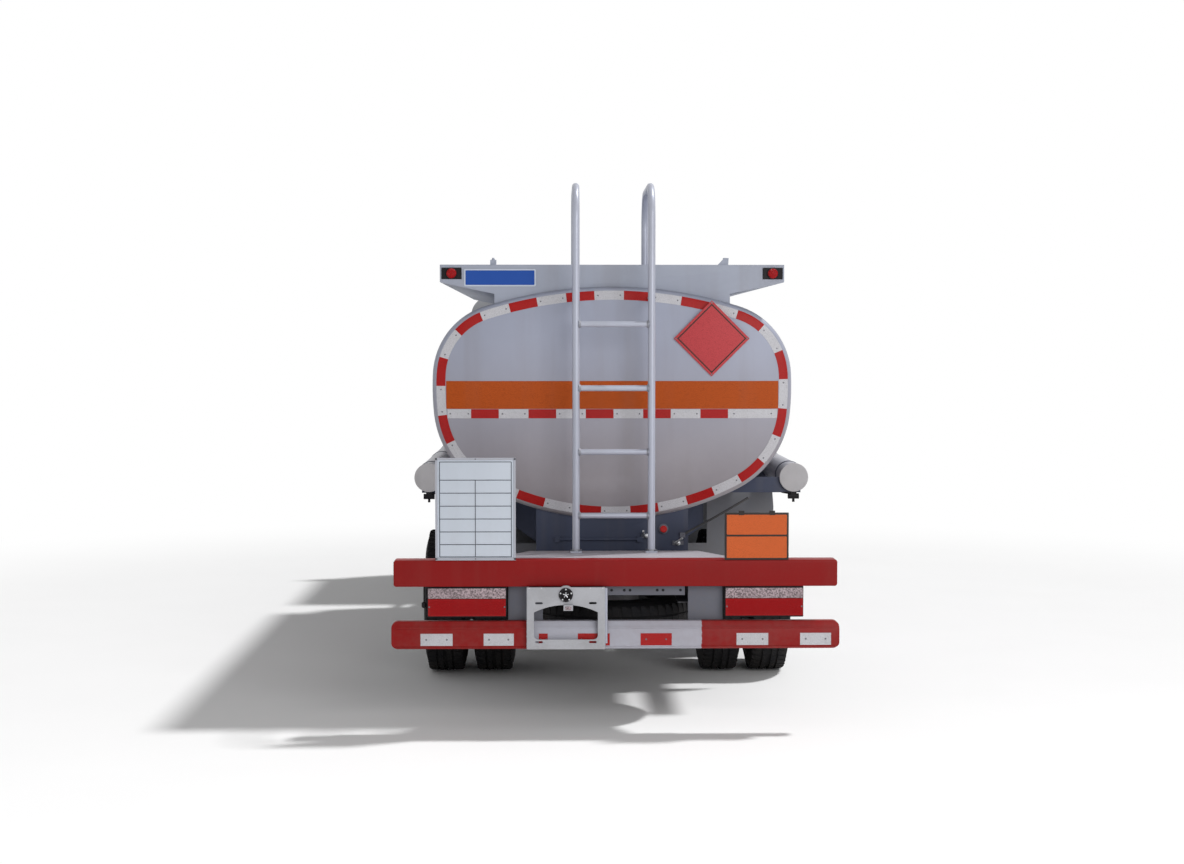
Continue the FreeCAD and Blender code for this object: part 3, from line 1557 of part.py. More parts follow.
def engine():
    """The engine block with its gearbox, mounts and radiator."""
    rear = front_axle - s.engine_behind_axle
    block_ys = along(rear, s.engine_length)
    zs = along(s.engine_bottom, s.engine_height)
    main = block("engine_block", centred(s.engine_width), block_ys, zs)
    box = block("gearbox", centred(s.gearbox_width), (rear - s.gearbox_length, rear),
                along(s.gearbox_bottom, s.gearbox_height))
    mounts = block("engine_mount", centred(2 * rail_inner),
                   centred(s.mount_width, block_ys[1] - s.mount_width),
                   along(rail_bottom + 2 * s.rail_wall, s.mount_height))
    far = block_ys[1] + s.radiator_gap
    radiator = block("radiator", centred(s.radiator_width), along(far, s.radiator_depth),
                     along(s.radiator_bottom, s.radiator_height))
    hose_xs = centred(s.mount_width, s.engine_width / 4)
    hoses = [
        block("water_hose_%d" % n, hose_xs, (block_ys[1], far), along(z, s.mount_height))
        for n, z in enumerate((s.radiator_bottom + s.mount_height, zs[1] - 2 * s.mount_height))
    ]
    subpart(fuse("engine_whole", main, box, mounts, radiator, *hoses), "engine")


def fuel_tank():
    """The lorry's own fuel tank on the left rail, with rounded edges, on two brackets."""
    xs = (-s.fuel_offset - s.fuel_width, -s.fuel_offset)
    ys = (fuel_front_y - s.fuel_length, fuel_front_y)
    zs = along(s.fuel_bottom, s.fuel_height)
    steps = [(xs[0], zs[0]), (xs[1], zs[0]), (xs[1], zs[1]), (xs[0], zs[1])]
    face = softened("fuel_face", "front", [steps], s.fuel_corner)
    body = extruded("fuel_body", face, "y", ys[0], s.fuel_length)
    arms = [
        block("fuel_arm_%d" % n, (xs[1] - s.fuel_corner, -s.frame_width / 2),
              centred(s.mount_width, ys[0] + s.fuel_length * share), along(rail_bottom, s.rail_height / 2))
        for n, share in enumerate((1 / 4, 3 / 4))
    ]
    subpart(fuse("fuel_whole", body, *arms), "fuel_tank")


def battery_box():
    """The battery box on the left rail."""
    ys = (battery_front_y - s.battery_length, battery_front_y)
    xs = (-s.frame_width / 2 - s.battery_width, -s.frame_width / 2)
    body = block("battery_case", xs, ys, along(s.battery_bottom, s.battery_height))
    subpart(body, "battery_box")


def silencer():
    """The silencer beside the right rail, with its pipe from the engine and its outlet."""
    ys = along(silencer_rear_y, s.silencer_length)
    spot = (s.silencer_centre, ys[0], s.silencer_height)
    drum = flat_bar("silencer_drum", "y", s.silencer_radius, spot, s.silencer_length, s.rim_sides)
    inlet = flat_bar("exhaust_inlet", "y", s.exhaust_radius, (s.silencer_centre, ys[1], s.silencer_height),
                s.fuel_length / 4)
    outlet = flat_bar("exhaust_outlet", "y", s.exhaust_radius,
                 (s.silencer_centre, ys[0] - s.fuel_length / 4, s.silencer_height), s.fuel_length / 4)
    arms = [
        block("silencer_arm_%d" % n, (s.frame_width / 2, s.silencer_centre),
              centred(s.box_bracket, ys[0] + s.silencer_length * share), along(rail_bottom, s.rail_height / 3))
        for n, share in enumerate((1 / 4, 3 / 4))
    ]
    subpart(fuse("silencer_whole", drum, inlet, outlet, *arms), "silencer")


def guard_side(name, side, rear):
    """One side guard: two rails on three posts with arms to the frame."""
    length = guard_front_y - rear
    outer = s.guard_offset
    pieces = []
    limits = lambda low, high: (low, high) if side > 0 else (-high, -low)
    for number, z in enumerate((s.guard_low, s.guard_high)):
        pieces.append(block("%s_rail_%d" % (name, number), limits(outer - s.guard_rail_depth, outer),
                            (rear, guard_front_y), along(z, s.guard_rail_height)))
    top = s.guard_high + s.guard_rail_height
    inner = outer - s.guard_rail_depth
    for number, share in enumerate((1 / 12, 11 / 12)):
        ys = centred(s.guard_post, rear + length * share)
        pieces.append(block("%s_post_%d" % (name, number), limits(inner - s.guard_arm, inner), ys,
                            (s.guard_low, top)))
        pieces.append(block("%s_arm_%d" % (name, number), limits(s.frame_width / 2, inner), ys,
                            along(rail_bottom + s.rail_wall, s.guard_arm)))
    return fuse(name, *pieces)


def side_guards():
    """The guards between the axles, the right one short of the cabinet."""
    left = guard_side("guard_left", -1, guard_rear_y)
    right = guard_side("guard_right", 1, guard_right_rear_y)
    subpart(group("guards", left, right), "side_guards")


def discharge_cabinet():
    """The open cabinet on the right side, behind its door."""
    xs = (s.guard_offset - s.cabinet_depth, s.guard_offset - s.cabinet_wall)
    ys = along(cabinet_rear_y, s.cabinet_length)
    zs = along(s.cabinet_bottom, s.cabinet_height)
    wall = s.cabinet_wall
    case = block("cabinet_case", xs, ys, zs)
    room = block("cabinet_room", (xs[0] + wall, xs[1] + s.cut_overrun), (ys[0] + wall, ys[1] - wall),
                 (zs[0] + wall, zs[1] - wall))
    arms = [
        block("cabinet_arm_%d" % n, (s.frame_width / 2, xs[0] + wall),
              centred(s.guard_post, ys[0] + s.cabinet_length * share),
              along(rail_bottom + s.rail_wall, s.guard_arm))
        for n, share in enumerate((1 / 5, 4 / 5))
    ]
    subpart(fuse("cabinet", cut("cabinet_shell", case, room), *arms), "discharge_cabinet")


def cabinet_door():
    """The cabinet's door, hinged along its top edge outside the case."""
    outer = s.guard_offset
    gap = s.cabinet_gap / 10
    ys = along(cabinet_rear_y, s.cabinet_length)
    zs = along(s.cabinet_bottom, s.cabinet_height)
    leaf_xs = (outer - s.cabinet_wall + gap, outer)
    panel = block("cabinet_panel", leaf_xs, ys, zs)
    pin = rod("cabinet_pin", "y", s.cabinet_hinge,
              (outer - s.cabinet_wall / 2, ys[0], zs[1] + s.cabinet_hinge / 2), s.cabinet_length)
    subpart(fuse("cabinet_leaf", panel, pin), "cabinet_door")


def discharge_pipe():
    """The bottom discharge pipe: down from the tank, round a bend and out to the right."""
    radius, bend = s.pipe_radius, s.pipe_bend
    drop = s.pipe_height
    length = s.pipe_end - s.pipe_drop_offset
    start = tank_middle - drop
    corner = bend_steps((0, -start), (0, bend - start), (bend, -start))
    steps = [(0, 0), (0, bend - start), *corner, (length - s.pipe_bend / 2, -start)]
    spot = (s.pipe_drop_offset, pipe_y, tank_middle)
    pipe = piped("pipe_run", "front", steps, radius, "plan", spot)
    flange = flat_bar("pipe_flange_piece", "x", s.pipe_flange,
                 (s.pipe_end - 4 * s.pipe_flange_thick, pipe_y, drop), s.pipe_flange_thick, s.rim_sides)
    mouth = rod("pipe_mouth", "x", radius, (s.pipe_end - s.pipe_bend, pipe_y, drop), s.pipe_bend)
    whole = fuse("pipe_stock", pipe, mouth, flange)
    bore = rod("pipe_bore", "x", radius - s.pipe_wall, (s.pipe_end - s.pipe_bend, pipe_y, drop), s.pipe_bend)
    space = tank_form("pipe_tank_space", s.seat_gap)
    subpart(cut("pipe_whole", whole, space, bore), "discharge_pipe")


def mud_profile(grow):
    """The mudguard's side outline, grown outwards by a distance."""
    half, top_half = s.mud_half + grow, s.mud_top_half + grow / 2
    low, shoulder, top = s.mud_low, s.mud_shoulder + grow / 2, s.mud_top + grow
    return [
        (rear_axle - half, low), (rear_axle + half, low), (rear_axle + half, shoulder),
        (rear_axle + top_half, top), (rear_axle - top_half, top), (rear_axle - half, shoulder),
    ]


def mudguards():
    """The folded sheet guards over the rear wheels, shaped to clear the tank."""
    width = s.guard_outer - s.guard_inner
    outer = pad("mud_sheet", "side", [mud_profile(0)], s.guard_inner, width)
    inner = pad("mud_room", "side", [mud_profile(-s.mud_wall)], s.guard_inner - s.cut_overrun,
                width + 2 * s.cut_overrun)
    under = block("mud_open", (s.guard_inner - s.cut_overrun, s.guard_outer + s.cut_overrun),
                  centred(2 * (s.mud_half - s.mud_wall), rear_axle),
                  (s.mud_low - s.cut_overrun, s.mud_low + s.cut_overrun))
    stays = [
        block("mud_stay_%d" % n, (s.frame_width / 2, s.guard_inner + s.cut_overrun),
              along(rear_axle + side * s.mud_half - (s.mud_wall if side > 0 else 0), s.mud_wall),
              (rail_bottom, s.rail_top))
        for n, side in enumerate((-1, 1))
    ]
    space = tank_form("mud_tank_space", s.cut_overrun / 8)
    sheet = cut("mud_shape", outer, inner, under, space)
    subpart(pair("mud_pair", fuse("mud_one", sheet, *stays)), "mudguards")


def vents():
    """Two breather valves on the tank's top, before they are fitted to it."""
    low = tank_top - s.cut_overrun
    return [
        flat_bar("vent_%d" % n, "z", s.vent_radius,
                 (0, rear_face + s.manhole_setback + side * s.vent_setback / 2, low),
                 vent_top - low, s.rim_sides)
        for n, side in enumerate((-1, 1))
    ]


def manhole_neck():
    """The manhole's neck on the tank, with its flange and hinge lugs, and the vents beside it."""
    y, radius = rear_face + s.manhole_setback, s.manhole_radius
    low = tank_top - s.cut_overrun
    neck = rod("neck_wall", "z", radius, (0, y, low), neck_rim - low)
    flange = rod("neck_flange", "z", radius + s.manhole_flange,
                 (0, y, neck_rim - s.manhole_flange_thick), s.manhole_flange_thick)
    pin_y = y + radius + s.manhole_flange + s.lid_hinge_reach
    pin_z = neck_rim + s.lid_gap + s.lid_thick / 2
    lug_xs = along(s.lid_boss, s.lid_lug_thick)
    lug_end, foot_top = pin_y + s.lid_boss, neck_rim - s.manhole_flange_thick
    foot = block("neck_lug_foot", lug_xs, (y + radius, lug_end), (low, foot_top))
    ear = block("neck_lug_ear", lug_xs, (y + radius + s.manhole_flange, lug_end),
                (foot_top, pin_z + s.lid_boss))
    lug = fuse("neck_lug", foot, ear)
    bore = rod("neck_bore", "z", radius - s.manhole_wall, (0, y, low), neck_rim - low + s.cut_overrun)
    pin_hole = rod("lug_hole", "x", s.lid_pin + s.running_gap, (-s.manhole_radius, pin_y, pin_z),
                   2 * s.manhole_radius)
    stock = fuse("neck_stock", neck, flange, lug, mirrored("neck_lug_twin", lug))
    space = tank_form("neck_tank_space", s.seat_gap)
    neck = cut("neck", group("neck_and_vents", stock, *vents()), bore, pin_hole, space)
    subpart(neck, "manhole_neck")


def manhole_lid():
    """The lid, its strap and the hinge pin."""
    y, radius = rear_face + s.manhole_setback, s.manhole_radius
    base = neck_rim + s.seat_gap
    pin_y = y + radius + s.manhole_flange + s.lid_hinge_reach
    pin_z = neck_rim + s.lid_gap + s.lid_thick / 2
    plate = rod("lid_plate", "z", radius + s.manhole_flange / 2, (0, y, base), s.lid_thick)
    strap = block("lid_strap", centred(2 * (s.lid_boss - s.lid_gap / 3)), (y, pin_y),
                  (base, base + s.lid_thick + s.lid_gap))
    pin = rod("lid_hinge_pin", "x", s.lid_pin, (-s.lid_boss - s.lid_lug_thick, pin_y, pin_z),
              2 * (s.lid_boss + s.lid_lug_thick))
    eye = rod("lid_eye", "x", s.lid_boss * 2 / 3, (-(s.lid_boss - s.lid_gap / 3), pin_y, pin_z),
              2 * (s.lid_boss - s.lid_gap / 3))
    subpart(fuse("lid", plate, strap, pin, eye), "manhole_lid")


def cab_outlines():
    """The three silhouettes of the cab: from the side, the front and above, with soft corners."""
    low = s.cab_bottom - 2 * s.cab_corner
    back = cab_rear_y - 2 * s.cab_plan_corner
    lean = cab_front - s.cab_screen_lean
    side = [(back, low), (cab_front, low), (cab_front, s.cab_belt), (lean, s.cab_roof), (back, s.cab_roof)]
    roof = s.cab_roof_width / 2
    front = [
        (-cab_half, low), (cab_half, low), (cab_half, s.cab_belt), (roof, s.cab_roof), (-roof, s.cab_roof),
        (-cab_half, s.cab_belt),
    ]
    plan = [(-cab_half, back), (cab_half, back), (cab_half, cab_front), (-cab_half, cab_front)]
    return {
        "side": softened("cab_side", "side", [side], s.cab_corner),
        "front": softened("cab_face", "front", [front], s.cab_corner),
        "plan": softened("cab_plan", "plan", [plan], s.cab_plan_corner),
    }


CAB = {}


def cab_form(name, inset):
    """The cab's solid form, shrunk by an inset on every side but the bottom."""
    if not CAB:
        CAB.update(cab_outlines())
    shapes = []
    spans = {"side": (-cab_half, s.cab_width), "front": (cab_rear_y, cab_front - cab_rear_y),
             "plan": (s.cab_bottom, s.cab_roof - s.cab_bottom)}
    for key, source in CAB.items():
        face = offset("%s_%s" % (name, key), source, -inset) if inset else source
        shapes.append(extruded("%s_%s_solid" % (name, key), face, PLANES[key][1], *spans[key]))
    room = block(name + "_limits", (-cab_half, cab_half), (cab_rear_y + inset, cab_front),
                 (s.cab_bottom, s.cab_roof))
    return common(name, *shapes, room)


def screen_prism(name, grow):
    """The windscreen's opening, grown by a distance, as a prism through the front."""
    low, high = s.screen_bottom_width / 2, s.screen_top_width / 2
    steps = [(-low, s.screen_bottom), (low, s.screen_bottom), (high, s.screen_top), (-high, s.screen_top)]
    face = softened(name + "_face", "front", [steps], s.window_corner)
    if grow:
        face = offset(name + "_grown", face, grow)
    reach = cab_front - door_front_y + 2 * s.cut_overrun
    return extruded(name, face, "y", door_front_y - s.cut_overrun, reach)


def rear_window_prism(name, grow):
    """The rear window's opening, grown by a distance."""
    half = s.rear_window_width / 2
    steps = [
        (-half, s.rear_window_bottom), (half, s.rear_window_bottom),
        (half, s.rear_window_top), (-half, s.rear_window_top),
    ]
    face = softened(name + "_face", "front", [steps], s.window_corner)
    if grow:
        face = offset(name + "_grown", face, grow)
    return extruded(name, face, "y", cab_rear_y - s.cut_overrun, s.cab_wall + 2 * s.cut_overrun)


def door_outline():
    """The door's opening in the cab's side, its front edge leaning back above the sill."""
    steps = [
        (door_rear_y, s.door_bottom), (door_front_y, s.door_bottom), (door_front_y, s.door_sill),
        (door_front_y - s.door_lean, s.door_top), (door_rear_y, s.door_top),
    ]
    return softened("door_face", "side", [steps], s.door_corner)


def door_window_outline():
    """The side window inside the door's frame."""
    frame = s.door_frame
    steps = [
        (door_rear_y + frame, s.door_sill + s.door_frame / 2),
        (door_front_y - frame, s.door_sill + s.door_frame / 2),
        (door_front_y - s.door_lean - frame / 2, s.door_top - frame),
        (door_rear_y + frame, s.door_top - frame),
    ]
    return softened("door_window_face", "side", [steps], s.window_corner)


DOOR = {}


def door_prism(name, key, grow, side):
    """A prism through one side of the cab, of the door's or its window's outline."""
    if not DOOR:
        DOOR.update({"door": door_outline(), "window": door_window_outline()})
    face = offset(name + "_moved", DOOR[key], grow) if grow else DOOR[key]
    reach = cab_half / 2
    start = reach if side > 0 else -cab_half - s.cut_overrun
    return extruded(name, face, "x", start, cab_half - reach + s.cut_overrun)


hinge_y = door_front_y - s.door_gap / 2
hinge_x = cab_half + s.door_hinge_out


def hinge_leaf(name, way, low, length):
    """A hinge's leaf on the right side: a barrel, and a plate with a foot on the skin; way is its Y side."""
    lift = cab_half + s.door_hinge_lift
    zs = along(low, length)
    tip = hinge_y + way * s.door_hinge_leaf
    near = hinge_y + way * s.door_hinge_leaf / 2
    barrel = rod(name + "_barrel", "z", s.door_hinge_radius, (hinge_x, hinge_y, low), length)
    plate_ys, foot_ys = ((hinge_y, tip), (near, tip)) if way > 0 else ((tip, hinge_y), (tip, near))
    plate = block(name + "_plate", (lift, hinge_x), plate_ys, zs)
    foot = block(name + "_foot", (cab_half - s.door_hinge_lift, lift), foot_ys, zs)
    return [barrel, plate, foot]


def door_hinges():
    """The right door's two hinges: what its door carries, what the cab carries, and the bores."""
    moving, fixed, bores = [], [], []
    gap, lug, length = s.running_gap, s.door_hinge_lug, s.door_hinge_length
    for number in range(2):
        low = s.door_hinge_low + number * s.door_hinge_pitch
        moving += hinge_leaf("hinge_door_%d" % number, -1, low, length)
        fixed += hinge_leaf("hinge_low_%d" % number, 1, low - gap - lug, lug)
        fixed += hinge_leaf("hinge_high_%d" % number, 1, low + length + gap, lug)
        spot = (hinge_x, hinge_y, low - gap - lug)
        fixed.append(rod("hinge_pin_%d" % number, "z", s.door_hinge_pin, spot, length + 2 * (gap + lug)))
        bores.append(
            rod("hinge_bore_%d" % number, "z", s.door_hinge_pin + gap, spot, length + 2 * (gap + lug))
        )
    return moving, fixed, bores


def tunnel_block(name, wall):
    """The engine tunnel's form, with or without its wall."""
    width = s.tunnel_width + 2 * wall
    return block(name, centred(width), (cab_rear_y - s.cut_overrun, cab_front - s.cab_wall),
                 (s.cab_bottom - s.cut_overrun, s.tunnel_top + wall))


def cab_hollows(inner):
    """The space inside the cab, under its floor and in its tunnel."""
    floor_top = s.cab_floor + s.cab_floor_thick
    above = block("cab_above", (-cab_half, cab_half), (cab_rear_y, cab_front), (floor_top, s.cab_roof))
    below = block("cab_below", (-cab_half, cab_half), (cab_rear_y, cab_front),
                  (s.cab_bottom - s.cut_overrun, s.cab_floor))
    stock = common("cab_room_stock", inner, above)
    room = cut("cab_room", stock, tunnel_block("tunnel_outer", s.tunnel_wall))
    return [room, common("cab_under", inner, below), tunnel_block("tunnel_inner", 0)]


def wheel_arches():
    """The round cut over the front wheels."""
    return rod("arch_cut", "x", s.arch_radius, (-cab_half - s.cut_overrun, front_axle, wheel_height),
               s.cab_width + 2 * s.cut_overrun)


def grille_prism(name, grow):
    """The grille's opening in the front panel."""
    xs = centred(s.grille_width + 2 * grow)
    zs = (s.grille_bottom - grow, s.grille_bottom + s.grille_height + grow)
    return block(name, xs, (cab_front - 2 * s.cab_wall, cab_front + s.cut_overrun), zs)


def tilt_lugs():
    """The cab's hinge arms down to the tilt pin, and the pin bores."""
    pivot_y = cab_front - s.tilt_setback
    xs = centred(s.tilt_lug, s.tilt_offset)
    arm = block("tilt_arm", xs, centred(2 * s.tilt_boss, pivot_y),
                (s.tilt_height, s.cab_floor + s.cab_floor_thick / 2))
    boss = rod("tilt_arm_boss", "x", s.tilt_boss, (xs[0], pivot_y, s.tilt_height), s.tilt_lug)
    side = fuse("tilt_side", arm, boss)
    return side, mirrored("tilt_side_twin", side)


HINGES = door_hinges()


def cab_shell():
    """The cab's shell with its floor, tunnel, openings, door hinges and tilt arms."""
    outer = cab_form("cab_outer", 0)
    inner = cab_form("cab_inner", s.cab_wall)
    doors = [
        door_prism("door_hole_%s" % word, "door", 0, side) for side, word in ((-1, "left"), (1, "right"))
    ]
    body = cut("cab_body", outer, *cab_hollows(inner))
    opened = cut("cab_opened", body, *doors, screen_prism("screen_hole", 0),
                 rear_window_prism("rear_window_hole", 0), wheel_arches(), grille_prism("grille_hole", 0))
    arms = list(tilt_lugs())
    for number, leaf_piece in enumerate(HINGES[1]):
        arms += [leaf_piece, mirrored("cab_hinge_twin_%d" % number, leaf_piece)]
    bore = rod("tilt_bore", "x", s.tilt_pin + s.running_gap,
               (-s.cab_width / 4, cab_front - s.tilt_setback, s.tilt_height), s.cab_width / 2)
    subpart(cut("cab", fuse("cab_with_arms", opened, *arms), bore), "cab_shell")


def layer(name, start, thick):
    """A thin skin that follows the cab's form, start deep under its surface."""
    return cut(name, cab_form(name + "_out", start), cab_form(name + "_in", start + thick))


def cab_glass():
    """The windscreen and the rear window."""
    skin = layer("glass_skin", s.glass_depth, s.glass_thick)
    screen = common("screen", skin, screen_prism("screen_pane", -s.glass_gap))
    back_ys = along(cab_rear_y + s.glass_depth, s.glass_thick)
    slab = block("back_slab", centred(s.cab_width), back_ys, (s.cab_belt, s.cab_roof))
    back = common("back_pane", slab, rear_window_prism("back_pane_form", -s.glass_gap))
    subpart(group("panes", screen, back), "cab_glass")


def doors():
    """Each door: the cab's own wall inside the door's opening, less its window."""
    wall = layer("door_wall", 0, s.cab_wall)
    skin = layer("door_glass_skin", s.glass_depth, s.glass_thick)
    for side, word in ((-1, "left"), (1, "right")):
        blank = common("door_blank_" + word, wall, door_prism("door_form_" + word, "door", -s.door_gap, side))
        window = door_prism("door_window_" + word, "window", 0, side)
        leaves, bores = HINGES[0], HINGES[2]
        if side < 0:
            leaves = [mirrored("door_hinge_twin_%d" % n, item) for n, item in enumerate(leaves)]
            bores = [mirrored("door_bore_twin_%d" % n, item) for n, item in enumerate(bores)]
        panel = cut("door_panel_" + word, blank, window)
        subpart(cut("door_whole_" + word, fuse("door_hung_" + word, panel, *leaves), *bores), "door_" + word)
        form = door_prism("door_pane_form_" + word, "window", -s.glass_gap, side)
        pane = common("door_pane_" + word, skin, form)
        subpart(pane, "door_glass_" + word)


def grille():
    """The grille: a frame with bars across."""
    gap = s.glass_gap
    xs = centred(s.grille_width - 2 * gap)
    zs = (s.grille_bottom + gap, s.grille_bottom + s.grille_height - gap)
    ys = (cab_front - s.grille_depth, cab_front - gap)
    bar = s.grille_bar
    frame = cut("grille_frame", block("grille_stock", xs, ys, zs),
                block("grille_room", (xs[0] + bar, xs[1] - bar), (ys[0] - bar, ys[1] + bar),
                      (zs[0] + bar, zs[1] - bar)))
    pitch = (zs[1] - zs[0] - bar) / (s.grille_bars + 1)
    bars = [
        block("grille_bar_%d" % n, xs, (ys[0] + bar / 4, ys[1] - bar / 4),
              along(zs[0] + pitch * (n + 1), bar / 2))
        for n in range(int(s.grille_bars.value))
    ]
    subpart(fuse("grille_whole", frame, *bars), "grille")


def seats():
    """Two seats: cushion, back and headrest in one moulded side profile, on a pedestal."""
    floor = s.cab_floor + s.cab_floor_thick + s.seat_gap
    back, top = seat_rear_y, s.seat_height + s.seat_cushion
    thick, length = s.seat_back_thick, s.seat_length
    rise, lean = s.seat_back_height, s.seat_back_thick / 2
    bend = s.seat_cushion / 2
    steps = [
        (back, s.seat_height), (back + length - bend, s.seat_height),
        (back + length, s.seat_height + bend, bend), (back + length - bend, top, bend),
        (back + thick, top), (back + thick - lean, top + rise - bend), (back - lean, top + rise - bend, bend),
    ]
    cushion = pad("seat_profile", "side", [steps], s.seat_offset - s.seat_width / 2, s.seat_width)
    base_ys = (back + thick, back + length - thick)
    base = block("seat_base", centred(s.seat_base_width, s.seat_offset), base_ys, (floor, s.seat_height))
    subpart(pair("seat_pair", fuse("seat_whole", cushion, base)), "seats")


def dashboard():
    """The dashboard across the cab, with the steering column and wheel on the left."""
    face = cab_front - s.cab_wall - s.seat_gap
    half = cab_half - s.cab_plan_corner
    low, high = s.dash_bottom, s.dash_bottom + s.dash_height
    depth = s.dash_depth
    steps = [
        (face - depth / 2, low), (face, low), (face, high), (face - depth + s.dash_foot / 2, high),
        (face - depth, high - s.dash_foot / 2),
    ]
    shelf = pad("dash_shelf", "side", [steps], -half, 2 * half)
    start_y = face - depth / 2
    drop = s.steer_height - (low + s.dash_height / 2)
    reach = s.steer_setback / 2
    column = piped("steer_column", "side", [(0, 0), (-reach, drop)], s.column_radius, "front",
                   (-s.steer_offset, start_y, low + s.dash_height / 2))
    angle = math.degrees(math.atan2(reach.value, drop.value))
    tilt = FreeCAD.Rotation(VECTOR(1, 0, 0), angle)
    spot = (-s.steer_offset, start_y - reach, s.steer_height)
    subpart(fuse("dash_whole", shelf, column, *steering_wheel(spot, tilt)), "dashboard")


def steering_wheel(spot, tilt):
    """The wheel's grip, hub and three spokes, square to the steering column."""
    sides = int(s.grip_sides.value)
    turns = [2 * math.pi * number / sides for number in range(sides)]
    section = [(s.wheel_grip * math.sin(turn), s.wheel_ring + s.wheel_grip * math.cos(turn)) for turn in turns]
    ring = place(faceted_ring("steer_ring", section, "z", int(s.rim_sides.value)), *spot, turn=tilt)
    hub = flat_bar("steer_hub", "z", 2 * s.column_radius, spot, s.wheel_grip)
    place(hub, *spot, turn=tilt)
    pieces = [ring, hub]
    for number in range(3):
        spoke = flat_bar("steer_spoke_%d" % number, "z", s.wheel_grip / 2, spot, s.wheel_ring)
        turn = tilt * FreeCAD.Rotation(VECTOR(0, 0, 1), 90 + 120 * number) * TURNS["x"]
        pieces.append(place(spoke, *spot, turn=turn))
    return pieces


def mirrors():
    """The mirrors on arms ahead of the doors."""
    y = mirror_y
    out = cab_half + s.mirror_reach
    head = block("mirror_head", along(out, s.mirror_width), along(y, s.mirror_depth),
                 along(s.mirror_bottom, s.mirror_height))
    arms = [
        flat_bar("mirror_arm_%d" % n, "x", s.mirror_arm,
            (cab_half - s.cab_wall, y + s.mirror_depth / 2, s.mirror_bottom + s.mirror_height * share),
            s.mirror_reach + s.cab_wall + s.mirror_width / 4)
        for n, share in enumerate((1 / 8, 7 / 8))
    ]
    whole = fuse("mirror_one", head, *arms)
    subpart(pair("mirror_pair", cut("mirror_fit", whole, cab_form("mirror_space", -s.seat_gap))), "mirrors")


def cab_steps():
    """The steps below the doors, inside the bumper's returns."""
    half = s.nose_width / 2 - s.nose_wall
    ys = along(front_face - s.nose_return, s.step_depth)
    tread = block("step_tread", (half - s.step_depth, half), ys, along(s.step_bottom, s.step_height))
    return [tread, mirrored("step_tread_twin", tread)]


def front_bumper():
    """The front bumper with its returns, lamp recesses, steps and arms to the frame."""
    half, nose, wall = s.nose_width / 2, front_face, s.nose_wall
    corner, back = s.nose_corner, front_face - s.nose_return
    inner = corner - wall
    steps = [
        (-half, back), (-half + wall, back), (-half + wall, nose - corner),
        (-half + corner, nose - wall, -inner),
        (half - corner, nose - wall), (half - wall, nose - corner, -inner), (half - wall, back), (half, back),
        (half, nose - corner), (half - corner, nose, corner), (-half + corner, nose),
        (-half, nose - corner, corner),
    ]
    shell = pad("nose_shell", "plan", [steps], s.nose_bottom, s.nose_height)
    lamp = block("nose_lamp_space", centred(s.nose_lamp_width, s.nose_lamp_offset),
                 (nose - s.nose_lamp_depth, nose + s.cut_overrun),
                 along(s.nose_lamp_bottom, s.nose_lamp_height))
    arm = block("nose_arm", (s.frame_width / 2 - s.rail_flange, s.frame_width / 2),
                (frame_front - s.nose_arm_length, nose - wall), (rail_bottom - s.nose_wall, rail_bottom))
    stock = fuse("nose_stock", shell, arm, mirrored("nose_arm_twin", arm), *cab_steps())
    subpart(cut("nose", stock, lamp, mirrored("nose_lamp_twin", lamp)), "front_bumper")


def headlamps():
    """The headlamps in the front bumper."""
    gap = s.seat_gap
    lamp = block("head_lamp", centred(s.nose_lamp_width - 2 * gap, s.nose_lamp_offset),
                 (front_face - s.nose_lamp_depth + gap, front_face - s.nose_lamp_depth / 8),
                 (s.nose_lamp_bottom + gap, s.nose_lamp_bottom + s.nose_lamp_height - gap))
    subpart(pair("head_lamps", lamp), "headlamps")


for build in (
    chassis_frame, rear_beam, rear_deck, rear_bumper, tail_brackets, rear_lamps, plate_bracket,
    tank_shell, tank_saddles, hose_tubes, top_walkway, ladder, hazard_plate, safety_board,
    orange_panel, manhole_neck, manhole_lid, front_wheels, rear_wheels, spare_wheel, leaf_springs,
    front_axle_beam, knuckles, tie_rod, rear_axle_case, engine, fuel_tank, battery_box, silencer,
    side_guards, discharge_cabinet, cabinet_door, discharge_pipe, mudguards, cab_shell, cab_glass,
    doors, grille, seats, dashboard, mirrors, front_bumper, headlamps,
):
    build()
doc.recompute()

for thing in doc.Objects:
    if "Invalid" in thing.State or "Error" in thing.State:
        raise RuntimeError("%s failed: %s" % (thing.Name, thing.State))
for piece in subparts:
    if piece.Shape.isNull() or not piece.Shape.isValid():
        raise RuntimeError("%s has no valid shape" % piece.Label)

os.makedirs("parts", exist_ok=True)
for piece in subparts:
    piece.Shape.exportStep(os.path.join("parts", piece.Label + ".step"))
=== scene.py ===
"""The looks of a small tank lorry: satin tank, rear ladder, red beams, boards, wheels and cab."""
import json
import logging
import math
from dataclasses import dataclass, field
from enum import Enum
from typing import Any, Iterable, Optional, Sequence

import bmesh
import bpy
from mathutils import Euler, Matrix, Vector
from mathutils.bvhtree import BVHTree

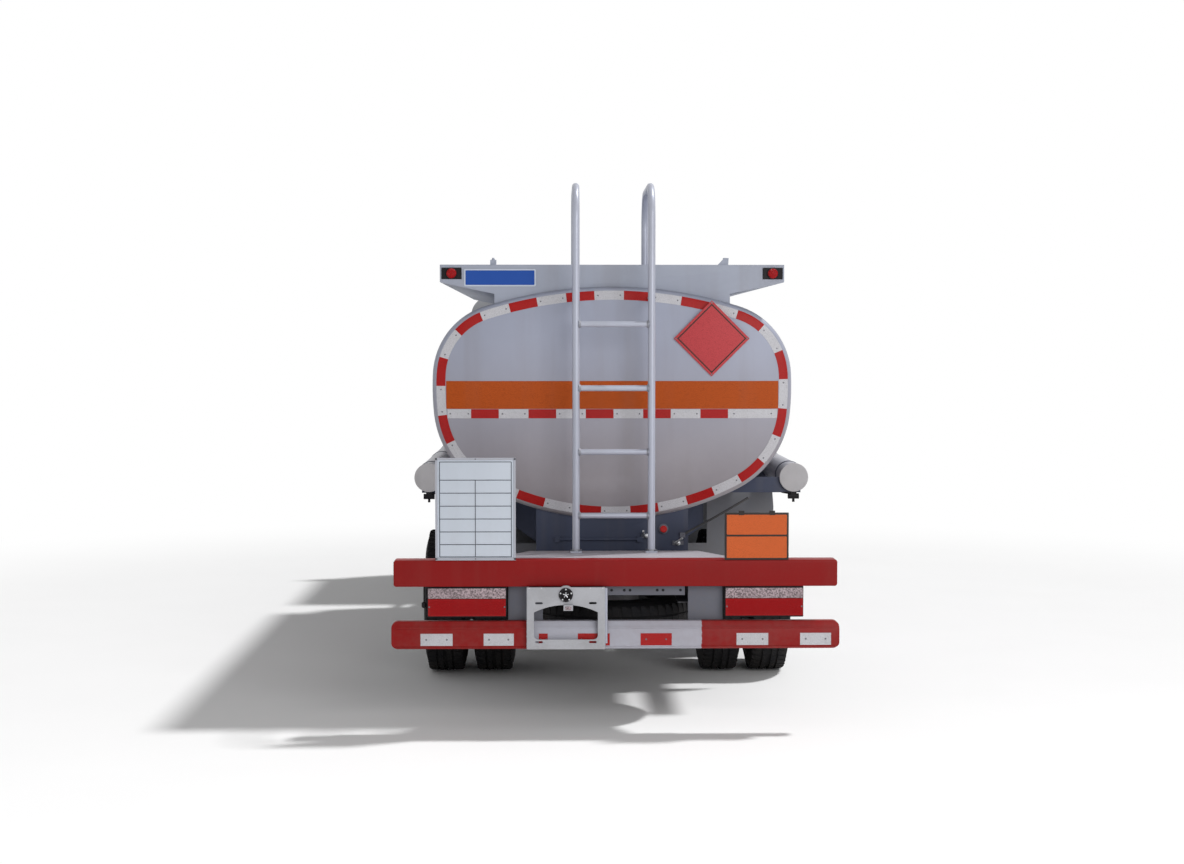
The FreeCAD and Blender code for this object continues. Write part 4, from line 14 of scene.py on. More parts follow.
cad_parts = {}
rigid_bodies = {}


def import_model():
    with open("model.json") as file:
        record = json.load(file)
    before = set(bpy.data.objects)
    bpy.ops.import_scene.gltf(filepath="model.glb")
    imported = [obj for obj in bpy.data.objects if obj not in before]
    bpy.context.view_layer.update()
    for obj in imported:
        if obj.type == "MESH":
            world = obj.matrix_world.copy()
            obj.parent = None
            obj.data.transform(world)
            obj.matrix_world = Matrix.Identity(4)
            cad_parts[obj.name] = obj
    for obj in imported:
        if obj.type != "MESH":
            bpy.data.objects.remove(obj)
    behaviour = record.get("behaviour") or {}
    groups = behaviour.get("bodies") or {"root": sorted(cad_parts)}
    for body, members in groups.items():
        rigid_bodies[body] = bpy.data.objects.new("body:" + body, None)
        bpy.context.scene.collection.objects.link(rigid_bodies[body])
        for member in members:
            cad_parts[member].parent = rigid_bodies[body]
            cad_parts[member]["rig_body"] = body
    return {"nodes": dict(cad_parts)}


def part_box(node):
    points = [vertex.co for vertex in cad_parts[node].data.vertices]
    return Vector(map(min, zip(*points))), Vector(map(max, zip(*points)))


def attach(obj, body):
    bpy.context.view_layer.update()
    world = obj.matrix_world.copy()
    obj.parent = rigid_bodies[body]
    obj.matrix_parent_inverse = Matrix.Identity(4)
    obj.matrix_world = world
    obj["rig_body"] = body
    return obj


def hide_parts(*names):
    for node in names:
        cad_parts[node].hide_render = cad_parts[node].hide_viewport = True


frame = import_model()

LOG = logging.getLogger("tank_lorry")
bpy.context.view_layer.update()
FILM_WIDE = 36.0
MERGE = 2e-5
ROUND = 2 * math.pi

Colour = tuple[float, float, float]
Spot = tuple[float, float, float]
Span = tuple[float, float]

TO_REAR: Spot = (0, -1, 0)
TO_FRONT: Spot = (0, 1, 0)
UP: Spot = (0, 0, 1)
DOWN: Spot = (0, 0, -1)
BEHIND = -4.0
AHEAD = 5.0
BESIDE = 2.0
TAPE_THICK = 0.0012
PANEL_LINE = 0.003
SHEET_SINK = 0.0006
HEAD_SINK = 0.0005


class Side(Enum):
    """The two sides of the lorry, as seen from behind."""

    LEFT = -1
    RIGHT = 1

    @property
    def word(self) -> str:
        """The side's name in node and body names."""
        return self.name.lower()

    @property
    def inward(self) -> Spot:
        """The direction from this side to the middle."""
        return (-self.value, 0, 0)

    def span(self, near: float, far: float) -> list[float]:
        """Two distances from the middle as places in x, low first."""
        return sorted((self.value * near, self.value * far))


class Way(Enum):
    """The axis that a turned or pushed form runs along."""

    X = 0
    Y = 1
    Z = 2


# shader maths


class Wire:
    """One output socket, on which shader maths is written as Python."""

    def __init__(self, tree: bpy.types.NodeTree, socket: bpy.types.NodeSocket) -> None:
        """Keeps the tree and the socket."""
        self.tree = tree
        self.socket = socket

    def _sum(self, operation: str, first: Any, second: Any = 0.0) -> "Wire":
        """Adds one Math node.

        Args:
            operation: the node's operation.
            first: a wire or number.
            second: a wire or number.

        Returns:
            The node's result.
        """
        node = self.tree.nodes.new("ShaderNodeMath")
        node.operation = operation
        for socket, value in zip(node.inputs, (first, second)):
            plug(self.tree, socket, value)
        return Wire(self.tree, node.outputs[0])

    def __add__(self, other: Any) -> "Wire":
        """Sum."""
        return self._sum("ADD", self, other)

    def __sub__(self, other: Any) -> "Wire":
        """Difference."""
        return self._sum("SUBTRACT", self, other)

    def __rsub__(self, other: Any) -> "Wire":
        """Difference, number first."""
        return self._sum("SUBTRACT", other, self)

    def __mul__(self, other: Any) -> "Wire":
        """Product."""
        return self._sum("MULTIPLY", self, other)

    def __or__(self, other: Any) -> "Wire":
        """The larger of two."""
        return self._sum("MAXIMUM", self, other)


def plug(tree: bpy.types.NodeTree, socket: bpy.types.NodeSocket, value: Any) -> None:
    """Links a wire to a socket, or sets the socket's own value.

    Args:
        tree: the tree that holds the socket.
        socket: the input to fill.
        value: a wire, number, colour or vector.
    """
    if isinstance(value, Wire):
        tree.links.new(value.socket, socket)
        return
    if socket.type == "RGBA" and len(value) == 3:
        value = (*value, 1.0)
    socket.default_value = value


class Graph:
    """A node tree while it is put together."""

    def __init__(self, tree: bpy.types.NodeTree) -> None:
        """Keeps the tree."""
        self.tree = tree

    def node(self, kind: str, settings: Optional[dict] = None, values: Optional[dict] = None,
             out: Any = 0) -> Wire:
        """Adds any node.

        Args:
            kind: the node's type.
            settings: its properties, set first.
            values: wires or values by socket name or number.
            out: the name or number of the output wanted.

        Returns:
            The wanted output.
        """
        node = self.tree.nodes.new(kind)
        for key, value in (settings or {}).items():
            setattr(node, key, value)
        for key, value in (values or {}).items():
            plug(self.tree, node.inputs[key], value)
        return Wire(self.tree, node.outputs[out])

    def end(self, kind: str, result: Wire) -> None:
        """Adds the tree's last node and links the result to it."""
        self.tree.links.new(result.socket, self.tree.nodes.new(kind).inputs[0])

    def seen(self) -> Wire:
        """One where the camera, a reflection or a window looks at the surface."""
        rays = [self.node("ShaderNodeLightPath", out=name)
                for name in ("Is Camera Ray", "Is Glossy Ray", "Is Transmission Ray")]
        return rays[0] | rays[1] | rays[2]


class Bench(Graph):
    """One material while its nodes are put together."""

    def __init__(self, name: str) -> None:
        """Starts an empty material.

        Args:
            name: the material's name.
        """
        self.material = bpy.data.materials.new(name)
        self.material.use_nodes = True
        super().__init__(self.material.node_tree)
        self.tree.nodes.clear()

    def spot(self, scale: Spot = (1.0, 1.0, 1.0)) -> Wire:
        """Object coordinates, stretched by a scale."""
        plain = self.node("ShaderNodeTexCoord", out="Object")
        return self.node("ShaderNodeMapping", None, {"Vector": plain, "Scale": scale})

    def axis(self, way: Way) -> Wire:
        """One Object coordinate."""
        return self.node("ShaderNodeSeparateXYZ", None, {0: self.spot()}, way.value)

    def noise(self, scale: float, stretch: Spot = (1.0, 1.0, 1.0), detail: float = 3.0) -> Wire:
        """Cloudy noise from nought to one.

        Args:
            scale: patches per metre.
            stretch: the scale of each axis.
            detail: octaves.

        Returns:
            The noise.
        """
        values = {"Vector": self.spot(stretch), "Scale": scale, "Detail": detail}
        return self.node("ShaderNodeTexNoise", None, values)

    def rise(self, value: Wire, low: float, high: float) -> Wire:
        """A soft step from nought at low to one at high."""
        values = {"Value": value, "From Min": low, "From Max": high}
        return self.node("ShaderNodeMapRange", {"interpolation_type": "SMOOTHSTEP"}, values)

    def mix(self, share: Any, first: Any, second: Any) -> Wire:
        """A mix of two colours."""
        return self.node("ShaderNodeMix", {"data_type": "RGBA"}, {0: share, 6: first, 7: second}, 2)

    def bands(self, axis: str, scale: float) -> Wire:
        """Even waves along one axis."""
        values = {"Vector": self.spot(), "Scale": scale}
        return self.node("ShaderNodeTexWave", {"bands_direction": axis}, values)

    def bump(self, height: Wire, depth: float) -> Wire:
        """A normal from a height in shares of a depth in metres."""
        return self.node("ShaderNodeBump", None, {"Height": height, "Distance": depth, "Strength": 1.0})

    def close(self, **values: Any) -> bpy.types.Material:
        """Ends the material with its surface shader.

        Args:
            values: wires or values by socket name, with _ for a blank.

        Returns:
            The material.
        """
        named = {key.replace("_", " "): value for key, value in values.items()}
        self.end("ShaderNodeOutputMaterial", self.node("ShaderNodeBsdfPrincipled", None, named))
        return self.material


# finishes

DUST: Colour = (0.20, 0.175, 0.15)
BUILT: dict[str, bpy.types.Material] = {}


@dataclass(frozen=True)
class Finish:
    """Sprayed paint with cloudy tone, fine grain and road dust low down."""

    name: str
    colour: Colour
    rough: float = 0.42
    metal: float = 0.0
    coat: float = 0.0
    mottle: float = 0.16
    cloud: float = 2.6
    grain: float = 260.0
    depth: float = 0.0002
    dust: float = 0.35
    dust_top: float = 1.15
    streak: float = 0.10
    gloss: float = 0.3

    def material(self) -> bpy.types.Material:
        """The finish's material, made once.

        Returns:
            The material.
        """
        if self.name not in BUILT:
            BUILT[self.name] = self.build(Bench(self.name))
        return BUILT[self.name]

    def tone(self, bench: Bench) -> Any:
        """The colour before weather."""
        return self.colour

    def height(self, bench: Bench) -> Wire:
        """The height that the bump reads."""
        return bench.noise(self.grain, detail=2.0)

    def build(self, bench: Bench) -> bpy.types.Material:
        """Puts the finish together.

        Args:
            bench: the empty material.

        Returns:
            The material.
        """
        cloud = bench.noise(self.cloud)
        fine = bench.noise(self.cloud * 14, detail=4.0)
        runs = bench.rise(bench.noise(9.0, (1.0, 1.0, 0.07)), 0.46, 0.72)
        dark = tuple(channel * 0.62 for channel in self.colour)
        patchy = bench.rise(cloud, 0.35, 0.75) * self.mottle + fine * (self.mottle * 0.5)
        worn = bench.mix(patchy, self.tone(bench), dark)
        worn = bench.mix(runs * self.streak, worn, DUST)
        low = 1.0 - bench.rise(bench.axis(Way.Z), 0.1, self.dust_top)
        soil = low * bench.rise(fine + cloud, 0.75, 1.35) * self.dust
        colour = bench.mix(soil, worn, DUST)
        rough = cloud * 0.14 + soil * 0.35 + (self.rough - 0.07)
        normal = bench.bump(self.height(bench), self.depth)
        return self.surface(bench, colour, rough, normal)

    def surface(self, bench: Bench, colour: Wire, rough: Wire, normal: Wire) -> bpy.types.Material:
        """The shader that the worked-out values feed."""
        return bench.close(
            Base_Color=colour, Roughness=rough, Normal=normal, Metallic=self.metal, Coat_Weight=self.coat,
            Coat_Roughness=0.12, Specular_IOR_Level=self.gloss,
        )


@dataclass(frozen=True)
class Brushed(Finish):
    """Bare or silver-sprayed metal with drawn lines along one axis."""

    lines: Spot = (1.0, 1.0, 30.0)

    def height(self, bench: Bench) -> Wire:
        """Drawn lines over fine grain."""
        return bench.noise(12.0, self.lines, 4.0) * 0.6 + bench.noise(self.grain, detail=2.0) * 0.4


@dataclass(frozen=True)
class TankSkin(Finish):
    """Satin silver sheet with a painted reflection: cooler and lighter above, warmer and darker below; faint
    dents and run marks.
    """

    # painted shade and reflection: the warmer, darker tone of the lower tank, faded into the lighter, cooler
    # top between two heights
    shaded_low_tone: Colour = (0.31, 0.285, 0.305)
    shade_fade_bottom: float = 1.15
    shade_fade_top: float = 2.15

    def tone(self, bench: Bench) -> Wire:
        """Painted reflection and shade: warm and darker below, cool and lighter above."""
        high = bench.rise(bench.axis(Way.Z), self.shade_fade_bottom, self.shade_fade_top)
        return bench.mix(high, self.shaded_low_tone, self.colour)

    def height(self, bench: Bench) -> Wire:
        """Slow waves of the rolled sheet under fine grain."""
        return bench.noise(3.2, detail=1.0) * 6.0 + bench.noise(self.grain, detail=2.0) * 0.35


@dataclass(frozen=True)
class TwoTone(Finish):
    """Bumper paint: red ends and a pale middle with a ragged edge."""

    middle: Colour = (0.42, 0.43, 0.49)
    low_x: float = -0.456
    high_x: float = 0.441

    def tone(self, bench: Bench) -> Wire:
        """The pale middle set into the red.

        Args:
            bench: the material while it is made.

        Returns:
            The colour.
        """
        ragged = (bench.noise(90.0, (1.0, 1.0, 0.6)) - 0.5) * 0.014
        across = bench.axis(Way.X) + ragged
        inside = bench.rise(across, self.low_x - 0.002, self.low_x + 0.002)
        outside = bench.rise(across, self.high_x - 0.002, self.high_x + 0.002)
        return bench.mix(inside - outside, self.colour, self.middle)


@dataclass(frozen=True)
class Tape(Finish):
    """Reflecting tape: a fine cell pattern under a clear film."""

    cells: float = 240.0

    def height(self, bench: Bench) -> Wire:
        """Small cells with raised walls.

        Args:
            bench: the material while it is made.

        Returns:
            The height.
        """
        values = {"Vector": bench.spot(), "Scale": self.cells}
        edge = bench.node("ShaderNodeTexVoronoi", {"feature": "DISTANCE_TO_EDGE"}, values, "Distance")
        return bench.rise(edge, 0.02, 0.16)

    def tone(self, bench: Bench) -> Wire:
        """The cells' walls read a little darker."""
        dark = tuple(channel * 0.7 for channel in self.colour)
        return bench.mix(self.height(bench), dark, self.colour)


@dataclass(frozen=True)
class Lens(Finish):
    """Moulded lamp lens with fine flutes and painted glints behind it."""

    flutes: float = 420.0
    # strength of the painted glints and painted dark speckles
    painted_glint: float = 0.5

    def height(self, bench: Bench) -> Wire:
        """Upright flutes crossed by a faint cell pattern."""
        wave = bench.bands("X", self.flutes)
        return wave * 0.5 + bench.noise(self.flutes * 0.6, detail=1.0) * 0.8

    def tone(self, bench: Bench) -> Wire:
        """Painted glints and painted dark speckles of the reflector's cells behind the lens.

        Args:
            bench: the material while it is made.

        Returns:
            The colour.
        """
        cells = bench.noise(self.flutes * 0.45, detail=1.0)
        # painted glints on the brightest cells, painted shade on the darkest cells
        bright = tuple(min(1.0, channel * 1.7 + 0.03 * self.painted_glint) for channel in self.colour)
        dark = tuple(channel * 0.35 for channel in self.colour)
        lit = bench.mix(bench.rise(cells, 0.50, 0.62) * self.painted_glint, self.colour, bright)
        return bench.mix((1.0 - bench.rise(cells, 0.34, 0.46)) * self.painted_glint, lit, dark)


@dataclass(frozen=True)
class Glass(Finish):
    """Tinted window glass with a film of dust."""

    def surface(self, bench: Bench, colour: Wire, rough: Wire, normal: Wire) -> bpy.types.Material:
        """Clear, smooth and thin."""
        film = bench.rise(bench.noise(4.0), 0.4, 0.8) * 0.10 + 0.02
        return bench.close(Base_Color=colour, Roughness=film, Transmission_Weight=0.92, IOR=1.12, Alpha=1.0)


@dataclass(frozen=True)
class Cloth(Finish):
    """Woven seat cloth."""

    threads: float = 180.0

    def height(self, bench: Bench) -> Wire:
        """Warp and weft."""
        return bench.bands("X", self.threads) * bench.bands("Z", self.threads)


SILVER = TankSkin("satin_tank", (0.325, 0.345, 0.43), 0.5, 0.15, mottle=0.14, cloud=1.7, depth=0.0009,
                  dust=0.4, dust_top=1.7, streak=0.14)
SILVER_TRIM = Brushed("silver_trim", (0.38, 0.39, 0.44), 0.4, 0.3, depth=0.00025, dust=0.2)
WALK = Finish("walkway_grey", (0.335, 0.36, 0.435), 0.5, mottle=0.2, dust=0.3, dust_top=2.6, streak=0.16)
LADDER = Brushed("ladder_tube", (0.42, 0.44, 0.52), 0.38, 0.25, depth=0.00015)
WELD = Finish("weld_bead", (0.29, 0.30, 0.34), 0.5, 0.3, mottle=0.5, cloud=30.0, depth=0.0012, grain=160.0)
BAND = Tape("orange_band", (0.47, 0.083, 0.012), 0.45, mottle=0.10, depth=0.00008, dust=0.05, streak=0.05,
            cells=160.0, gloss=0.1)
TAPE_RED = Tape("tape_red", (0.42, 0.012, 0.012), 0.34, mottle=0.12, depth=0.00012, dust=0.04, streak=0.04,
                gloss=0.16)
TAPE_PALE = Tape("tape_pale", (0.60, 0.595, 0.63), 0.34, mottle=0.12, depth=0.00012, dust=0.15, gloss=0.25)
RIVET = Finish("rivet_head", (0.16, 0.16, 0.18), 0.4, 0.6, depth=0.0001)
BEAM = Finish("beam_red", (0.235, 0.006, 0.006), 0.42, mottle=0.2, cloud=4.0, dust=0.05, dust_top=1.3,
              streak=0.03, gloss=0.14)
BUMPER = TwoTone("bumper_two_tone", (0.245, 0.008, 0.008), 0.42, mottle=0.14, dust=0.12, streak=0.05,
                 gloss=0.14)
BRACKET = Finish("bracket_grey", (0.125, 0.13, 0.16), 0.55, 0.1, mottle=0.35, dust=0.3)
FRAME = Finish("frame_dark", (0.045, 0.048, 0.058), 0.55, 0.1, mottle=0.3, dust=0.4, gloss=0.2)
DECK = Finish("deck_plate", (0.47, 0.45, 0.49), 0.5, 0.1, mottle=0.3, cloud=6.0, dust=0.2)
SUBFRAME = Finish("subframe_blue_grey", (0.05, 0.06, 0.10), 0.5, mottle=0.25, dust=0.12, gloss=0.18)
MUD = Finish("mud_grey", (0.20, 0.205, 0.225), 0.6, mottle=0.3, dust=0.4, grain=120.0, depth=0.0004,
             gloss=0.2)
LAMP_BLACK = Finish("lamp_black", (0.012, 0.011, 0.013), 0.45, mottle=0.3, dust=0.06, grain=300.0,
                    streak=0.02, gloss=0.12)
LENS_RED = Lens("lens_red", (0.33, 0.003, 0.005), 0.25, coat=0.05, mottle=0.1, depth=0.0006, dust=0.02,
                streak=0.02, gloss=0.12, painted_glint=0.25)
LENS_CLEAR = Lens("lens_clear", (0.36, 0.28, 0.30), 0.2, coat=0.2, mottle=0.3, cloud=9.0, depth=0.0010,
                  dust=0.05, painted_glint=0.9, flutes=300.0)
LENS_AMBER = Lens("lens_amber", (0.62, 0.18, 0.01), 0.2, coat=0.3, mottle=0.1, depth=0.0006, dust=0.1)
SIGN_WHITE = Finish("sign_white", (0.53, 0.575, 0.645), 0.4, mottle=0.05, dust=0.12, dust_top=1.5,
                    streak=0.05)
SIGN_LINE = Finish("sign_line", (0.06, 0.07, 0.09), 0.5, mottle=0.2, dust=0.1)
SIGN_ORANGE = Tape("sign_orange", (0.63, 0.125, 0.033), 0.45, mottle=0.08, depth=0.00008, dust=0.04,
                   streak=0.03, gloss=0.12)
SIGN_BLACK = Finish("sign_black", (0.028, 0.022, 0.020), 0.45, mottle=0.2, dust=0.15, gloss=0.2)
SIGN_BLUE = Finish("sign_blue", (0.018, 0.075, 0.34), 0.4, mottle=0.1, dust=0.05, streak=0.03, gloss=0.15)
DIAMOND = Tape("diamond_red", (0.54, 0.070, 0.078), 0.45, mottle=0.06, depth=0.00006, dust=0.04, streak=0.03,
               cells=200.0, gloss=0.1)
PLATE = Finish("plate_white", (0.42, 0.425, 0.455), 0.42, mottle=0.26, cloud=8.0, dust=0.2)
RUBBER = Finish("tyre_rubber", (0.010, 0.010, 0.012), 0.75, mottle=0.5, cloud=7.0, dust=0.10, dust_top=1.0,
                grain=420.0, depth=0.0004, streak=0.02, gloss=0.12)
RIM = Finish("rim_silver", (0.36, 0.36, 0.38), 0.42, 0.25, mottle=0.3, cloud=8.0, dust=0.4)
AXLE = Finish("axle_black", (0.03, 0.03, 0.034), 0.5, 0.1, mottle=0.4, dust=0.4)
IRON = Finish("engine_iron", (0.085, 0.085, 0.09), 0.6, 0.3, mottle=0.5, cloud=9.0, dust=0.4, grain=150.0,
              depth=0.0006)
FUEL = Brushed("fuel_tank_metal", (0.38, 0.39, 0.41), 0.34, 0.6, mottle=0.15, dust=0.4)
EXHAUST = Finish("exhaust_steel", (0.20, 0.17, 0.14), 0.5, 0.5, mottle=0.6, cloud=11.0, dust=0.5)
ALLOY = Brushed("guard_alloy", (0.50, 0.51, 0.53), 0.36, 0.5, mottle=0.12, dust=0.4, lines=(30.0, 1.0, 30.0))
BLACK_PLASTIC = Finish("black_plastic", (0.022, 0.022, 0.024), 0.5, mottle=0.2, dust=0.3, grain=520.0,
                       depth=0.0003)
CAB = Finish("cab_white", (0.50, 0.515, 0.54), 0.34, coat=0.15, mottle=0.06, dust=0.3, dust_top=1.4,
             streak=0.05, depth=0.00004)
WINDOW = Glass("cab_glass", (0.30, 0.36, 0.35), 0.05, mottle=0.05, dust=0.0, streak=0.0)
SEAT = Cloth("seat_cloth", (0.10, 0.105, 0.12), 0.85, mottle=0.2, depth=0.0008, dust=0.0)
DASH = Finish("dash_grey", (0.07, 0.07, 0.075), 0.6, mottle=0.1, dust=0.1, grain=500.0, depth=0.0004)
MIRROR = Finish("mirror_glass", (0.75, 0.77, 0.78), 0.05, 1.0, mottle=0.05, depth=0.00001, dust=0.0)
NOSE = Finish("nose_grey", (0.30, 0.31, 0.33), 0.5, mottle=0.15, dust=0.4)
HEADLAMP = Lens("headlamp_clear", (0.60, 0.62, 0.64), 0.08, coat=1.0, mottle=0.1, depth=0.0008, dust=0.1)
BUTTON_RED = Finish("button_red", (0.50, 0.008, 0.008), 0.35, coat=0.1, dust=0.02, streak=0.0, gloss=0.2)
CAP = Finish("tube_cap", (0.47, 0.46, 0.475), 0.5, mottle=0.2, cloud=14.0, dust=0.1)
BRASS = Finish("pipe_brass", (0.42, 0.30, 0.12), 0.38, 0.8, mottle=0.3, dust=0.3)
STEEL = Finish("bright_steel", (0.55, 0.56, 0.58), 0.3, 0.8, mottle=0.2, depth=0.0001, dust=0.1)


# mesh tools


def spaced(low: float, high: float, parts: int) -> list[float]:
    """Evenly spaced values from low to high."""
    return [low + (high - low) * n / parts for n in range(parts + 1)]


def lattice(xs: Sequence[float], ys: Sequence[float], zs: Sequence[float]) -> list[list[Spot]]:
    """A row of points up through zs for each place in x and y."""
    return [[(x, y, z) for z in zs] for x in xs for y in ys]


def lifted(first: float, second: float, way: Way, level: float) -> Vector:
    """A point from two coordinates and its level along an axis.

    Args:
        first: the first of the other two coordinates.
        second: the second of them.
        way: the axis.
        level: the place along it.

    Returns:
        The point.
    """
    flat = [first, second]
    flat.insert(way.value, level)
    return Vector(flat)


def on_ring(spot: Sequence[float], radius: float, angle: float, way: Way, place: float) -> Vector:
    """A point at a radius and an angle round an axis through a spot."""
    return Vector(spot) + lifted(radius * math.cos(angle), radius * math.sin(angle), way, place)


def linked(name: str, data: bpy.types.ID) -> bpy.types.Object:
    """A new object, put into the scene.

    Args:
        name: its name.
        data: its mesh, lamp or camera.

    Returns:
        The object.
    """
    made = bpy.data.objects.new(name, data)
    bpy.context.scene.collection.objects.link(made)
    return made


def rider(node: str) -> str:
    """The body that a solid rides on."""
    return frame["nodes"][node]["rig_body"]


def smoothed(mesh: bpy.types.Mesh, degrees: float = 38.0) -> None:
    """Shades a mesh smooth, with sharp edges above an angle."""
    mesh.polygons.foreach_set("use_smooth", [True] * len(mesh.polygons))
    mesh.set_sharp_from_angle(angle=math.radians(degrees))


def eased(work: bmesh.types.BMesh, width: float, degrees: float = 38.0, segments: int = 2) -> None:
    """Rounds the edges of a mesh that turn by more than an angle.

    Args:
        work: the mesh.
        width: the width of the rounding in metres.
        degrees: the smallest turn that is rounded.
        segments: strips across each rounding.
    """
    limit = math.radians(degrees)
    edges = [edge for edge in work.edges if edge.is_manifold and edge.calc_face_angle(0.0) > limit]
    bmesh.ops.bevel(work, geom=edges, offset=width, segments=segments, profile=0.6, affect="EDGES",
                    clamp_overlap=True)


class Form:
    """One piece's mesh while it is made, with a finish for each face."""

    def __init__(self) -> None:
        """Starts empty."""
        self.work = bmesh.new()
        self.finishes: list[Finish] = []

    def skin(self, finish: Finish) -> int:
        """The material number of a finish.

        Args:
            finish: the finish, which is added if it is new.

        Returns:
            Its number.
        """
        if finish not in self.finishes:
            self.finishes.append(finish)
        return self.finishes.index(finish)

    def face(self, corners: Sequence[bmesh.types.BMVert], finish: Finish) -> None:
        """Adds one face, unless it is already there."""
        made = self.work.faces.get(corners) or self.work.faces.new(corners)
        made.material_index = self.skin(finish)

    def loft(self, rows: Sequence[Sequence[Vector]], finish: Finish, ring: bool = True,
             caps: bool = True) -> None:
        """Joins rows of points of one length.

        Args:
            rows: the rows, first to last.
            finish: the faces' finish.
            ring: whether each row closes on itself.
            caps: whether the ends are filled.
        """
        made = [[self.work.verts.new(point) for point in row] for row in rows]
        count = len(rows[0])
        for low, high in zip(made, made[1:]):
            for n in range(count if ring else count - 1):
                m = (n + 1) % count
                self.face((low[n], low[m], high[m], high[n]), finish)
        if caps:
            self.face(made[0][::-1], finish)
            self.face(made[-1], finish)

    def block(self, low: Sequence[float], high: Sequence[float], finish: Finish, ease: float = 0.0) -> None:
        """A box with optional rounded edges.

        Args:
            low: its lowest corner.
            high: its highest corner.
            finish: its finish.
            ease: the rounding of its edges.
        """
        (x0, x1), (y0, y1), (z0, z1) = zip(low, high)
        self.slab(((x0, y0), (x1, y0), (x1, y1), (x0, y1)), Way.Z, z0, z1, finish, ease)

    def lathe(self, profile: Sequence[Span], spot: Sequence[float], way: Way, finish: Finish,
              sides: int = 40) -> None:
        """A turned form from a profile whose ends are closed by flat caps.

        Args:
            profile: pairs of place along the axis and radius.
            spot: the point that the places along the axis count from.
            way: the axis.
            finish: its finish.
            sides: its number of sides.
        """
        turns = [ROUND * n / sides for n in range(sides)]
        rows = [[on_ring(spot, radius, angle, way, place) for angle in turns] for place, radius in profile]
        self.loft(rows, finish)

    def tube(self, path: Sequence[Sequence[float]], radius: float, finish: Finish, sides: int = 16) -> None:
        """A round bar along a path, with flat ends.

        Args:
            path: the points of its middle line.
            radius: its radius.
            finish: its finish.
            sides: its number of sides.
        """
        points = [Vector(point) for point in path]
        rows = []
        across = None
        for n, point in enumerate(points):
            before = points[max(0, n - 1)]
            after = points[min(len(points) - 1, n + 1)]
            run = (after - before).normalized()
            if across is None:
                across = run.orthogonal().normalized()
            across = (across - run * across.dot(run)).normalized()
            up = run.cross(across)
            turns = [ROUND * k / sides for k in range(sides)]
            rows.append([point + (across * math.cos(a) + up * math.sin(a)) * radius for a in turns])
        self.loft(rows, finish)

    def slab(self, outline: Sequence[Span], way: Way, low: float, high: float, finish: Finish,
             ease: float = 0.0) -> None:
        """A flat outline pushed along an axis.

        Args:
            outline: the points on the other two axes, in axis order.
            way: the axis of the push.
            low: where it starts.
            high: where it ends.
            finish: its finish.
            ease: the rounding of its edges.
        """
        other = Form()
        rows = [[lifted(first, second, way, level) for first, second in outline] for level in (low, high)]
        other.loft(rows, finish)
        if ease:
            eased(other.work, ease)
        self.take(other)

    def take(self, other: "Form") -> None:
        """Adds another form's faces and frees it.

        Args:
            other: the form that is used up.
        """
        spots = {vert: self.work.verts.new(vert.co) for vert in other.work.verts}
        for old in other.work.faces:
            new = self.work.faces.new([spots[vert] for vert in old.verts])
            new.material_index = self.skin(other.finishes[old.material_index])
        other.work.free()

    def mesh(self, name: str, degrees: float = 38.0) -> bpy.types.Mesh:
        """Ends the form as a mesh with outward faces.

        Args:
            name: the mesh's name.
            degrees: the turn above which an edge stays sharp.

        Returns:
            The mesh.
        """
        bmesh.ops.recalc_face_normals(self.work, faces=self.work.faces)
        made = bpy.data.meshes.new(name)
        self.work.to_mesh(made)
        self.work.free()
        for finish in self.finishes:
            made.materials.append(finish.material())
        smoothed(made, degrees)
        return made

    def piece(self, name: str, body: str, slot: Optional[str] = None, nodes: Iterable[str] = (),
              degrees: float = 38.0) -> bpy.types.Object:
        """Ends the form as a piece of the lorry.

        Args:
            name: the piece's name.
            body: the body that it rides on.
            slot: not used.
            nodes: the solids that it stands for.
            degrees: the turn above which an edge stays sharp.

        Returns:
            The piece.
        """
        return shown(self.mesh(name, degrees), name, body, nodes)


def shown(mesh: bpy.types.Mesh, name: str, body: str,
          nodes: Iterable[str] = ()) -> bpy.types.Object:
    """Puts a finished mesh into the scene.

    Args:
        mesh: the mesh.
        name: the piece's name.
        body: the body that it rides on.
        nodes: the solids that it stands for.

    Returns:
        The piece.
    """
    piece = linked(name, mesh)
    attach(piece, body)
    if nodes:
        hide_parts(*nodes)
    LOG.info("%s rides on %s with %d faces", name, body, len(mesh.polygons))
    return piece


def merged(node: str) -> bmesh.types.BMesh:
    """A joined copy of a solid's loose triangles, with flat parts as single faces.

    Args:
        node: the solid's name.

    Returns:
        The copy.
    """
    work = bmesh.new()
    work.from_mesh(frame["nodes"][node].data)
    bmesh.ops.remove_doubles(work, verts=work.verts, dist=MERGE)
    bmesh.ops.dissolve_limit(work, angle_limit=math.radians(0.6), verts=work.verts, edges=work.edges)
    return work


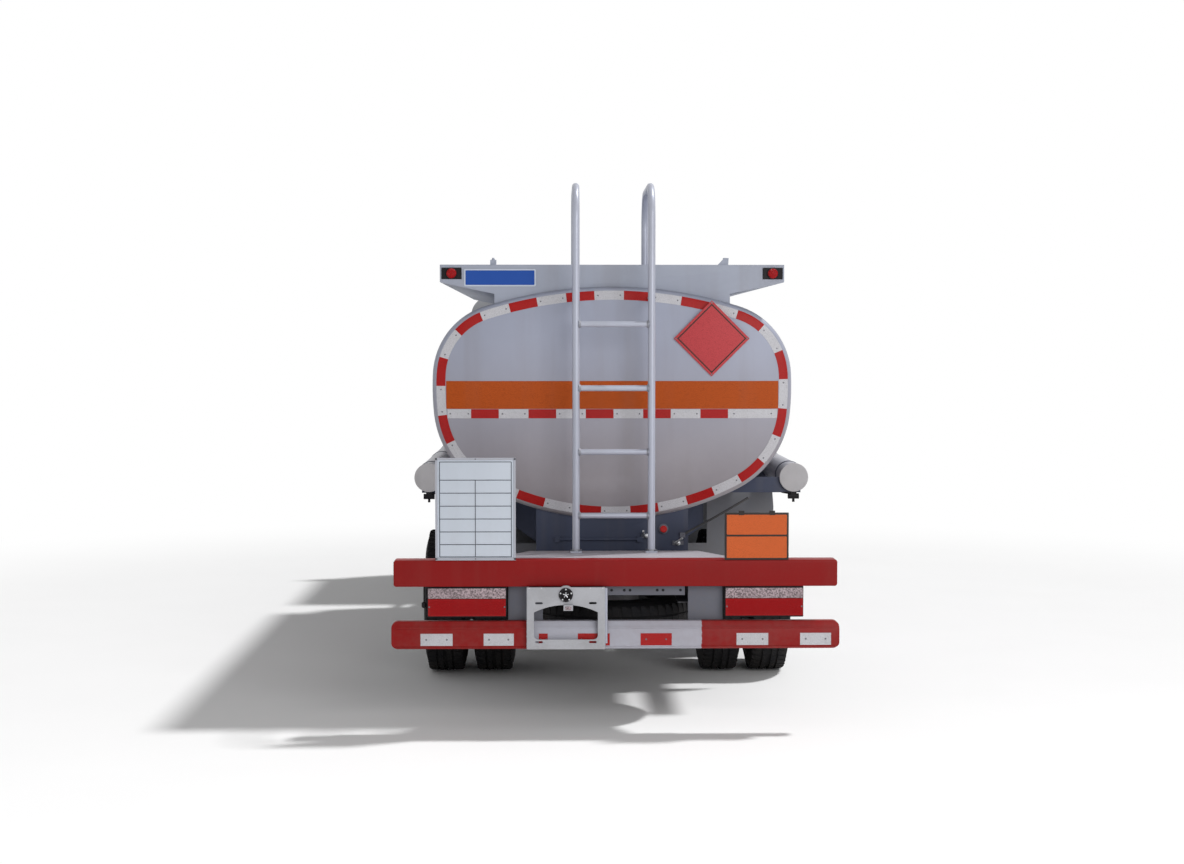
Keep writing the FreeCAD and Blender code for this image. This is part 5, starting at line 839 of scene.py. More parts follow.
class Skin:
    """A surface on which details are set."""

    def __init__(self, mesh: bpy.types.Mesh) -> None:
        """Keeps a search tree of the mesh."""
        corners = [vert.co.copy() for vert in mesh.vertices]
        self.tree = BVHTree.FromPolygons(corners, [tuple(face.vertices) for face in mesh.polygons])

    def hit(self, start: Sequence[float], run: Sequence[float]) -> tuple[Vector, Vector]:
        """The first point of the surface along a line.

        Args:
            start: where the line starts.
            run: its direction.

        Returns:
            The point and the surface's outward direction there.
        """
        run = Vector(run).normalized()
        point, normal, _, _ = self.tree.ray_cast(Vector(start), run)
        if point is None:
            point, normal, _, _ = self.tree.find_nearest(Vector(start))
        if normal.dot(run) > 0:
            normal = -normal
        return point, normal

    def patch(self, form: Form, grid: Sequence[Sequence[Spot]], run: Sequence[float], finish: Finish,
              thick: float = TAPE_THICK) -> None:
        """A thin closed sheet laid on the surface.

        Args:
            form: the form that takes it.
            grid: rows of start points, thrown onto the surface.
            run: the direction of the throw.
            finish: its finish.
            thick: how far it stands proud.
        """
        top, under = [], []
        for row in grid:
            hits = [self.hit(start, run) for start in row]
            top.append([point + normal * thick for point, normal in hits])
            under.append([point - normal * SHEET_SINK for point, normal in hits])
        rows = [high + low[::-1] for high, low in zip(top, under)]
        form.loft(rows, finish)


def dressed(node: str) -> Skin:
    """The surface of a solid's dressed copy."""
    return Skin(bpy.data.objects[node + "_form"].data)


# repeats made by geometry nodes


class Repeat(Graph):
    """A geometry tree with named inputs, applied to a mesh and then taken off."""

    def __init__(self, name: str) -> None:
        """Starts a tree that has a geometry and a material input.

        Args:
            name: the tree's name.
        """
        super().__init__(bpy.data.node_groups.new(name, "GeometryNodeTree"))
        self.keys: dict[str, str] = {}
        self.entry = self.tree.nodes.new("NodeGroupInput")
        self.ask("Geometry", "NodeSocketGeometry")
        self.ask("Finish", "NodeSocketMaterial")
        self.tree.interface.new_socket(name="Geometry", in_out="OUTPUT", socket_type="NodeSocketGeometry")

    def ask(self, name: str, kind: str) -> None:
        """Adds a named input to the tree."""
        socket = self.tree.interface.new_socket(name=name, in_out="INPUT", socket_type=kind)
        self.keys[name] = socket.identifier

    def given(self, name: str) -> Wire:
        """The wire of a named input."""
        return Wire(self.tree, self.entry.outputs[name])

    def copies(self, points: Wire, thing: Wire, **more: Wire) -> Wire:
        """Copies of a thing on points."""
        values = {"Points": points, "Instance": thing, **more}
        return self.node("GeometryNodeInstanceOnPoints", None, values)

    def finish(self, instances: Wire) -> None:
        """Makes the copies real, gives them their finish and ends the tree.

        Args:
            instances: the copies before they are real.
        """
        real = self.node("GeometryNodeRealizeInstances", None, {"Geometry": instances})
        values = {"Geometry": real, "Material": self.given("Finish")}
        self.end("NodeGroupOutput", self.node("GeometryNodeSetMaterial", None, values))

    def grow(self, seed: bpy.types.Mesh, finish: Finish, **values: Any) -> bpy.types.Mesh:
        """Runs the tree on a mesh.

        Args:
            seed: the mesh that is repeated or that carries the points.
            finish: the finish of the result.
            values: the named inputs, with _ for a blank.

        Returns:
            The plain result.
        """
        carrier = linked("repeat_carrier", seed)
        modifier = carrier.modifiers.new("repeat", "NODES")
        modifier.node_group = self.tree
        modifier[self.keys["Finish"]] = finish.material()
        for key, value in values.items():
            modifier[self.keys[key.replace("_", " ")]] = value
        view = bpy.context.evaluated_depsgraph_get()
        result = bpy.data.meshes.new_from_object(carrier.evaluated_get(view), depsgraph=view)
        carrier.modifiers.remove(modifier)
        bpy.data.objects.remove(carrier)
        smoothed(result)
        return result


class Rows(Repeat):
    """Copies in a straight line, and that line again in a second line."""

    def __init__(self) -> None:
        """Builds the tree."""
        super().__init__("straight_rows")
        for name in ("Count", "Lines"):
            self.ask(name, "NodeSocketInt")
        for name in ("Start", "Step", "Line Step"):
            self.ask(name, "NodeSocketVector")
        mode = {"mode": "OFFSET"}
        values = {"Count": self.given("Count"), "Start Location": self.given("Start"),
                  "Offset": self.given("Step")}
        spots = self.node("GeometryNodeMeshLine", mode, values)
        values = {"Count": self.given("Lines"), "Offset": self.given("Line Step")}
        lines = self.node("GeometryNodeMeshLine", mode, values)
        self.finish(self.copies(lines, self.copies(spots, self.given("Geometry"))))


class Turns(Repeat):
    """Copies turned round an axis through a point."""

    def __init__(self) -> None:
        """Builds the tree."""
        super().__init__("turned_ring")
        self.ask("Count", "NodeSocketInt")
        self.ask("Centre", "NodeSocketVector")
        self.ask("Axis", "NodeSocketVector")
        values = {"Count": self.given("Count"), "Position": self.given("Centre")}
        spots = self.node("GeometryNodePoints", None, values)
        number = self.node("GeometryNodeInputIndex")
        share = self.node("ShaderNodeMath", {"operation": "DIVIDE"}, {0: number, 1: self.given("Count")})
        angles = self.node("ShaderNodeVectorMath", {"operation": "SCALE"},
                           {0: self.given("Axis"), "Scale": share * ROUND})
        turn = self.node("FunctionNodeEulerToRotation", None, {0: angles})
        self.finish(self.copies(spots, self.given("Geometry"), Rotation=turn))


class Heads(Repeat):
    """Rivet, screw and nut heads on points that carry the way they face."""

    def __init__(self) -> None:
        """Builds the tree."""
        super().__init__("fastener_heads")
        self.ask("Sides", "NodeSocketInt")
        for name in ("Radius", "Crown", "Height"):
            self.ask(name, "NodeSocketFloat")
        kind = {"data_type": "FLOAT_VECTOR"}
        facing = self.node("GeometryNodeInputNamedAttribute", kind, {"Name": "facing"})
        turn = self.node("FunctionNodeAlignRotationToVector", {"axis": "Z"}, {"Vector": facing})
        cone = {"Vertices": self.given("Sides"), "Radius Top": self.given("Crown"),
                "Radius Bottom": self.given("Radius"), "Depth": self.given("Height")}
        head = self.node("GeometryNodeMeshCone", None, cone, "Mesh")
        spots = self.node("GeometryNodeMeshToPoints", None, {"Mesh": self.given("Geometry")})
        self.finish(self.copies(spots, head, Rotation=turn))


@dataclass
class Fasteners:
    """Heads of one kind on one body, gathered point by point."""

    radius: float
    height: float
    finish: Finish = RIVET
    sides: int = 10
    crown: float = 0.6
    spots: list[tuple[Vector, Vector]] = field(default_factory=list)

    def add(self, point: Sequence[float], facing: Sequence[float]) -> None:
        """Adds one head, set a little into what carries it."""
        facing = Vector(facing).normalized()
        self.spots.append((Vector(point) - facing * HEAD_SINK, facing))

    def pin(self, skin: Skin, start: Sequence[float], run: Sequence[float],
            lift: float = TAPE_THICK) -> None:
        """Adds one head on the sheet that lies where a line meets a surface.

        Args:
            skin: the surface.
            start: where the line starts.
            run: its direction.
            lift: the sheet's thickness.
        """
        point, normal = skin.hit(start, run)
        self.add(point + normal * lift, normal)

    def piece(self, name: str, body: str, slot: str) -> bpy.types.Object:
        """Makes all the heads as one piece.

        Args:
            name: the piece's name.
            body: the body that it rides on.
            slot: not used.

        Returns:
            The piece.
        """
        seed = bpy.data.meshes.new(name + "_seed")
        seed.from_pydata([spot for spot, _ in self.spots], [], [])
        facing = seed.attributes.new("facing", "FLOAT_VECTOR", "POINT")
        for n, (_, way) in enumerate(self.spots):
            facing.data[n].vector = way
        mesh = HEADS.grow(seed, self.finish, Sides=self.sides, Radius=self.radius,
                          Crown=self.radius * self.crown, Height=self.height)
        return shown(mesh, name, body)


ROWS = Rows()
TURNS = Turns()
HEADS = Heads()


def arc(centre: Span, radius: float, start: float, end: float, steps: int) -> list[Span]:
    """Points of an arc between two angles in degrees."""
    angles = [math.radians(angle) for angle in spaced(start, end, steps)]
    return [(centre[0] + radius * math.cos(a), centre[1] + radius * math.sin(a)) for a in angles]


def rounded(low: Span, high: Span, corner: float, steps: int = 5) -> list[Span]:
    """A rectangle's outline with round corners.

    Args:
        low: its lowest corner.
        high: its highest corner.
        corner: the corners' radius.
        steps: the faces of each corner.

    Returns:
        Its points.
    """
    (x0, z0), (x1, z1) = low, high
    turns = (((x1 - corner, z1 - corner), 0), ((x0 + corner, z1 - corner), 90),
             ((x0 + corner, z0 + corner), 180), ((x1 - corner, z0 + corner), 270))
    return [point for centre, start in turns for point in arc(centre, corner, start, start + 90, steps)]


# the solids that keep their shape


@dataclass
class Shaped:
    """Solids whose shape is right, shown as smooth copies with rounded edges."""

    parts: dict[str, tuple[Finish, float]] = field(default_factory=lambda: {
        "chassis_frame": (FRAME, 0.002),
        "rear_beam": (BEAM, 0.007),
        "rear_deck": (DECK, 0.002),
        "rear_bumper": (BUMPER, 0.006),
        "tail_brackets": (BRACKET, 0.002),
        "rear_lamps": (LAMP_BLACK, 0.004),
        "plate_bracket": (PLATE, 0.0012),
        "tank_saddles": (SUBFRAME, 0.002),
        "top_walkway": (WALK, 0.0016),
        "hazard_plate": (DIAMOND, 0.0005),
        "safety_board": (SIGN_WHITE, 0.0015),
        "orange_panel": (SIGN_BLACK, 0.0015),
        "manhole_neck": (SILVER_TRIM, 0.002),
        "manhole_lid": (SILVER_TRIM, 0.003),
        "front_rim_left": (RIM, 0.002),
        "front_rim_right": (RIM, 0.002),
        "rear_rims_left": (RIM, 0.002),
        "rear_rims_right": (RIM, 0.002),
        "spare_rim": (RIM, 0.002),
        "leaf_springs": (AXLE, 0.002),
        "front_axle": (AXLE, 0.004),
        "knuckle_left": (AXLE, 0.002),
        "knuckle_right": (AXLE, 0.002),
        "tie_rod": (AXLE, 0.002),
        "rear_axle": (AXLE, 0.003),
        "engine": (IRON, 0.006),
        "fuel_tank": (FUEL, 0.004),
        "battery_box": (BLACK_PLASTIC, 0.006),
        "silencer": (EXHAUST, 0.004),
        "side_guards": (ALLOY, 0.004),
        "discharge_cabinet": (SILVER_TRIM, 0.003),
        "cabinet_door": (SILVER_TRIM, 0.003),
        "discharge_pipe": (BRASS, 0.002),
        "mudguards": (MUD, 0.002),
        "cab_shell": (CAB, 0.006),
        "cab_glass": (WINDOW, 0.001),
        "door_left": (CAB, 0.004),
        "door_right": (CAB, 0.004),
        "door_glass_left": (WINDOW, 0.001),
        "door_glass_right": (WINDOW, 0.001),
        "grille": (BLACK_PLASTIC, 0.002),
        "seats": (SEAT, 0.02),
        "dashboard": (DASH, 0.006),
        "mirrors": (BLACK_PLASTIC, 0.005),
        "front_bumper": (NOSE, 0.006),
        "headlamps": (HEADLAMP, 0.003),
    })

    def build(self) -> None:
        """Makes each copy with its finish."""
        for name, (finish, ease) in self.parts.items():
            work = merged(name)
            eased(work, ease, 40.0)
            mesh = bpy.data.meshes.new(name + "_form")
            work.to_mesh(mesh)
            work.free()
            mesh.materials.clear()
            mesh.materials.append(finish.material())
            mesh.polygons.foreach_set("material_index", [0] * len(mesh.polygons))
            smoothed(mesh)
            shown(mesh, name + "_form", rider(name), [name])


# the tank


@dataclass
class Tank:
    """The rolled shell with dished ends, weld seams, orange band and reflecting tape."""

    rear: float = -2.86
    front: float = 1.38
    crown_end: float = 0.33
    crown_rate: float = 0.387
    knuckle: tuple[Span, ...] = (
        (0.0281, 0.0353), (0.0190, 0.0391), (0.0105, 0.0455), (0.0051, 0.0530), (0.0018, 0.0620),
        (0.0, 0.0720),
    )
    dish: float = 0.072
    points: int = 192
    spans: int = 12
    seams_at: tuple[float, ...] = (-1.80, -0.74, 0.32)
    seam_half: float = 0.006
    seam_rise: float = 0.0022
    band: Span = (1.640, 1.7905)
    band_thick: float = 0.0011
    row: Span = (1.589, 1.638)
    row_thick: float = 0.0010
    side_count: int = 26
    tape_inset: float = 0.046
    tape_half: float = 0.0245
    period: float = 0.305
    red_share: float = 0.49
    first_red: float = 0.105
    row_first: float = -0.69
    row_pitch: float = 0.31
    row_red: float = 0.15
    rivet_shares: Span = (0.12, 0.88)
    throws: tuple[tuple[float, Spot], ...] = ((BEHIND, TO_FRONT), (3.0, TO_REAR))

    def __post_init__(self) -> None:
        """Reads the shell's section and its middle from the solid."""
        low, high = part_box("tank_shell")
        self.middle = (low.z + high.z) / 2
        self.outline = self.section()
        self.skin: Optional[Skin] = None

    def section(self) -> list[Vector]:
        """Even points of the barrel's outline in x and z, from the top, turning to the right.

        Returns:
            The points.
        """
        verts = frame["nodes"]["tank_shell"].data.vertices
        flat = {(round(v.co.x, 5), round(v.co.z, 5)) for v in verts if abs(v.co.y - self.rear) < 1e-4}
        turned = sorted(flat, key=lambda p: math.atan2(p[0], p[1] - self.middle) % ROUND)
        ring = [Vector((x, z)) for x, z in turned]
        return evened(ring, self.points)

    def inset(self, depth: float) -> list[Vector]:
        """The outline moved inwards.

        Args:
            depth: how far.

        Returns:
            Its points in x and z.
        """
        count = len(self.outline)
        made = []
        for n, point in enumerate(self.outline):
            run = (self.outline[(n + 1) % count] - self.outline[n - 1]).normalized()
            made.append(point + Vector((-run.y, run.x)) * -depth)
        return made

    def hoop(self, y: float, depth: float = 0.0) -> list[Vector]:
        """The outline at a place along the tank, moved inwards."""
        return [Vector((p.x, y, p.y)) for p in self.inset(depth)]

    def levels(self) -> list[Span]:
        """Pairs of inset and depth behind the crown, from the middle outwards.

        Returns:
            The pairs.
        """
        steps = [self.crown_end * (1 - n / 8) for n in range(8)]
        crown = [(inset, self.crown_rate * (self.crown_end - inset) ** 2) for inset in steps if inset > 0.032]
        return crown + list(self.knuckle)

    def build(self) -> None:
        """Builds the shell and all that lies on it."""
        form = Form()
        rows = [self.hoop(self.rear - self.dish + depth, inset) for inset, depth in self.levels()]
        rows += [self.hoop(y) for y in spaced(self.rear, self.front, self.spans)[1:-1]]
        rows += [self.hoop(self.front + self.dish - depth, inset) for inset, depth in self.levels()[::-1]]
        form.loft(rows, SILVER)
        piece = form.piece("tank_body", "chassis", "tank_skin", ["tank_shell"], 60.0)
        self.skin = Skin(piece.data)
        self.seams()
        self.head_band()
        self.side_band()
        self.head_tape()

    def seams(self) -> None:
        """Weld beads round the barrel."""
        form = Form()
        half = self.seam_half
        for y in (self.rear + 0.004, *self.seams_at, self.front - 0.004):
            rows = [self.hoop(y - half, 0.0015)]
            for angle in spaced(0.0, math.pi, 6):
                rows.append(self.hoop(y - half * math.cos(angle), 0.0004 - self.seam_rise * math.sin(angle)))
            rows.append(self.hoop(y + half, 0.0015))
            form.loft(rows + [rows[0]], WELD, True, False)
        bmesh.ops.remove_doubles(form.work, verts=form.work.verts, dist=1e-6)
        form.piece("tank_seams", "chassis", "tank_skin")

    def half_width(self, z: float) -> float:
        """The barrel's half width at a height."""
        return min((p for p in self.outline if p.x > 0), key=lambda p: abs(p.y - z)).x

    def flat_half(self, z: float) -> float:
        """The half width of a head inside its rim tape at a height."""
        return self.half_width(z) - self.tape_inset - self.tape_half - 0.004

    def head_band(self) -> None:
        """The orange band across the rear and front heads."""
        form = Form()
        end = self.flat_half(sum(self.band) / 2)
        for y, run in self.throws:
            grid = lattice(spaced(-end, end, 40), [y], spaced(*self.band, 4))
            self.skin.patch(form, grid, run, BAND, self.band_thick)
        form.piece("band_on_heads", "chassis", "tank_skin")

    def side_band(self) -> None:
        """The orange band and a row of tape along both sides."""
        form, tape = Form(), Form()
        rivets = Fasteners(0.0035, 0.0016)
        low, high = self.rear + 0.02, self.front - 0.02
        for side in Side:
            start, run = side.value * BESIDE, side.inward
            grid = lattice([start], spaced(low, high, 30), spaced(*self.band, 6))
            self.skin.patch(form, grid, run, BAND, self.band_thick)
            edges = spaced(low, high, self.side_count)
            for n, (back, ahead) in enumerate(zip(edges, edges[1:])):
                strip = lattice([start], spaced(back, ahead, 2), spaced(*self.row, 3))
                self.skin.patch(tape, strip, run, TAPE_RED if n % 2 else TAPE_PALE, self.row_thick)
                middle = (start, (back + ahead) / 2, sum(self.row) / 2)
                rivets.pin(self.skin, middle, run, self.row_thick)
        form.piece("band_on_sides", "chassis", "tank_skin")
        tape.piece("tape_on_sides", "chassis", "tank_skin")
        rivets.piece("tape_rivets_sides", "chassis", "tank_skin")

    def head_tape(self) -> None:
        """Red and pale tape round each head and in a row under the band."""
        form = Form()
        rivets = Fasteners(0.0050, 0.0020)
        for y, run in self.throws:
            self.rim_tape(form, rivets, y, run)
            self.row_tape(form, rivets, y, run)
        form.piece("tape_on_heads", "chassis", "tank_skin")
        rivets.piece("tape_rivets_heads", "chassis", "tank_skin")

    def rim_tape(self, form: Form, rivets: Fasteners, y: float, run: Spot) -> None:
        """Tape that follows the rim of one head.

        Args:
            form: the form that takes the tape.
            rivets: the heads that hold its pale fields.
            y: where the throws start.
            run: their direction.
        """
        line = self.inset(self.tape_inset)
        rings = [self.inset(self.tape_inset + self.tape_half * k / 4) for k in range(4, -5, -1)]
        lengths = measured(line)
        total = lengths[-1]
        count = round(total / self.period)
        period = total / count
        red = self.red_share * period
        for n in range(2 * count):
            pale = n % 2
            wide = period - red if pale else red
            start = self.first_red - red / 2 + (n // 2) * period + pale * red
            grid = []
            for step in spaced(0.0, wide, 5):
                ends = [along(ring, lengths, (start + step) % total) for ring in rings]
                grid.append([(p.x, y, p.y) for p in ends])
            self.skin.patch(form, grid, run, TAPE_PALE if pale else TAPE_RED)
            for share in self.rivet_shares if pale else ():
                p = along(line, lengths, (start + wide * share) % total)
                rivets.pin(self.skin, (p.x, y, p.y), run)

    def row_tape(self, form: Form, rivets: Fasteners, y: float, run: Spot) -> None:
        """The straight row of tape under the band.

        Args:
            form: the form that takes the tape.
            rivets: the heads that hold its pale fields.
            y: where the throws start.
            run: their direction.
        """
        end = self.flat_half(sum(self.row) / 2)
        reds = [self.row_first + self.row_pitch * n for n in range(5)]
        edges = [-end] + [x + turn * self.row_red / 2 for x in reds for turn in (-1, 1)] + [end]
        for n, (start, stop) in enumerate(zip(edges, edges[1:])):
            grid = lattice(spaced(start, stop, 6), [y], spaced(*self.row, 2))
            self.skin.patch(form, grid, run, TAPE_RED if n % 2 else TAPE_PALE)
            for share in () if n % 2 else self.rivet_shares:
                rivets.pin(self.skin, (start + (stop - start) * share, y, sum(self.row) / 2), run)


def measured(ring: Sequence[Vector]) -> list[float]:
    """The distance to each point of a closed line, and its whole length last.

    Args:
        ring: the line's points.

    Returns:
        The distances.
    """
    lengths = [0.0]
    for n, point in enumerate(ring):
        lengths.append(lengths[-1] + (ring[(n + 1) % len(ring)] - point).length)
    return lengths


def evened(ring: Sequence[Vector], count: int) -> list[Vector]:
    """Points at even spacing round a closed line."""
    lengths = measured(ring)
    return [along(ring, lengths, lengths[-1] * n / count) for n in range(count)]


def along(ring: Sequence[Vector], lengths: Sequence[float], place: float) -> Vector:
    """The point of a closed line at a distance along it.

    Args:
        ring: the line's points.
        lengths: the distance to each point, and the whole length last.
        place: the distance.

    Returns:
        The point.
    """
    low, high = 0, len(lengths) - 1
    while high - low > 1:
        mid = (low + high) // 2
        if lengths[mid] <= place:
            low = mid
        else:
            high = mid
    span = lengths[low + 1] - lengths[low]
    share = (place - lengths[low]) / span if span > 0 else 0.0
    return ring[low].lerp(ring[(low + 1) % len(ring)], share)


@dataclass
class Ladder:
    """The rear ladder with hooped rails that land on the walkway."""

    half: float = 0.2
    rear: float = -3.15
    front: float = -2.33
    foot: float = 0.886
    landing: float = 2.42
    top: float = 2.833
    bend: float = 0.19
    rail: float = 0.0195
    rung: float = 0.0155
    rungs: tuple[float, ...] = (1.081, 1.419, 1.757, 2.095)
    stay: float = 2.238
    stay_end: float = -2.859
    foot_half: float = 0.030
    foot_thick: float = 0.008
    bolt_half: float = 0.022

    def build(self) -> None:
        """Builds the rails, feet, stays, rungs and bolts."""
        form = Form()
        heads = Fasteners(0.009, 0.006, BRACKET, 6, 1.0)
        for side in Side:
            x = side.value * self.half
            bend, high = self.bend, self.top - self.bend
            path = [(x, self.rear, self.foot + 0.004), (x, self.rear, high)]
            path += [(x, y, z) for y, z in arc((self.rear + bend, high), bend, 180, 90, 14)]
            path += [(x, y, z) for y, z in arc((self.front - bend, high), bend, 90, 0, 14)]
            path.append((x, self.front, self.landing + 0.002))
            form.tube(path, self.rail, LADDER, 24)
            for y, z in ((self.rear, self.foot), (self.front, self.landing)):
                half, top = self.foot_half, z + self.foot_thick
                form.block((x - half, y - half, z), (x + half, y + half, top), LADDER, 0.0015)
                form.lathe([(0.008, 0.0265), (0.012, 0.0240), (0.018, 0.0210)], (x, y, z), Way.Z, WELD, 24)
                for dx, dy in ((-1, -1), (1, 1), (-1, 1), (1, -1)):
                    heads.add((x + dx * self.bolt_half, y + dy * self.bolt_half, top), UP)
            form.tube([(x, self.rear + 0.01, self.stay), (x, self.stay_end, self.stay)], 0.010, LADDER, 14)
        for z in self.rungs:
            form.tube([(-self.half, self.rear, z), (self.half, self.rear, z)], self.rung, LADDER, 20)
            for side in Side:
                collar = [(0.016, 0.0230), (0.021, 0.0205), (0.026, 0.0170)]
                profile = [(side.value * -offset, radius) for offset, radius in collar]
                form.lathe(profile, (side.value * self.half, self.rear, z), Way.X, WELD, 20)
        form.piece("ladder_form", "chassis", "ladder_steel", ["ladder"])
        heads.piece("ladder_bolts", "chassis", "ladder_steel")


@dataclass
class HoseTubes:
    """The two hose tubes along the tank, each with a pale rear cap, straps and a hanging latch."""

    offset: float = 1.005
    height: float = 1.256
    radius: float = 0.075
    rear: float = -2.762
    front: float = 1.250
    straps: tuple[float, ...] = (-2.55, -1.57, -0.59, 0.39, 1.10)
    strap_wide: float = 0.030

    def build(self) -> None:
        """Builds both tubes."""
        form = Form()
        bolts = Fasteners(0.007, 0.005, RIVET, 6, 1.0)
        for side in Side:
            x = side.value * self.offset
            r = self.radius
            ends = [(self.rear, r - 0.010), (self.rear, r + 0.001), (self.rear + 0.003, r + 0.004)]
            ends += [(self.rear + 0.036, r + 0.004), (self.rear + 0.040, r)]
            back = [(self.front - (y - self.rear), radius) for y, radius in reversed(ends)]
            form.lathe(ends + back, (x, 0, self.height), Way.Y, SILVER_TRIM, 48)
            cap = [(0.002, r + 0.0045), (-0.001, r + 0.0045), (-0.0035, r + 0.002), (-0.0035, 0.012)]
            form.lathe([(self.rear + y, radius) for y, radius in cap], (x, 0, self.height), Way.Y, CAP, 48)
            for y in self.straps:
                far = y + self.strap_wide
                form.lathe([(y, r - 0.001), (y, r + 0.0025), (far, r + 0.0025), (far, r - 0.001)],
                           (x, 0, self.height), Way.Y, SUBFRAME, 40)
                bolts.add((x + side.value * (r + 0.0025), y + 0.015, self.height), (side.value, 0, 0))
            self.coupling(form, x, side)
        form.piece("hose_tubes_form", "chassis", "tube_skin", ["hose_tubes"])
        bolts.piece("hose_tube_bolts", "chassis", "tube_skin")

    def coupling(self, form: Form, x: float, side: Side) -> None:
        """The black latch and lug that hang under the rear cap, and the bar that runs inwards from them.

        Args:
            form: the form that takes them.
            x: the tube's place.
            side: the tube's side.
        """
        y = self.rear + 0.018
        low = self.height - self.radius
        form.block((x - 0.016, y - 0.014, low - 0.040), (x + 0.016, y + 0.014, low + 0.004), LAMP_BLACK,
                   0.003)
        form.lathe([(-0.030, 0.010), (-0.030, 0.015), (0.030, 0.015), (0.030, 0.010)], (x, y, low - 0.030),
                   Way.X, LAMP_BLACK, 18)
        form.block((x - 0.006, y - 0.009, low - 0.062), (x + 0.006, y + 0.009, low - 0.036), LAMP_BLACK,
                   0.002)
        inner = x - side.value * 0.130
        bend = (x - side.value * 0.060, y + 0.010, low - 0.008)
        form.tube([(x, y, low - 0.018), bend, (inner, y + 0.030, low + 0.022)], 0.006, LAMP_BLACK, 10)


@dataclass
class Rear:
    """Tape patches, lamp lenses, boards and plates at the tail."""

    patch_high: Span = (0.447, 0.509)
    pale: tuple[Span, ...] = ((-1.0, -0.836), (-0.677, -0.523), (0.620, 0.783), (0.947, 1.106))
    reds: tuple[Span, ...] = ((-0.395, -0.349), (-0.195, -0.087), (-0.052, -0.031), (0.127, 0.287))
    beads: Span = (0.434, 0.533)
    bead_half: float = 1.128
    bead_high: float = 0.008
    lamp: Span = (0.564, 0.961)
    lamp_back: float = -3.505
    red_lens: Span = (0.599, 0.6865)
    clear_lens: Span = (0.689, 0.7410)
    rib: Spot = (0.0008, 0.0012, 0.072)
    rib_pitch: float = 0.008
    rib_count: int = 47
    end_face: float = -2.8600
    marker: Span = (0.872, 2.3725)
    blue_low: Span = (-0.803, 2.303)
    blue_high: Span = (-0.415, 2.396)
    socket: Span = (-0.256, 0.712)
    button: Spot = (0.280, -2.860, 0.982)
    member_face: float = -3.4650

    def build(self) -> None:
        """Builds every detail of the tail."""
        self.bumper_tape()
        self.lamp_lenses()
        self.marker_lamps()
        self.board_lines()
        self.orange_fields()
        self.diamond_border()
        self.blue_plate()
        self.plate_socket()
        self.deck_fittings()

    def bumper_tape(self) -> None:
        """Tape patches on the bumper, two rivets in each wide one, and two long beads."""
        skin = dressed("rear_bumper")
        form = Form()
        rivets = Fasteners(0.0055, 0.0024)
        for finish, group in ((TAPE_PALE, self.pale), (TAPE_RED, self.reds)):
            for start, stop in group:
                grid = lattice(spaced(start, stop, 4), [BEHIND], spaced(*self.patch_high, 4))
                skin.patch(form, grid, TO_FRONT, finish)
                for share in (0.18, 0.82) if stop - start > 0.04 else ():
                    spot = (start + (stop - start) * share, BEHIND, sum(self.patch_high) / 2)
                    rivets.pin(skin, spot, TO_FRONT)
        form.piece("bumper_tape", "chassis", "bumper_paint")
        beads = Form()
        for z in self.beads:
            zs = spaced(z, z + self.bead_high, 4)
            grid = lattice(spaced(-self.bead_half, self.bead_half, 60), [BEHIND], zs)
            skin.patch(beads, grid, TO_FRONT, BUMPER, 0.0030)
        beads.piece("bumper_beads", "chassis", "bumper_paint")
        rivets.piece("bumper_rivets", "chassis", "bumper_paint")

    def lamp_lenses(self) -> None:
        """The clear strip over the red lens in each tail lamp, with fine upright ribs."""
        form = Form()
        screws = Fasteners(0.005, 0.002, RIVET, 12, 0.7)
        for side in Side:
            x0, x1 = side.span(*self.lamp)
            form.block((x0, -3.5185, self.red_lens[0]), (x1, self.lamp_back, self.red_lens[1]), LENS_RED,
                       0.004)
            form.block((x0, -3.5160, self.clear_lens[0]), (x1, self.lamp_back, self.clear_lens[1]),
                       LENS_CLEAR, 0.003)
            for x in spaced(x0 + 0.012, x1 - 0.012, 3):
                form.block((x - 0.0012, -3.5190, 0.606), (x + 0.0012, -3.517, 0.680), LENS_RED)
                form.block((x - 0.0012, -3.5165, 0.694), (x + 0.0012, -3.515, 0.736), LENS_CLEAR)
            for x in (x0 + 0.006, x1 - 0.006):
                screws.add((x, -3.5185, 0.646), TO_REAR)
        form.piece("lamp_lenses", "chassis", "lamp_plastic")
        screws.piece("lamp_screws", "chassis", "lamp_plastic")
        rib = Form()
        rib.block((-self.rib[0], -self.rib[1], 0.0), self.rib, LENS_RED)
        seed = rib.mesh("lens_rib")
        for side in Side:
            first = side.span(*self.lamp)[0] + 0.014
            mesh = ROWS.grow(seed.copy(), LENS_RED, Count=self.rib_count, Lines=1,
                             Start=(first, -3.5184, 0.607),
                             Step=(self.rib_pitch, 0.0, 0.0), Line_Step=(0.0, 0.0, 0.0))
            shown(mesh, "lens_ribs_" + side.word, "chassis")

    def marker_lamps(self) -> None:
        """Domed red lenses in black bezels at the walkway's rear corners."""
        form = Form()
        for side in Side:
            spot = (side.value * self.marker[0], self.end_face, self.marker[1])
            form.block((spot[0] - 0.052, -2.862, 2.342), (spot[0] + 0.052, -2.8585, 2.403), LAMP_BLACK,
                       0.001)
            form.lathe([(-0.002, 0.030), (-0.010, 0.030), (-0.012, 0.029), (-0.012, 0.024)], spot, Way.Y,
                       LAMP_BLACK, 32)
            dome = [(-0.011 - 0.014 * math.sin(math.radians(a)), 0.0275 * math.cos(math.radians(a)))
                    for a in (0, 20, 40, 60, 78)]
            form.lathe(dome, spot, Way.Y, LENS_RED, 32)
        form.piece("marker_lenses", "chassis", "lamp_plastic")

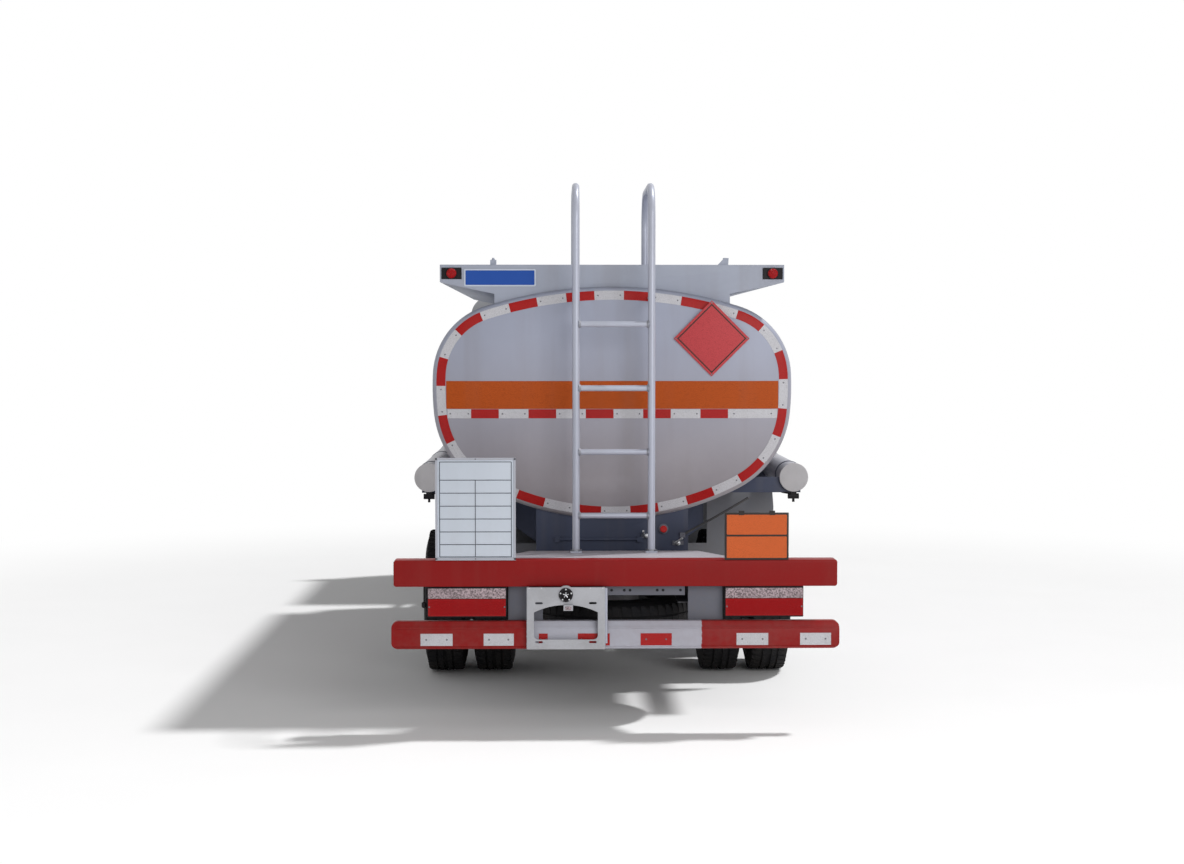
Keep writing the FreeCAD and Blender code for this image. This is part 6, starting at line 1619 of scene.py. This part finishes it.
    def board_lines(self) -> None:
        """Frame, inner rules and rows of the blank safety board."""
        form = Form()
        low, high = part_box("safety_board")
        y = low.y
        x0, x1, z0, z1 = low.x, high.x, 0.889, high.z
        rim, proud, half = 0.010, 0.004, 0.0018
        for a, b, c, d in ((x0, z1 - rim, x1, z1), (x0, z0, x1, z0 + rim), (x0, z0, x0 + rim, z1),
                           (x1 - rim, z0, x1, z1)):
            form.block((a, y - proud, b), (c, y + 0.001, d), SILVER_TRIM, 0.0012)
        inner = (x0 + 0.022, x1 - 0.022)
        rows = [1.297, 1.2305, 1.164, 1.098, 1.032, 0.967]
        bottom, top = 0.904, z1 - 0.020
        for z in rows + [bottom, top]:
            form.block((inner[0], y - 0.0012, z - half), (inner[1], y + 0.0005, z + half), SIGN_LINE)
        for x, high_z in ((inner[0], top), (inner[1], top), (-0.718, rows[0])):
            form.block((x - half, y - 0.0013, bottom), (x + half, y + 0.0005, high_z), SIGN_LINE)
        form.piece("board_rules", "chassis", "sign_white")
        rivets = Fasteners(0.004, 0.002)
        for x in (x0 + 0.005, (x0 + x1) / 2, x1 - 0.005):
            for z in (z0 + 0.005, z1 - 0.005):
                rivets.add((x, y - proud, z), TO_REAR)
        rivets.piece("board_rivets", "chassis", "sign_white")

    def orange_fields(self) -> None:
        """Two blank orange fields in a black frame with clips on top."""
        form = Form()
        low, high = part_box("orange_panel")
        y = low.y
        edge, middle = 0.010, 1.011
        spans = ((low.z + edge, middle - 0.005), (middle + 0.005, high.z - edge))
        for z0, z1 in spans:
            outline = rounded((low.x + edge, z0), (high.x - edge, z1), 0.004, 3)
            form.slab(outline, Way.Y, y - 0.0016, y + 0.0005, SIGN_ORANGE, 0.0004)
        for x in (low.x + 0.085, high.x - 0.085):
            form.block((x - 0.014, y - 0.003, high.z - 0.012), (x + 0.014, y + 0.012, high.z + 0.010),
                       SIGN_BLACK, 0.002)
        form.piece("orange_fields", "chassis", "sign_orange")

    def diamond_border(self) -> None:
        """A thin dark line inside the edge of the blank diamond."""
        form = Form()
        low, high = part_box("hazard_plate")
        x, z = (low.x + high.x) / 2, (low.z + high.z) / 2
        reach = (high.x - low.x) / 2
        y = low.y
        outer, inner = reach - 0.018, reach - 0.027
        corners = ((0, 1), (1, 0), (0, -1), (-1, 0))
        for one, two in zip(corners, corners[1:] + corners[:1]):
            turns = ((one, outer), (two, outer), (two, inner), (one, inner))
            outline = [(x + corner[0] * size, z + corner[1] * size) for corner, size in turns]
            form.slab(outline, Way.Y, y - 0.0007, y + 0.0003, SIGN_BLACK)
        form.piece("diamond_line", "chassis", "sign_orange")
        rivets = Fasteners(0.005, 0.0022)
        for ax, az in corners:
            rivets.add((x + ax * (reach - 0.012), y, z + az * (reach - 0.012)), TO_REAR)
        rivets.piece("diamond_rivets", "chassis", "sign_orange")

    def blue_plate(self) -> None:
        """The blank blue plate with a pale border on the walkway's end, and two small lugs above it."""
        form = Form()
        low, high, y = self.blue_low, self.blue_high, self.end_face
        form.slab(rounded(low, high, 0.006, 4), Way.Y, y - 0.0030, y + 0.001, SIGN_WHITE, 0.0006)
        inner = rounded((low[0] + 0.007, low[1] + 0.007), (high[0] - 0.007, high[1] - 0.007), 0.004, 4)
        form.slab(inner, Way.Y, y - 0.0038, y - 0.0025, SIGN_BLUE)
        form.piece("blue_plate", "chassis", "walk_skin")
        extra = Form()
        extra.block((-0.6625, -2.852, 2.412), (-0.6295, -2.824, 2.446), WALK, 0.003)
        extra.lathe([(0.0, 0.009), (0.005, 0.009), (0.007, 0.006), (0.012, 0.006)],
                    (-0.646, -2.838, 2.4455), Way.Z, WALK, 16)
        outline = [(0.568, 2.414), (0.630, 2.414), (0.633, 2.456), (0.610, 2.458)]
        extra.slab(outline, Way.Y, -2.853, -2.845, WALK, 0.0015)
        extra.block((0.604, -2.852, 2.450), (0.633, -2.822, 2.457), WALK, 0.002)
        extra.piece("walk_end_lugs", "chassis", "walk_skin")

    def plate_socket(self) -> None:
        """Trailer socket, small lamp and side tube at the plate's bracket."""
        form = Form()
        bolts = Fasteners(0.0045, 0.003, STEEL, 6, 1.0)
        low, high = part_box("plate_bracket")
        (x, z), y = self.socket, low.y
        ring = [(0.004, 0.036), (-0.008, 0.036), (-0.010, 0.034), (-0.010, 0.024), (-0.004, 0.022),
                (-0.004, 0.004)]
        form.lathe(ring, (x, y, z), Way.Y, LAMP_BLACK, 32)
        form.lathe([(-0.003, 0.020), (-0.010, 0.018), (-0.011, 0.015), (-0.011, 0.004)], (x, y, z), Way.Y,
                   LAMP_BLACK, 28)
        for n in range(5):
            angle = ROUND * (n + 0.25) / 5
            across, up = math.cos(angle), math.sin(angle)
            form.tube([(x, y - 0.011, z), (x + 0.015 * across, y - 0.011, z + 0.015 * up)], 0.0022, STEEL, 8)
            bolts.add((x + 0.029 * across, y - 0.010, z + 0.029 * up), TO_REAR)
        form.block((x - 0.012, y - 0.028, z - 0.078), (x + 0.036, y - 0.002, z - 0.050), PLATE, 0.005)
        form.block((x - 0.004, y - 0.030, z - 0.074), (x + 0.028, y - 0.026, z - 0.056), LENS_CLEAR, 0.002)
        form.tube([(high.x + 0.004, y + 0.012, low.z + 0.030), (high.x + 0.004, y + 0.012, high.z - 0.012)],
                  0.009, LADDER, 16)
        for dx in (0.012, 0.075, 0.325, 0.388):
            bolts.add((low.x + dx, y, high.z - 0.012), TO_REAR)
        form.piece("plate_socket", "chassis", "plate_white")
        bolts.piece("plate_bolts", "chassis", "plate_white")

    def deck_fittings(self) -> None:
        """Red button, latches, stay rod, bar, cross member holes and a hanging switch at the tail."""
        form = Form()
        spot = self.button
        form.lathe([(0.002, 0.027), (-0.010, 0.027), (-0.012, 0.024), (-0.012, 0.010)], spot, Way.Y,
                   BRACKET, 24)
        form.lathe([(-0.010, 0.019), (-0.024, 0.019), (-0.028, 0.015), (-0.028, 0.005)], spot, Way.Y,
                   BUTTON_RED, 24)
        for x, z, lean in ((0.190, 0.944, -1), (0.360, 0.905, 1)):
            form.block((x - 0.030, -2.868, z - 0.012), (x + 0.030, -2.858, z + 0.012), BRACKET, 0.002)
            form.tube([(x - 0.018, -2.874, z), (x + 0.022 * lean, -2.905, z + 0.030)], 0.006, STEEL, 10)
            form.lathe([(-0.007, 0.012), (-0.020, 0.012), (-0.023, 0.008)], (x, -2.860, z), Way.Y, STEEL, 18)
        form.tube([(0.385, -2.872, 0.950), (0.560, -2.864, 1.044), (0.745, -2.850, 1.150)], 0.0065, AXLE, 10)
        form.block((0.370, -2.878, 0.935), (0.398, -2.859, 0.962), BRACKET, 0.002)
        form.tube([(-0.30, -2.866, 0.925), (0.150, -2.866, 0.925)], 0.008, SUBFRAME, 12)
        for x in (-0.30, 0.15):
            form.block((x - 0.014, -2.876, 0.911), (x + 0.014, -2.859, 0.939), SUBFRAME, 0.002)
        form.piece("deck_fittings", "chassis", "subframe_paint")
        holes = Fasteners(0.0075, 0.0012, LAMP_BLACK, 14, 0.95)
        for x in (-0.02, 0.045, 0.075, 0.215, 0.245, 0.335):
            holes.add((x, self.member_face, 0.724), TO_REAR)
        holes.piece("cross_member_holes", "chassis", "frame_steel")
        knob = Form()
        x, y = -0.985, self.member_face
        knob.tube([(x, y, 0.756), (x, y, 0.664)], 0.0035, LAMP_BLACK, 10)
        knob.lathe([(0.635, 0.008), (0.640, 0.013), (0.660, 0.013), (0.666, 0.007)], (x, y, 0.0), Way.Z,
                   LAMP_BLACK, 18)
        knob.tube([(x, y, 0.655), (-0.962, y, 0.648)], 0.005, LAMP_BLACK, 10)
        knob.piece("hanging_switch", "chassis", "lamp_plastic")


@dataclass
class Wheels:
    """Tyres with tread and sidewall rings, and nuts and hand holes on the rims."""

    radius: float = 0.428
    lugs: int = 52
    height: float = 0.428
    front_y: float = 2.4
    rear_y: float = -1.6
    front_x: float = 0.830
    twin_x: Span = (0.679, 0.971)
    sides: int = 96
    nut_ring: float = 0.112
    hole_ring: float = 0.150
    shoulder: float = 0.10
    shoulder_drop: float = 0.007

    def profile(self) -> list[Span]:
        """Half of the tyre's section, from the middle of the tread to the bead.

        Returns:
            Pairs of offset and radius.
        """
        drops = ((0.0, 0.01), (0.01, 0.01), (0.011, 0.001), (0.04, 0.002), (0.041, 0.011), (0.051, 0.011),
                 (0.052, 0.003), (0.084, 0.006), (0.093, 0.01), (0.101, 0.02), (0.108, 0.036),
                 (0.1145, 0.055), (0.1185, 0.075), (0.1205, 0.08), (0.1205, 0.083), (0.1195, 0.086),
                 (0.1222, 0.1), (0.123, 0.115), (0.1222, 0.135), (0.1195, 0.155), (0.1205, 0.158),
                 (0.1195, 0.162), (0.113, 0.18), (0.104, 0.198), (0.096, 0.208), (0.0885, 0.213),
                 (0.078, 0.222))
        bead = [(0.075, 0.2045), (0.07, 0.2045)]
        return [(offset, self.radius - drop) for offset, drop in drops] + bead

    def tyre(self, form: Form, spot: Spot, way: Way) -> None:
        """One tyre as a closed ring.

        Args:
            form: an empty form that takes it.
            spot: its middle.
            way: its axle's axis.
        """
        half = self.profile()
        section = [(-offset, radius) for offset, radius in reversed(half)] + half[1:]
        section += [(0.060, 0.2300), (0.0, 0.2360), (-0.060, 0.2300)]
        rows = []
        for n in range(self.sides + 1):
            angle = ROUND * (n % self.sides) / self.sides
            rows.append([on_ring(spot, radius, angle, way, offset) for offset, radius in section])
        form.loft(rows, RUBBER, True, False)
        bmesh.ops.remove_doubles(form.work, verts=form.work.verts, dist=1e-6)

    def lug_seed(self, way: Way) -> bpy.types.Mesh:
        """One pair of slanted shoulder blocks and one pair of rib blocks between them.

        Args:
            way: the axle's axis.

        Returns:
            Their mesh.
        """
        form = Form()
        r = self.radius
        pitch = ROUND * r / self.lugs
        for sign in (-1, 1):
            skew = 0.006 * sign
            outline = [(sign * 0.052, -pitch * 0.30 + skew), (sign * 0.090, -pitch * 0.34),
                       (sign * 0.104, -pitch * 0.28), (sign * 0.104, pitch * 0.24),
                       (sign * 0.090, pitch * 0.30), (sign * 0.052, pitch * 0.34 + skew)]
            self.lug(form, outline, ((r - 0.018, 1.0), (r - 0.0015, 0.94)), way)
        for sign in (-1, 1):
            outline = [(sign * 0.0125, -pitch * 0.42), (sign * 0.0395, -pitch * 0.28),
                       (sign * 0.0395, pitch * 0.42), (sign * 0.0125, pitch * 0.28)]
            self.lug(form, outline, ((r - 0.012, 1.0), (r - 0.0002, 0.95)), way)
        return form.mesh("lug_seed")

    def lug(self, form: Form, outline: Sequence[Span], ends: Sequence[Span], way: Way) -> None:
        """One block of the tread, lower where it reaches the tyre's shoulder.

        Args:
            form: the form that takes it.
            outline: its corners, as offset along the axle and place along the tread.
            ends: the radius and the share of its length at its foot and its top.
            way: the axle's axis.
        """
        rows = []
        for level, reach in ends:
            drops = [self.shoulder_drop if abs(a) > self.shoulder else 0.0 for a, _ in outline]
            rows.append([placed((a, b * reach, level - drop), way) for (a, b), drop in zip(outline, drops)])
        form.loft(rows, RUBBER)

    def one(self, name: str, body: str, spots: Sequence[Spot], way: Way, nodes: Sequence[str]) -> None:
        """The tyres of one body with their tread.

        Args:
            name: the piece's name.
            body: the body.
            spots: the middle of each tyre.
            way: the axle's axis.
            nodes: the solids that they stand for.
        """
        form = Form()
        for spot in spots:
            other = Form()
            self.tyre(other, spot, way)
            form.take(other)
        form.piece(name, body, "tyre", nodes, 30.0)
        seed = self.lug_seed(way)
        axis = [0.0, 0.0, 0.0]
        axis[way.value] = 1.0
        for n, spot in enumerate(spots):
            mesh = TURNS.grow(seed.copy(), RUBBER, Count=self.lugs, Centre=spot, Axis=tuple(axis))
            smoothed(mesh, 25.0)
            shown(mesh, "%s_tread_%d" % (name, n), body)

    def build(self) -> None:
        """Builds all seven tyres and dresses the rims on the axles."""
        for side in Side:
            s, word = side.value, side.word
            front, rear = "wheel_front_" + word, "wheels_rear_" + word
            single = [(s * self.front_x, self.front_y, self.height)]
            twins = [(s * x, self.rear_y, self.height) for x in self.twin_x]
            self.one("tyre_front_" + word, front, single, Way.X, ["front_tyre_" + word])
            self.one("tyres_rear_" + word, rear, twins, Way.X, ["rear_tyres_" + word])
            self.dress("front_rim_" + word, front, side, self.front_y)
            self.dress("rear_rims_" + word, rear, side, self.rear_y)
        low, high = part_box("spare_tyre")
        self.one("tyre_spare", "chassis", [(0.0, (low.y + high.y) / 2, (low.z + high.z) / 2)], Way.Z,
                 ["spare_tyre"])

    def beside(self, side: Side, y: float, ring: float, angle: float) -> Spot:
        """A point out beside a wheel, on a ring of its rim."""
        return (side.value * BESIDE, y + ring * math.cos(angle), self.height + ring * math.sin(angle))

    def dress(self, node: str, body: str, side: Side, y: float) -> None:
        """Nuts and hand-hole rings on one rim's outer face.

        Args:
            node: the rim.
            body: the body that it rides on.
            side: its side of the lorry.
            y: its axle's place.
        """
        skin = dressed(node)
        nuts = Fasteners(0.0135, 0.018, RIVET, 6, 0.92)
        form = Form()
        s = side.value
        collar = [(s * place, radius) for place, radius in ((-0.002, 0.021), (0.003, 0.021), (0.004, 0.0185),
                                                            (0.001, 0.0165))]
        for n in range(6):
            point, _ = skin.hit(self.beside(side, y, self.nut_ring, ROUND * (n + 0.5) / 6), side.inward)
            nuts.add(point, (s, 0, 0))
            point, _ = skin.hit(self.beside(side, y, self.hole_ring, ROUND * n / 6), side.inward)
            form.lathe(collar, point, Way.X, RIM, 24)
            form.lathe([(s * -0.002, 0.0166), (s * 0.0014, 0.0166)], point, Way.X, LAMP_BLACK, 24)
        form.piece(node + "_holes", body, "rim_paint")
        nuts.piece(node + "_nuts", body, "rim_paint")


def placed(point: Spot, way: Way) -> Vector:
    """A point of the tread, at the top of the tyre, in the lorry's own axes.

    Args:
        point: its offset along the axle, its place along the tread, and its radius.
        way: the axle's axis.

    Returns:
        The point.
    """
    offset, rolling, outward = point
    if way is Way.X:
        return Vector((offset, rolling, outward))
    return Vector((outward, rolling, offset))


@dataclass
class Walkway:
    """Raised studs on the walkway's two side decks."""

    top: float = 2.42
    pitch: float = 0.052
    deck: Span = (0.455, 0.905)
    rear: float = -2.82
    across: int = 9
    lines: int = 80

    def build(self) -> None:
        """Makes the studs of each deck from one stud."""
        stud = Form()
        outline = [(-0.014, 0.0), (-0.008, -0.0035), (0.008, -0.0035), (0.014, 0.0), (0.008, 0.0035),
                   (-0.008, 0.0035)]
        stud.loft([[Vector((x, y, -0.0004)) for x, y in outline],
                   [Vector((x * 0.7, y * 0.6, 0.0016)) for x, y in outline]], WALK)
        seed = stud.mesh("stud_seed")
        turned = seed.copy()
        turned.transform(Euler((0, 0, math.pi / 2)).to_matrix().to_4x4())
        for side in Side:
            low = side.span(*self.deck)[0]
            for word, one, shift in (("a", seed, 0.0), ("b", turned, self.pitch / 2)):
                start = (low + 0.015 + shift * 0.9, self.rear + shift, self.top)
                mesh = ROWS.grow(one.copy(), WALK, Count=self.across, Lines=self.lines, Start=start,
                                 Step=(self.pitch, 0.0, 0.0), Line_Step=(0.0, self.pitch, 0.0))
                shown(mesh, "walk_studs_%s_%s" % (side.word, word), "chassis")


@dataclass
class Cabin:
    """Front and side details of the cab."""

    handle: Span = (2.26, 1.36)
    waist: Span = (1.10, 1.135)
    waist_run: Span = (2.15, 3.08)
    wipers: tuple[Span, ...] = ((-0.62, -0.05), (0.12, 0.69))
    indicator: Span = (0.70, 0.86)
    nose_line: Span = (1.395, 1.401)
    roof_lamps: tuple[float, ...] = (-0.62, -0.22, 0.22, 0.62)
    slots: Span = (0.30, 0.52)

    def build(self) -> None:
        """Builds handles, wipers, lamps, the bumper's trim and mirror glass."""
        self.doors()
        self.face()
        self.bumper()
        self.glass()

    def doors(self) -> None:
        """A handle, a lock and two waist lines on each door."""
        for side in Side:
            skin = dressed("door_" + side.word)
            form = Form()
            s = side.value
            point, _ = skin.hit((s * BESIDE, *self.handle), side.inward)
            x = point.x
            xs = sorted((x - s * 0.002, x + s * 0.003))
            form.block((xs[0], 2.19, 1.325), (xs[1], 2.37, 1.395), LAMP_BLACK, 0.001)
            xs = sorted((x + s * 0.003, x + s * 0.022))
            form.block((xs[0], 2.20, 1.350), (xs[1], 2.36, 1.376), BLACK_PLASTIC, 0.006)
            form.lathe([(s * 0.0, 0.012), (s * 0.006, 0.012), (s * 0.007, 0.009)], (x, 2.40, 1.36), Way.X,
                       RIVET, 20)
            for z in self.waist:
                grid = lattice([s * BESIDE], spaced(*self.waist_run, 14), (z, z + 0.006))
                skin.patch(form, grid, side.inward, CAB, PANEL_LINE)
            form.piece("door_trim_" + side.word, "cab_door_" + side.word, "cab_paint")

    def face(self) -> None:
        """Wipers, indicator and roof lamps, and a panel line across the nose."""
        skin = dressed("cab_shell")
        form = Form()
        for x0, x1 in self.wipers:
            start, _ = skin.hit((x0, AHEAD, 1.47), TO_REAR)
            stop, _ = skin.hit((x1, AHEAD, 1.485), TO_REAR)
            lift = Vector((0, 0.020, 0))
            form.lathe([(-0.004, 0.018), (0.022, 0.016), (0.026, 0.010)], start, Way.Y, BLACK_PLASTIC, 18)
            bend = start.lerp(stop, 0.5) + lift * 1.5 + Vector((0, 0, 0.012))
            form.tube([start + lift, bend, stop + lift], 0.006, BLACK_PLASTIC, 10)
            form.block((start.x + 0.12, start.y + 0.008, 1.505), (stop.x, start.y + 0.018, 1.520),
                       BLACK_PLASTIC, 0.002)
        for side in Side:
            xs = side.span(*self.indicator)
            point, _ = skin.hit((side.value * 0.78, AHEAD, 1.18), TO_REAR)
            form.block((xs[0], point.y - 0.03, 1.145), (xs[1], point.y + 0.006, 1.215), LENS_AMBER, 0.006)
        line = lattice(spaced(-0.80, 0.80, 20), [AHEAD], self.nose_line)
        skin.patch(form, line, TO_REAR, CAB, PANEL_LINE)
        for x in self.roof_lamps:
            point, _ = skin.hit((x, 3.05, 4.0), DOWN)
            form.block((x - 0.045, 3.025, point.z - 0.002), (x + 0.045, 3.075, point.z + 0.014), LENS_AMBER,
                       0.006)
        form.piece("cab_face_trim", "cab", "cab_paint")

    def bumper(self) -> None:
        """A blank plate, air slots and round lamp bowls on the front bumper."""
        form = Form()
        low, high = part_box("front_bumper")
        middle = (low.z + high.z) / 2
        point, _ = dressed("front_bumper").hit((0.0, AHEAD, middle), TO_REAR)
        form.slab(rounded((-0.22, middle - 0.07), (0.22, middle + 0.07), 0.012), Way.Y, point.y - 0.001,
                  point.y + 0.004, PLATE, 0.001)
        for side in Side:
            for z in (middle - 0.035, middle + 0.035):
                xs = side.span(*self.slots)
                form.slab(rounded((xs[0], z - 0.012), (xs[1], z + 0.012), 0.010), Way.Y, point.y - 0.002,
                          point.y + 0.0012, LAMP_BLACK)
        form.piece("front_bumper_trim", rider("front_bumper"), "nose_plastic")
        bowls = Form()
        lamps = dressed("headlamps")
        low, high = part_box("headlamps")
        z = (low.z + high.z) / 2
        for side in Side:
            for x in (high.x - 0.055, high.x - 0.155):
                point, _ = lamps.hit((side.value * x, AHEAD, z), TO_REAR)
                bowls.lathe([(-0.002, 0.046), (0.003, 0.046), (0.005, 0.042), (0.003, 0.038)], point, Way.Y,
                            STEEL, 32)
                bowls.lathe([(0.000, 0.0385), (0.005, 0.034), (0.008, 0.022), (0.009, 0.008)], point, Way.Y,
                            HEADLAMP, 32)
        bowls.piece("headlamp_bowls", rider("headlamps"), "headlamp_glass")

    def glass(self) -> None:
        """Silvered glass on the back of each mirror."""
        form = Form()
        low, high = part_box("mirrors")
        for side in Side:
            xs = side.span(high.x - 0.012, high.x - 0.150)
            outline = rounded((xs[0], low.z + 0.02), (xs[1], high.z - 0.02), 0.02)
            form.slab(outline, Way.Y, low.y - 0.0015, low.y + 0.002, MIRROR, 0.0005)
        form.piece("mirror_glass", "cab", "mirror_plastic")


@dataclass
class Fittings:
    """Latches, caps and bolts along the sides and on top."""

    lid_bolts: int = 10
    out: float = 3.0
    above: float = 5.0

    def build(self) -> None:
        """Builds the cabinet's latch, the fuel cap and the bolts of the lid."""
        self.latch()
        self.fuel_cap()
        self.lid()

    def latch(self) -> None:
        """A handle on a dark plate and two hinges' screws on the cabinet door."""
        low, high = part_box("cabinet_door")
        skin = dressed("cabinet_door")
        form = Form()
        y = (low.y + high.y) / 2
        point, _ = skin.hit((self.out, y, low.z + 0.07), Side.RIGHT.inward)
        x, z = point.x, point.z
        form.block((x - 0.001, y - 0.075, z - 0.024), (x + 0.003, y + 0.075, z + 0.024), LAMP_BLACK, 0.001)
        bail = ((-0.001, -0.055), (0.020, -0.050), (0.020, 0.050), (-0.001, 0.055))
        form.tube([(x + dx, y + dy, z) for dx, dy in bail], 0.006, STEEL, 12)
        screws = Fasteners(0.006, 0.003, STEEL, 8)
        for shift in (-0.2, -0.16, 0.16, 0.2):
            spot, _ = skin.hit((self.out, y + shift, high.z - 0.05), Side.RIGHT.inward)
            screws.add(spot, (1, 0, 0))
        body = rider("cabinet_door")
        form.piece("cabinet_latch", body, "cabinet_alloy")
        screws.piece("cabinet_screws", body, "cabinet_alloy")

    def fuel_cap(self) -> None:
        """A filler cap on the fuel tank's outer side, and two straps round its face."""
        low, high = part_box("fuel_tank")
        skin = dressed("fuel_tank")
        form = Form()
        side = Side.LEFT if abs(low.x) > abs(high.x) else Side.RIGHT
        s = side.value
        point, _ = skin.hit((s * self.out, high.y - 0.12, high.z - 0.10), side.inward)
        cap = [(s * place, radius) for place, radius in ((-0.004, 0.040), (0.018, 0.040), (0.022, 0.036),
                                                         (0.022, 0.012))]
        form.lathe(cap, point, Way.X, LAMP_BLACK, 28)
        for share in (0.25, 0.75):
            y = low.y + (high.y - low.y) * share
            zs = spaced(low.z + 0.012, high.z - 0.012, 16)
            grid = [[(s * self.out, place, z) for place in spaced(y - 0.02, y + 0.02, 4)] for z in zs]
            skin.patch(form, grid, side.inward, STEEL, 0.003)
        form.piece("fuel_cap", rider("fuel_tank"), "fuel_skin")

    def lid(self) -> None:
        """A ring of bolts on the manhole's lid."""
        low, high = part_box("manhole_lid")
        skin = dressed("manhole_lid")
        middle = Vector((0.0, low.y + (high.x - low.x) / 2, 0.0))
        reach = (high.x - low.x) / 2 - 0.030
        bolts = Fasteners(0.009, 0.007, STEEL, 6, 1.0)
        for n in range(self.lid_bolts):
            angle = ROUND * (n + 0.5) / self.lid_bolts
            start = middle + Vector((reach * math.cos(angle), reach * math.sin(angle), self.above))
            point, normal = skin.hit(start, DOWN)
            if normal.z > 0.7:
                bolts.add(point, UP)
        bolts.piece("lid_bolts", rider("manhole_lid"), "lid_skin")


@dataclass
class Studio:
    """Floor, lamps, sky and camera."""

    lens: float = 57.9
    spot: Spot = (-0.30, -13.22, 2.0)
    pitch: float = -2.7
    yaw: float = -1.05
    sun_way: Spot = (-1.68, -0.71, -2.85)
    sun_power: float = 2.25
    sun_size: float = 4.5
    soft_spot: Spot = (4.5, -13.0, 4.6)
    soft_aim: Spot = (0.0, -2.0, 1.4)
    soft_power: float = 470.0
    soft_size: float = 6.0
    fill: float = 0.34
    floor_half: float = 90.0
    fade: Span = (4.5, 8.5)

    def floor(self) -> None:
        """A pale floor that fades into the white backdrop away from the lorry."""
        work = bmesh.new()
        bmesh.ops.create_grid(work, x_segments=2, y_segments=2, size=self.floor_half)
        mesh = bpy.data.meshes.new("studio_floor")
        work.to_mesh(mesh)
        work.free()
        bench = Bench("floor_pale")
        spot = bench.spot()
        reach = bench.node("ShaderNodeVectorMath", {"operation": "LENGTH"}, {0: spot}, "Value")
        far = bench.rise(reach, *self.fade)
        tone = bench.mix(bench.noise(1.3), (0.93, 0.93, 0.93), (0.96, 0.96, 0.96))
        matt = bench.node("ShaderNodeBsdfDiffuse", None, {"Color": tone})
        white = bench.node("ShaderNodeEmission", None, {"Color": (1.0, 1.0, 1.0), "Strength": 1.0})
        both = bench.node("ShaderNodeMixShader", None, {0: far * bench.seen(), 1: matt, 2: white})
        bench.end("ShaderNodeOutputMaterial", both)
        mesh.materials.append(bench.material)
        linked("studio_floor", mesh)

    def sky(self) -> None:
        """An even pale sky, white where the camera, gloss or glass sees it."""
        world = bpy.data.worlds.new("studio_sky")
        bpy.context.scene.world = world
        world.use_nodes = True
        world.node_tree.nodes.clear()
        sky = Graph(world.node_tree)
        lit = sky.seen() * (1.0 - self.fill) + self.fill
        sky.end("ShaderNodeOutputWorld",
                sky.node("ShaderNodeBackground", None, {"Color": (1.0, 1.0, 1.0), 1: lit}))

    def lamp(self, name: str, kind: str, spot: Spot, aim: Spot, power: float, size: float) -> None:
        """Adds one lamp.

        Args:
            name: its name.
            kind: its type.
            spot: where it stands.
            aim: where it points.
            power: its strength.
            size: its angle in degrees for a sun, or its side in metres.
        """
        data = bpy.data.lights.new(name, kind)
        data.energy = power
        if kind == "SUN":
            data.angle = math.radians(size)
        else:
            data.shape = "SQUARE"
            data.size = size
        lamp = linked(name, data)
        lamp.location = spot
        lamp.rotation_euler = (Vector(aim) - Vector(spot)).to_track_quat("-Z", "Y").to_euler()

    def camera(self) -> None:
        """The camera at the photograph's place."""
        data = bpy.data.cameras.new("camera")
        data.sensor_width = FILM_WIDE
        data.lens = self.lens
        camera = linked("camera", data)
        camera.location = self.spot
        camera.rotation_euler = Euler((math.radians(90 + self.pitch), 0.0, math.radians(self.yaw)))
        bpy.context.scene.camera = camera

    def build(self) -> None:
        """Sets up the whole studio."""
        bpy.context.scene.view_settings.view_transform = "Standard"
        self.camera()
        self.floor()
        self.sky()
        sun = Vector(self.sun_way)
        self.lamp("key_sun", "SUN", tuple(-sun * 4), (0.0, 0.0, 0.0), self.sun_power, self.sun_size)
        self.lamp("rear_soft", "AREA", self.soft_spot, self.soft_aim, self.soft_power, self.soft_size)


def main() -> None:
    """Builds the studio and every part of the lorry in order."""
    logging.basicConfig(level=logging.INFO)
    Studio().build()
    for part in (Shaped(), Tank(), Ladder(), HoseTubes(), Rear(), Wheels(), Walkway(), Cabin(), Fittings()):
        LOG.info("building %s", type(part).__name__)
        part.build()


if __name__ == "__main__":
    main()
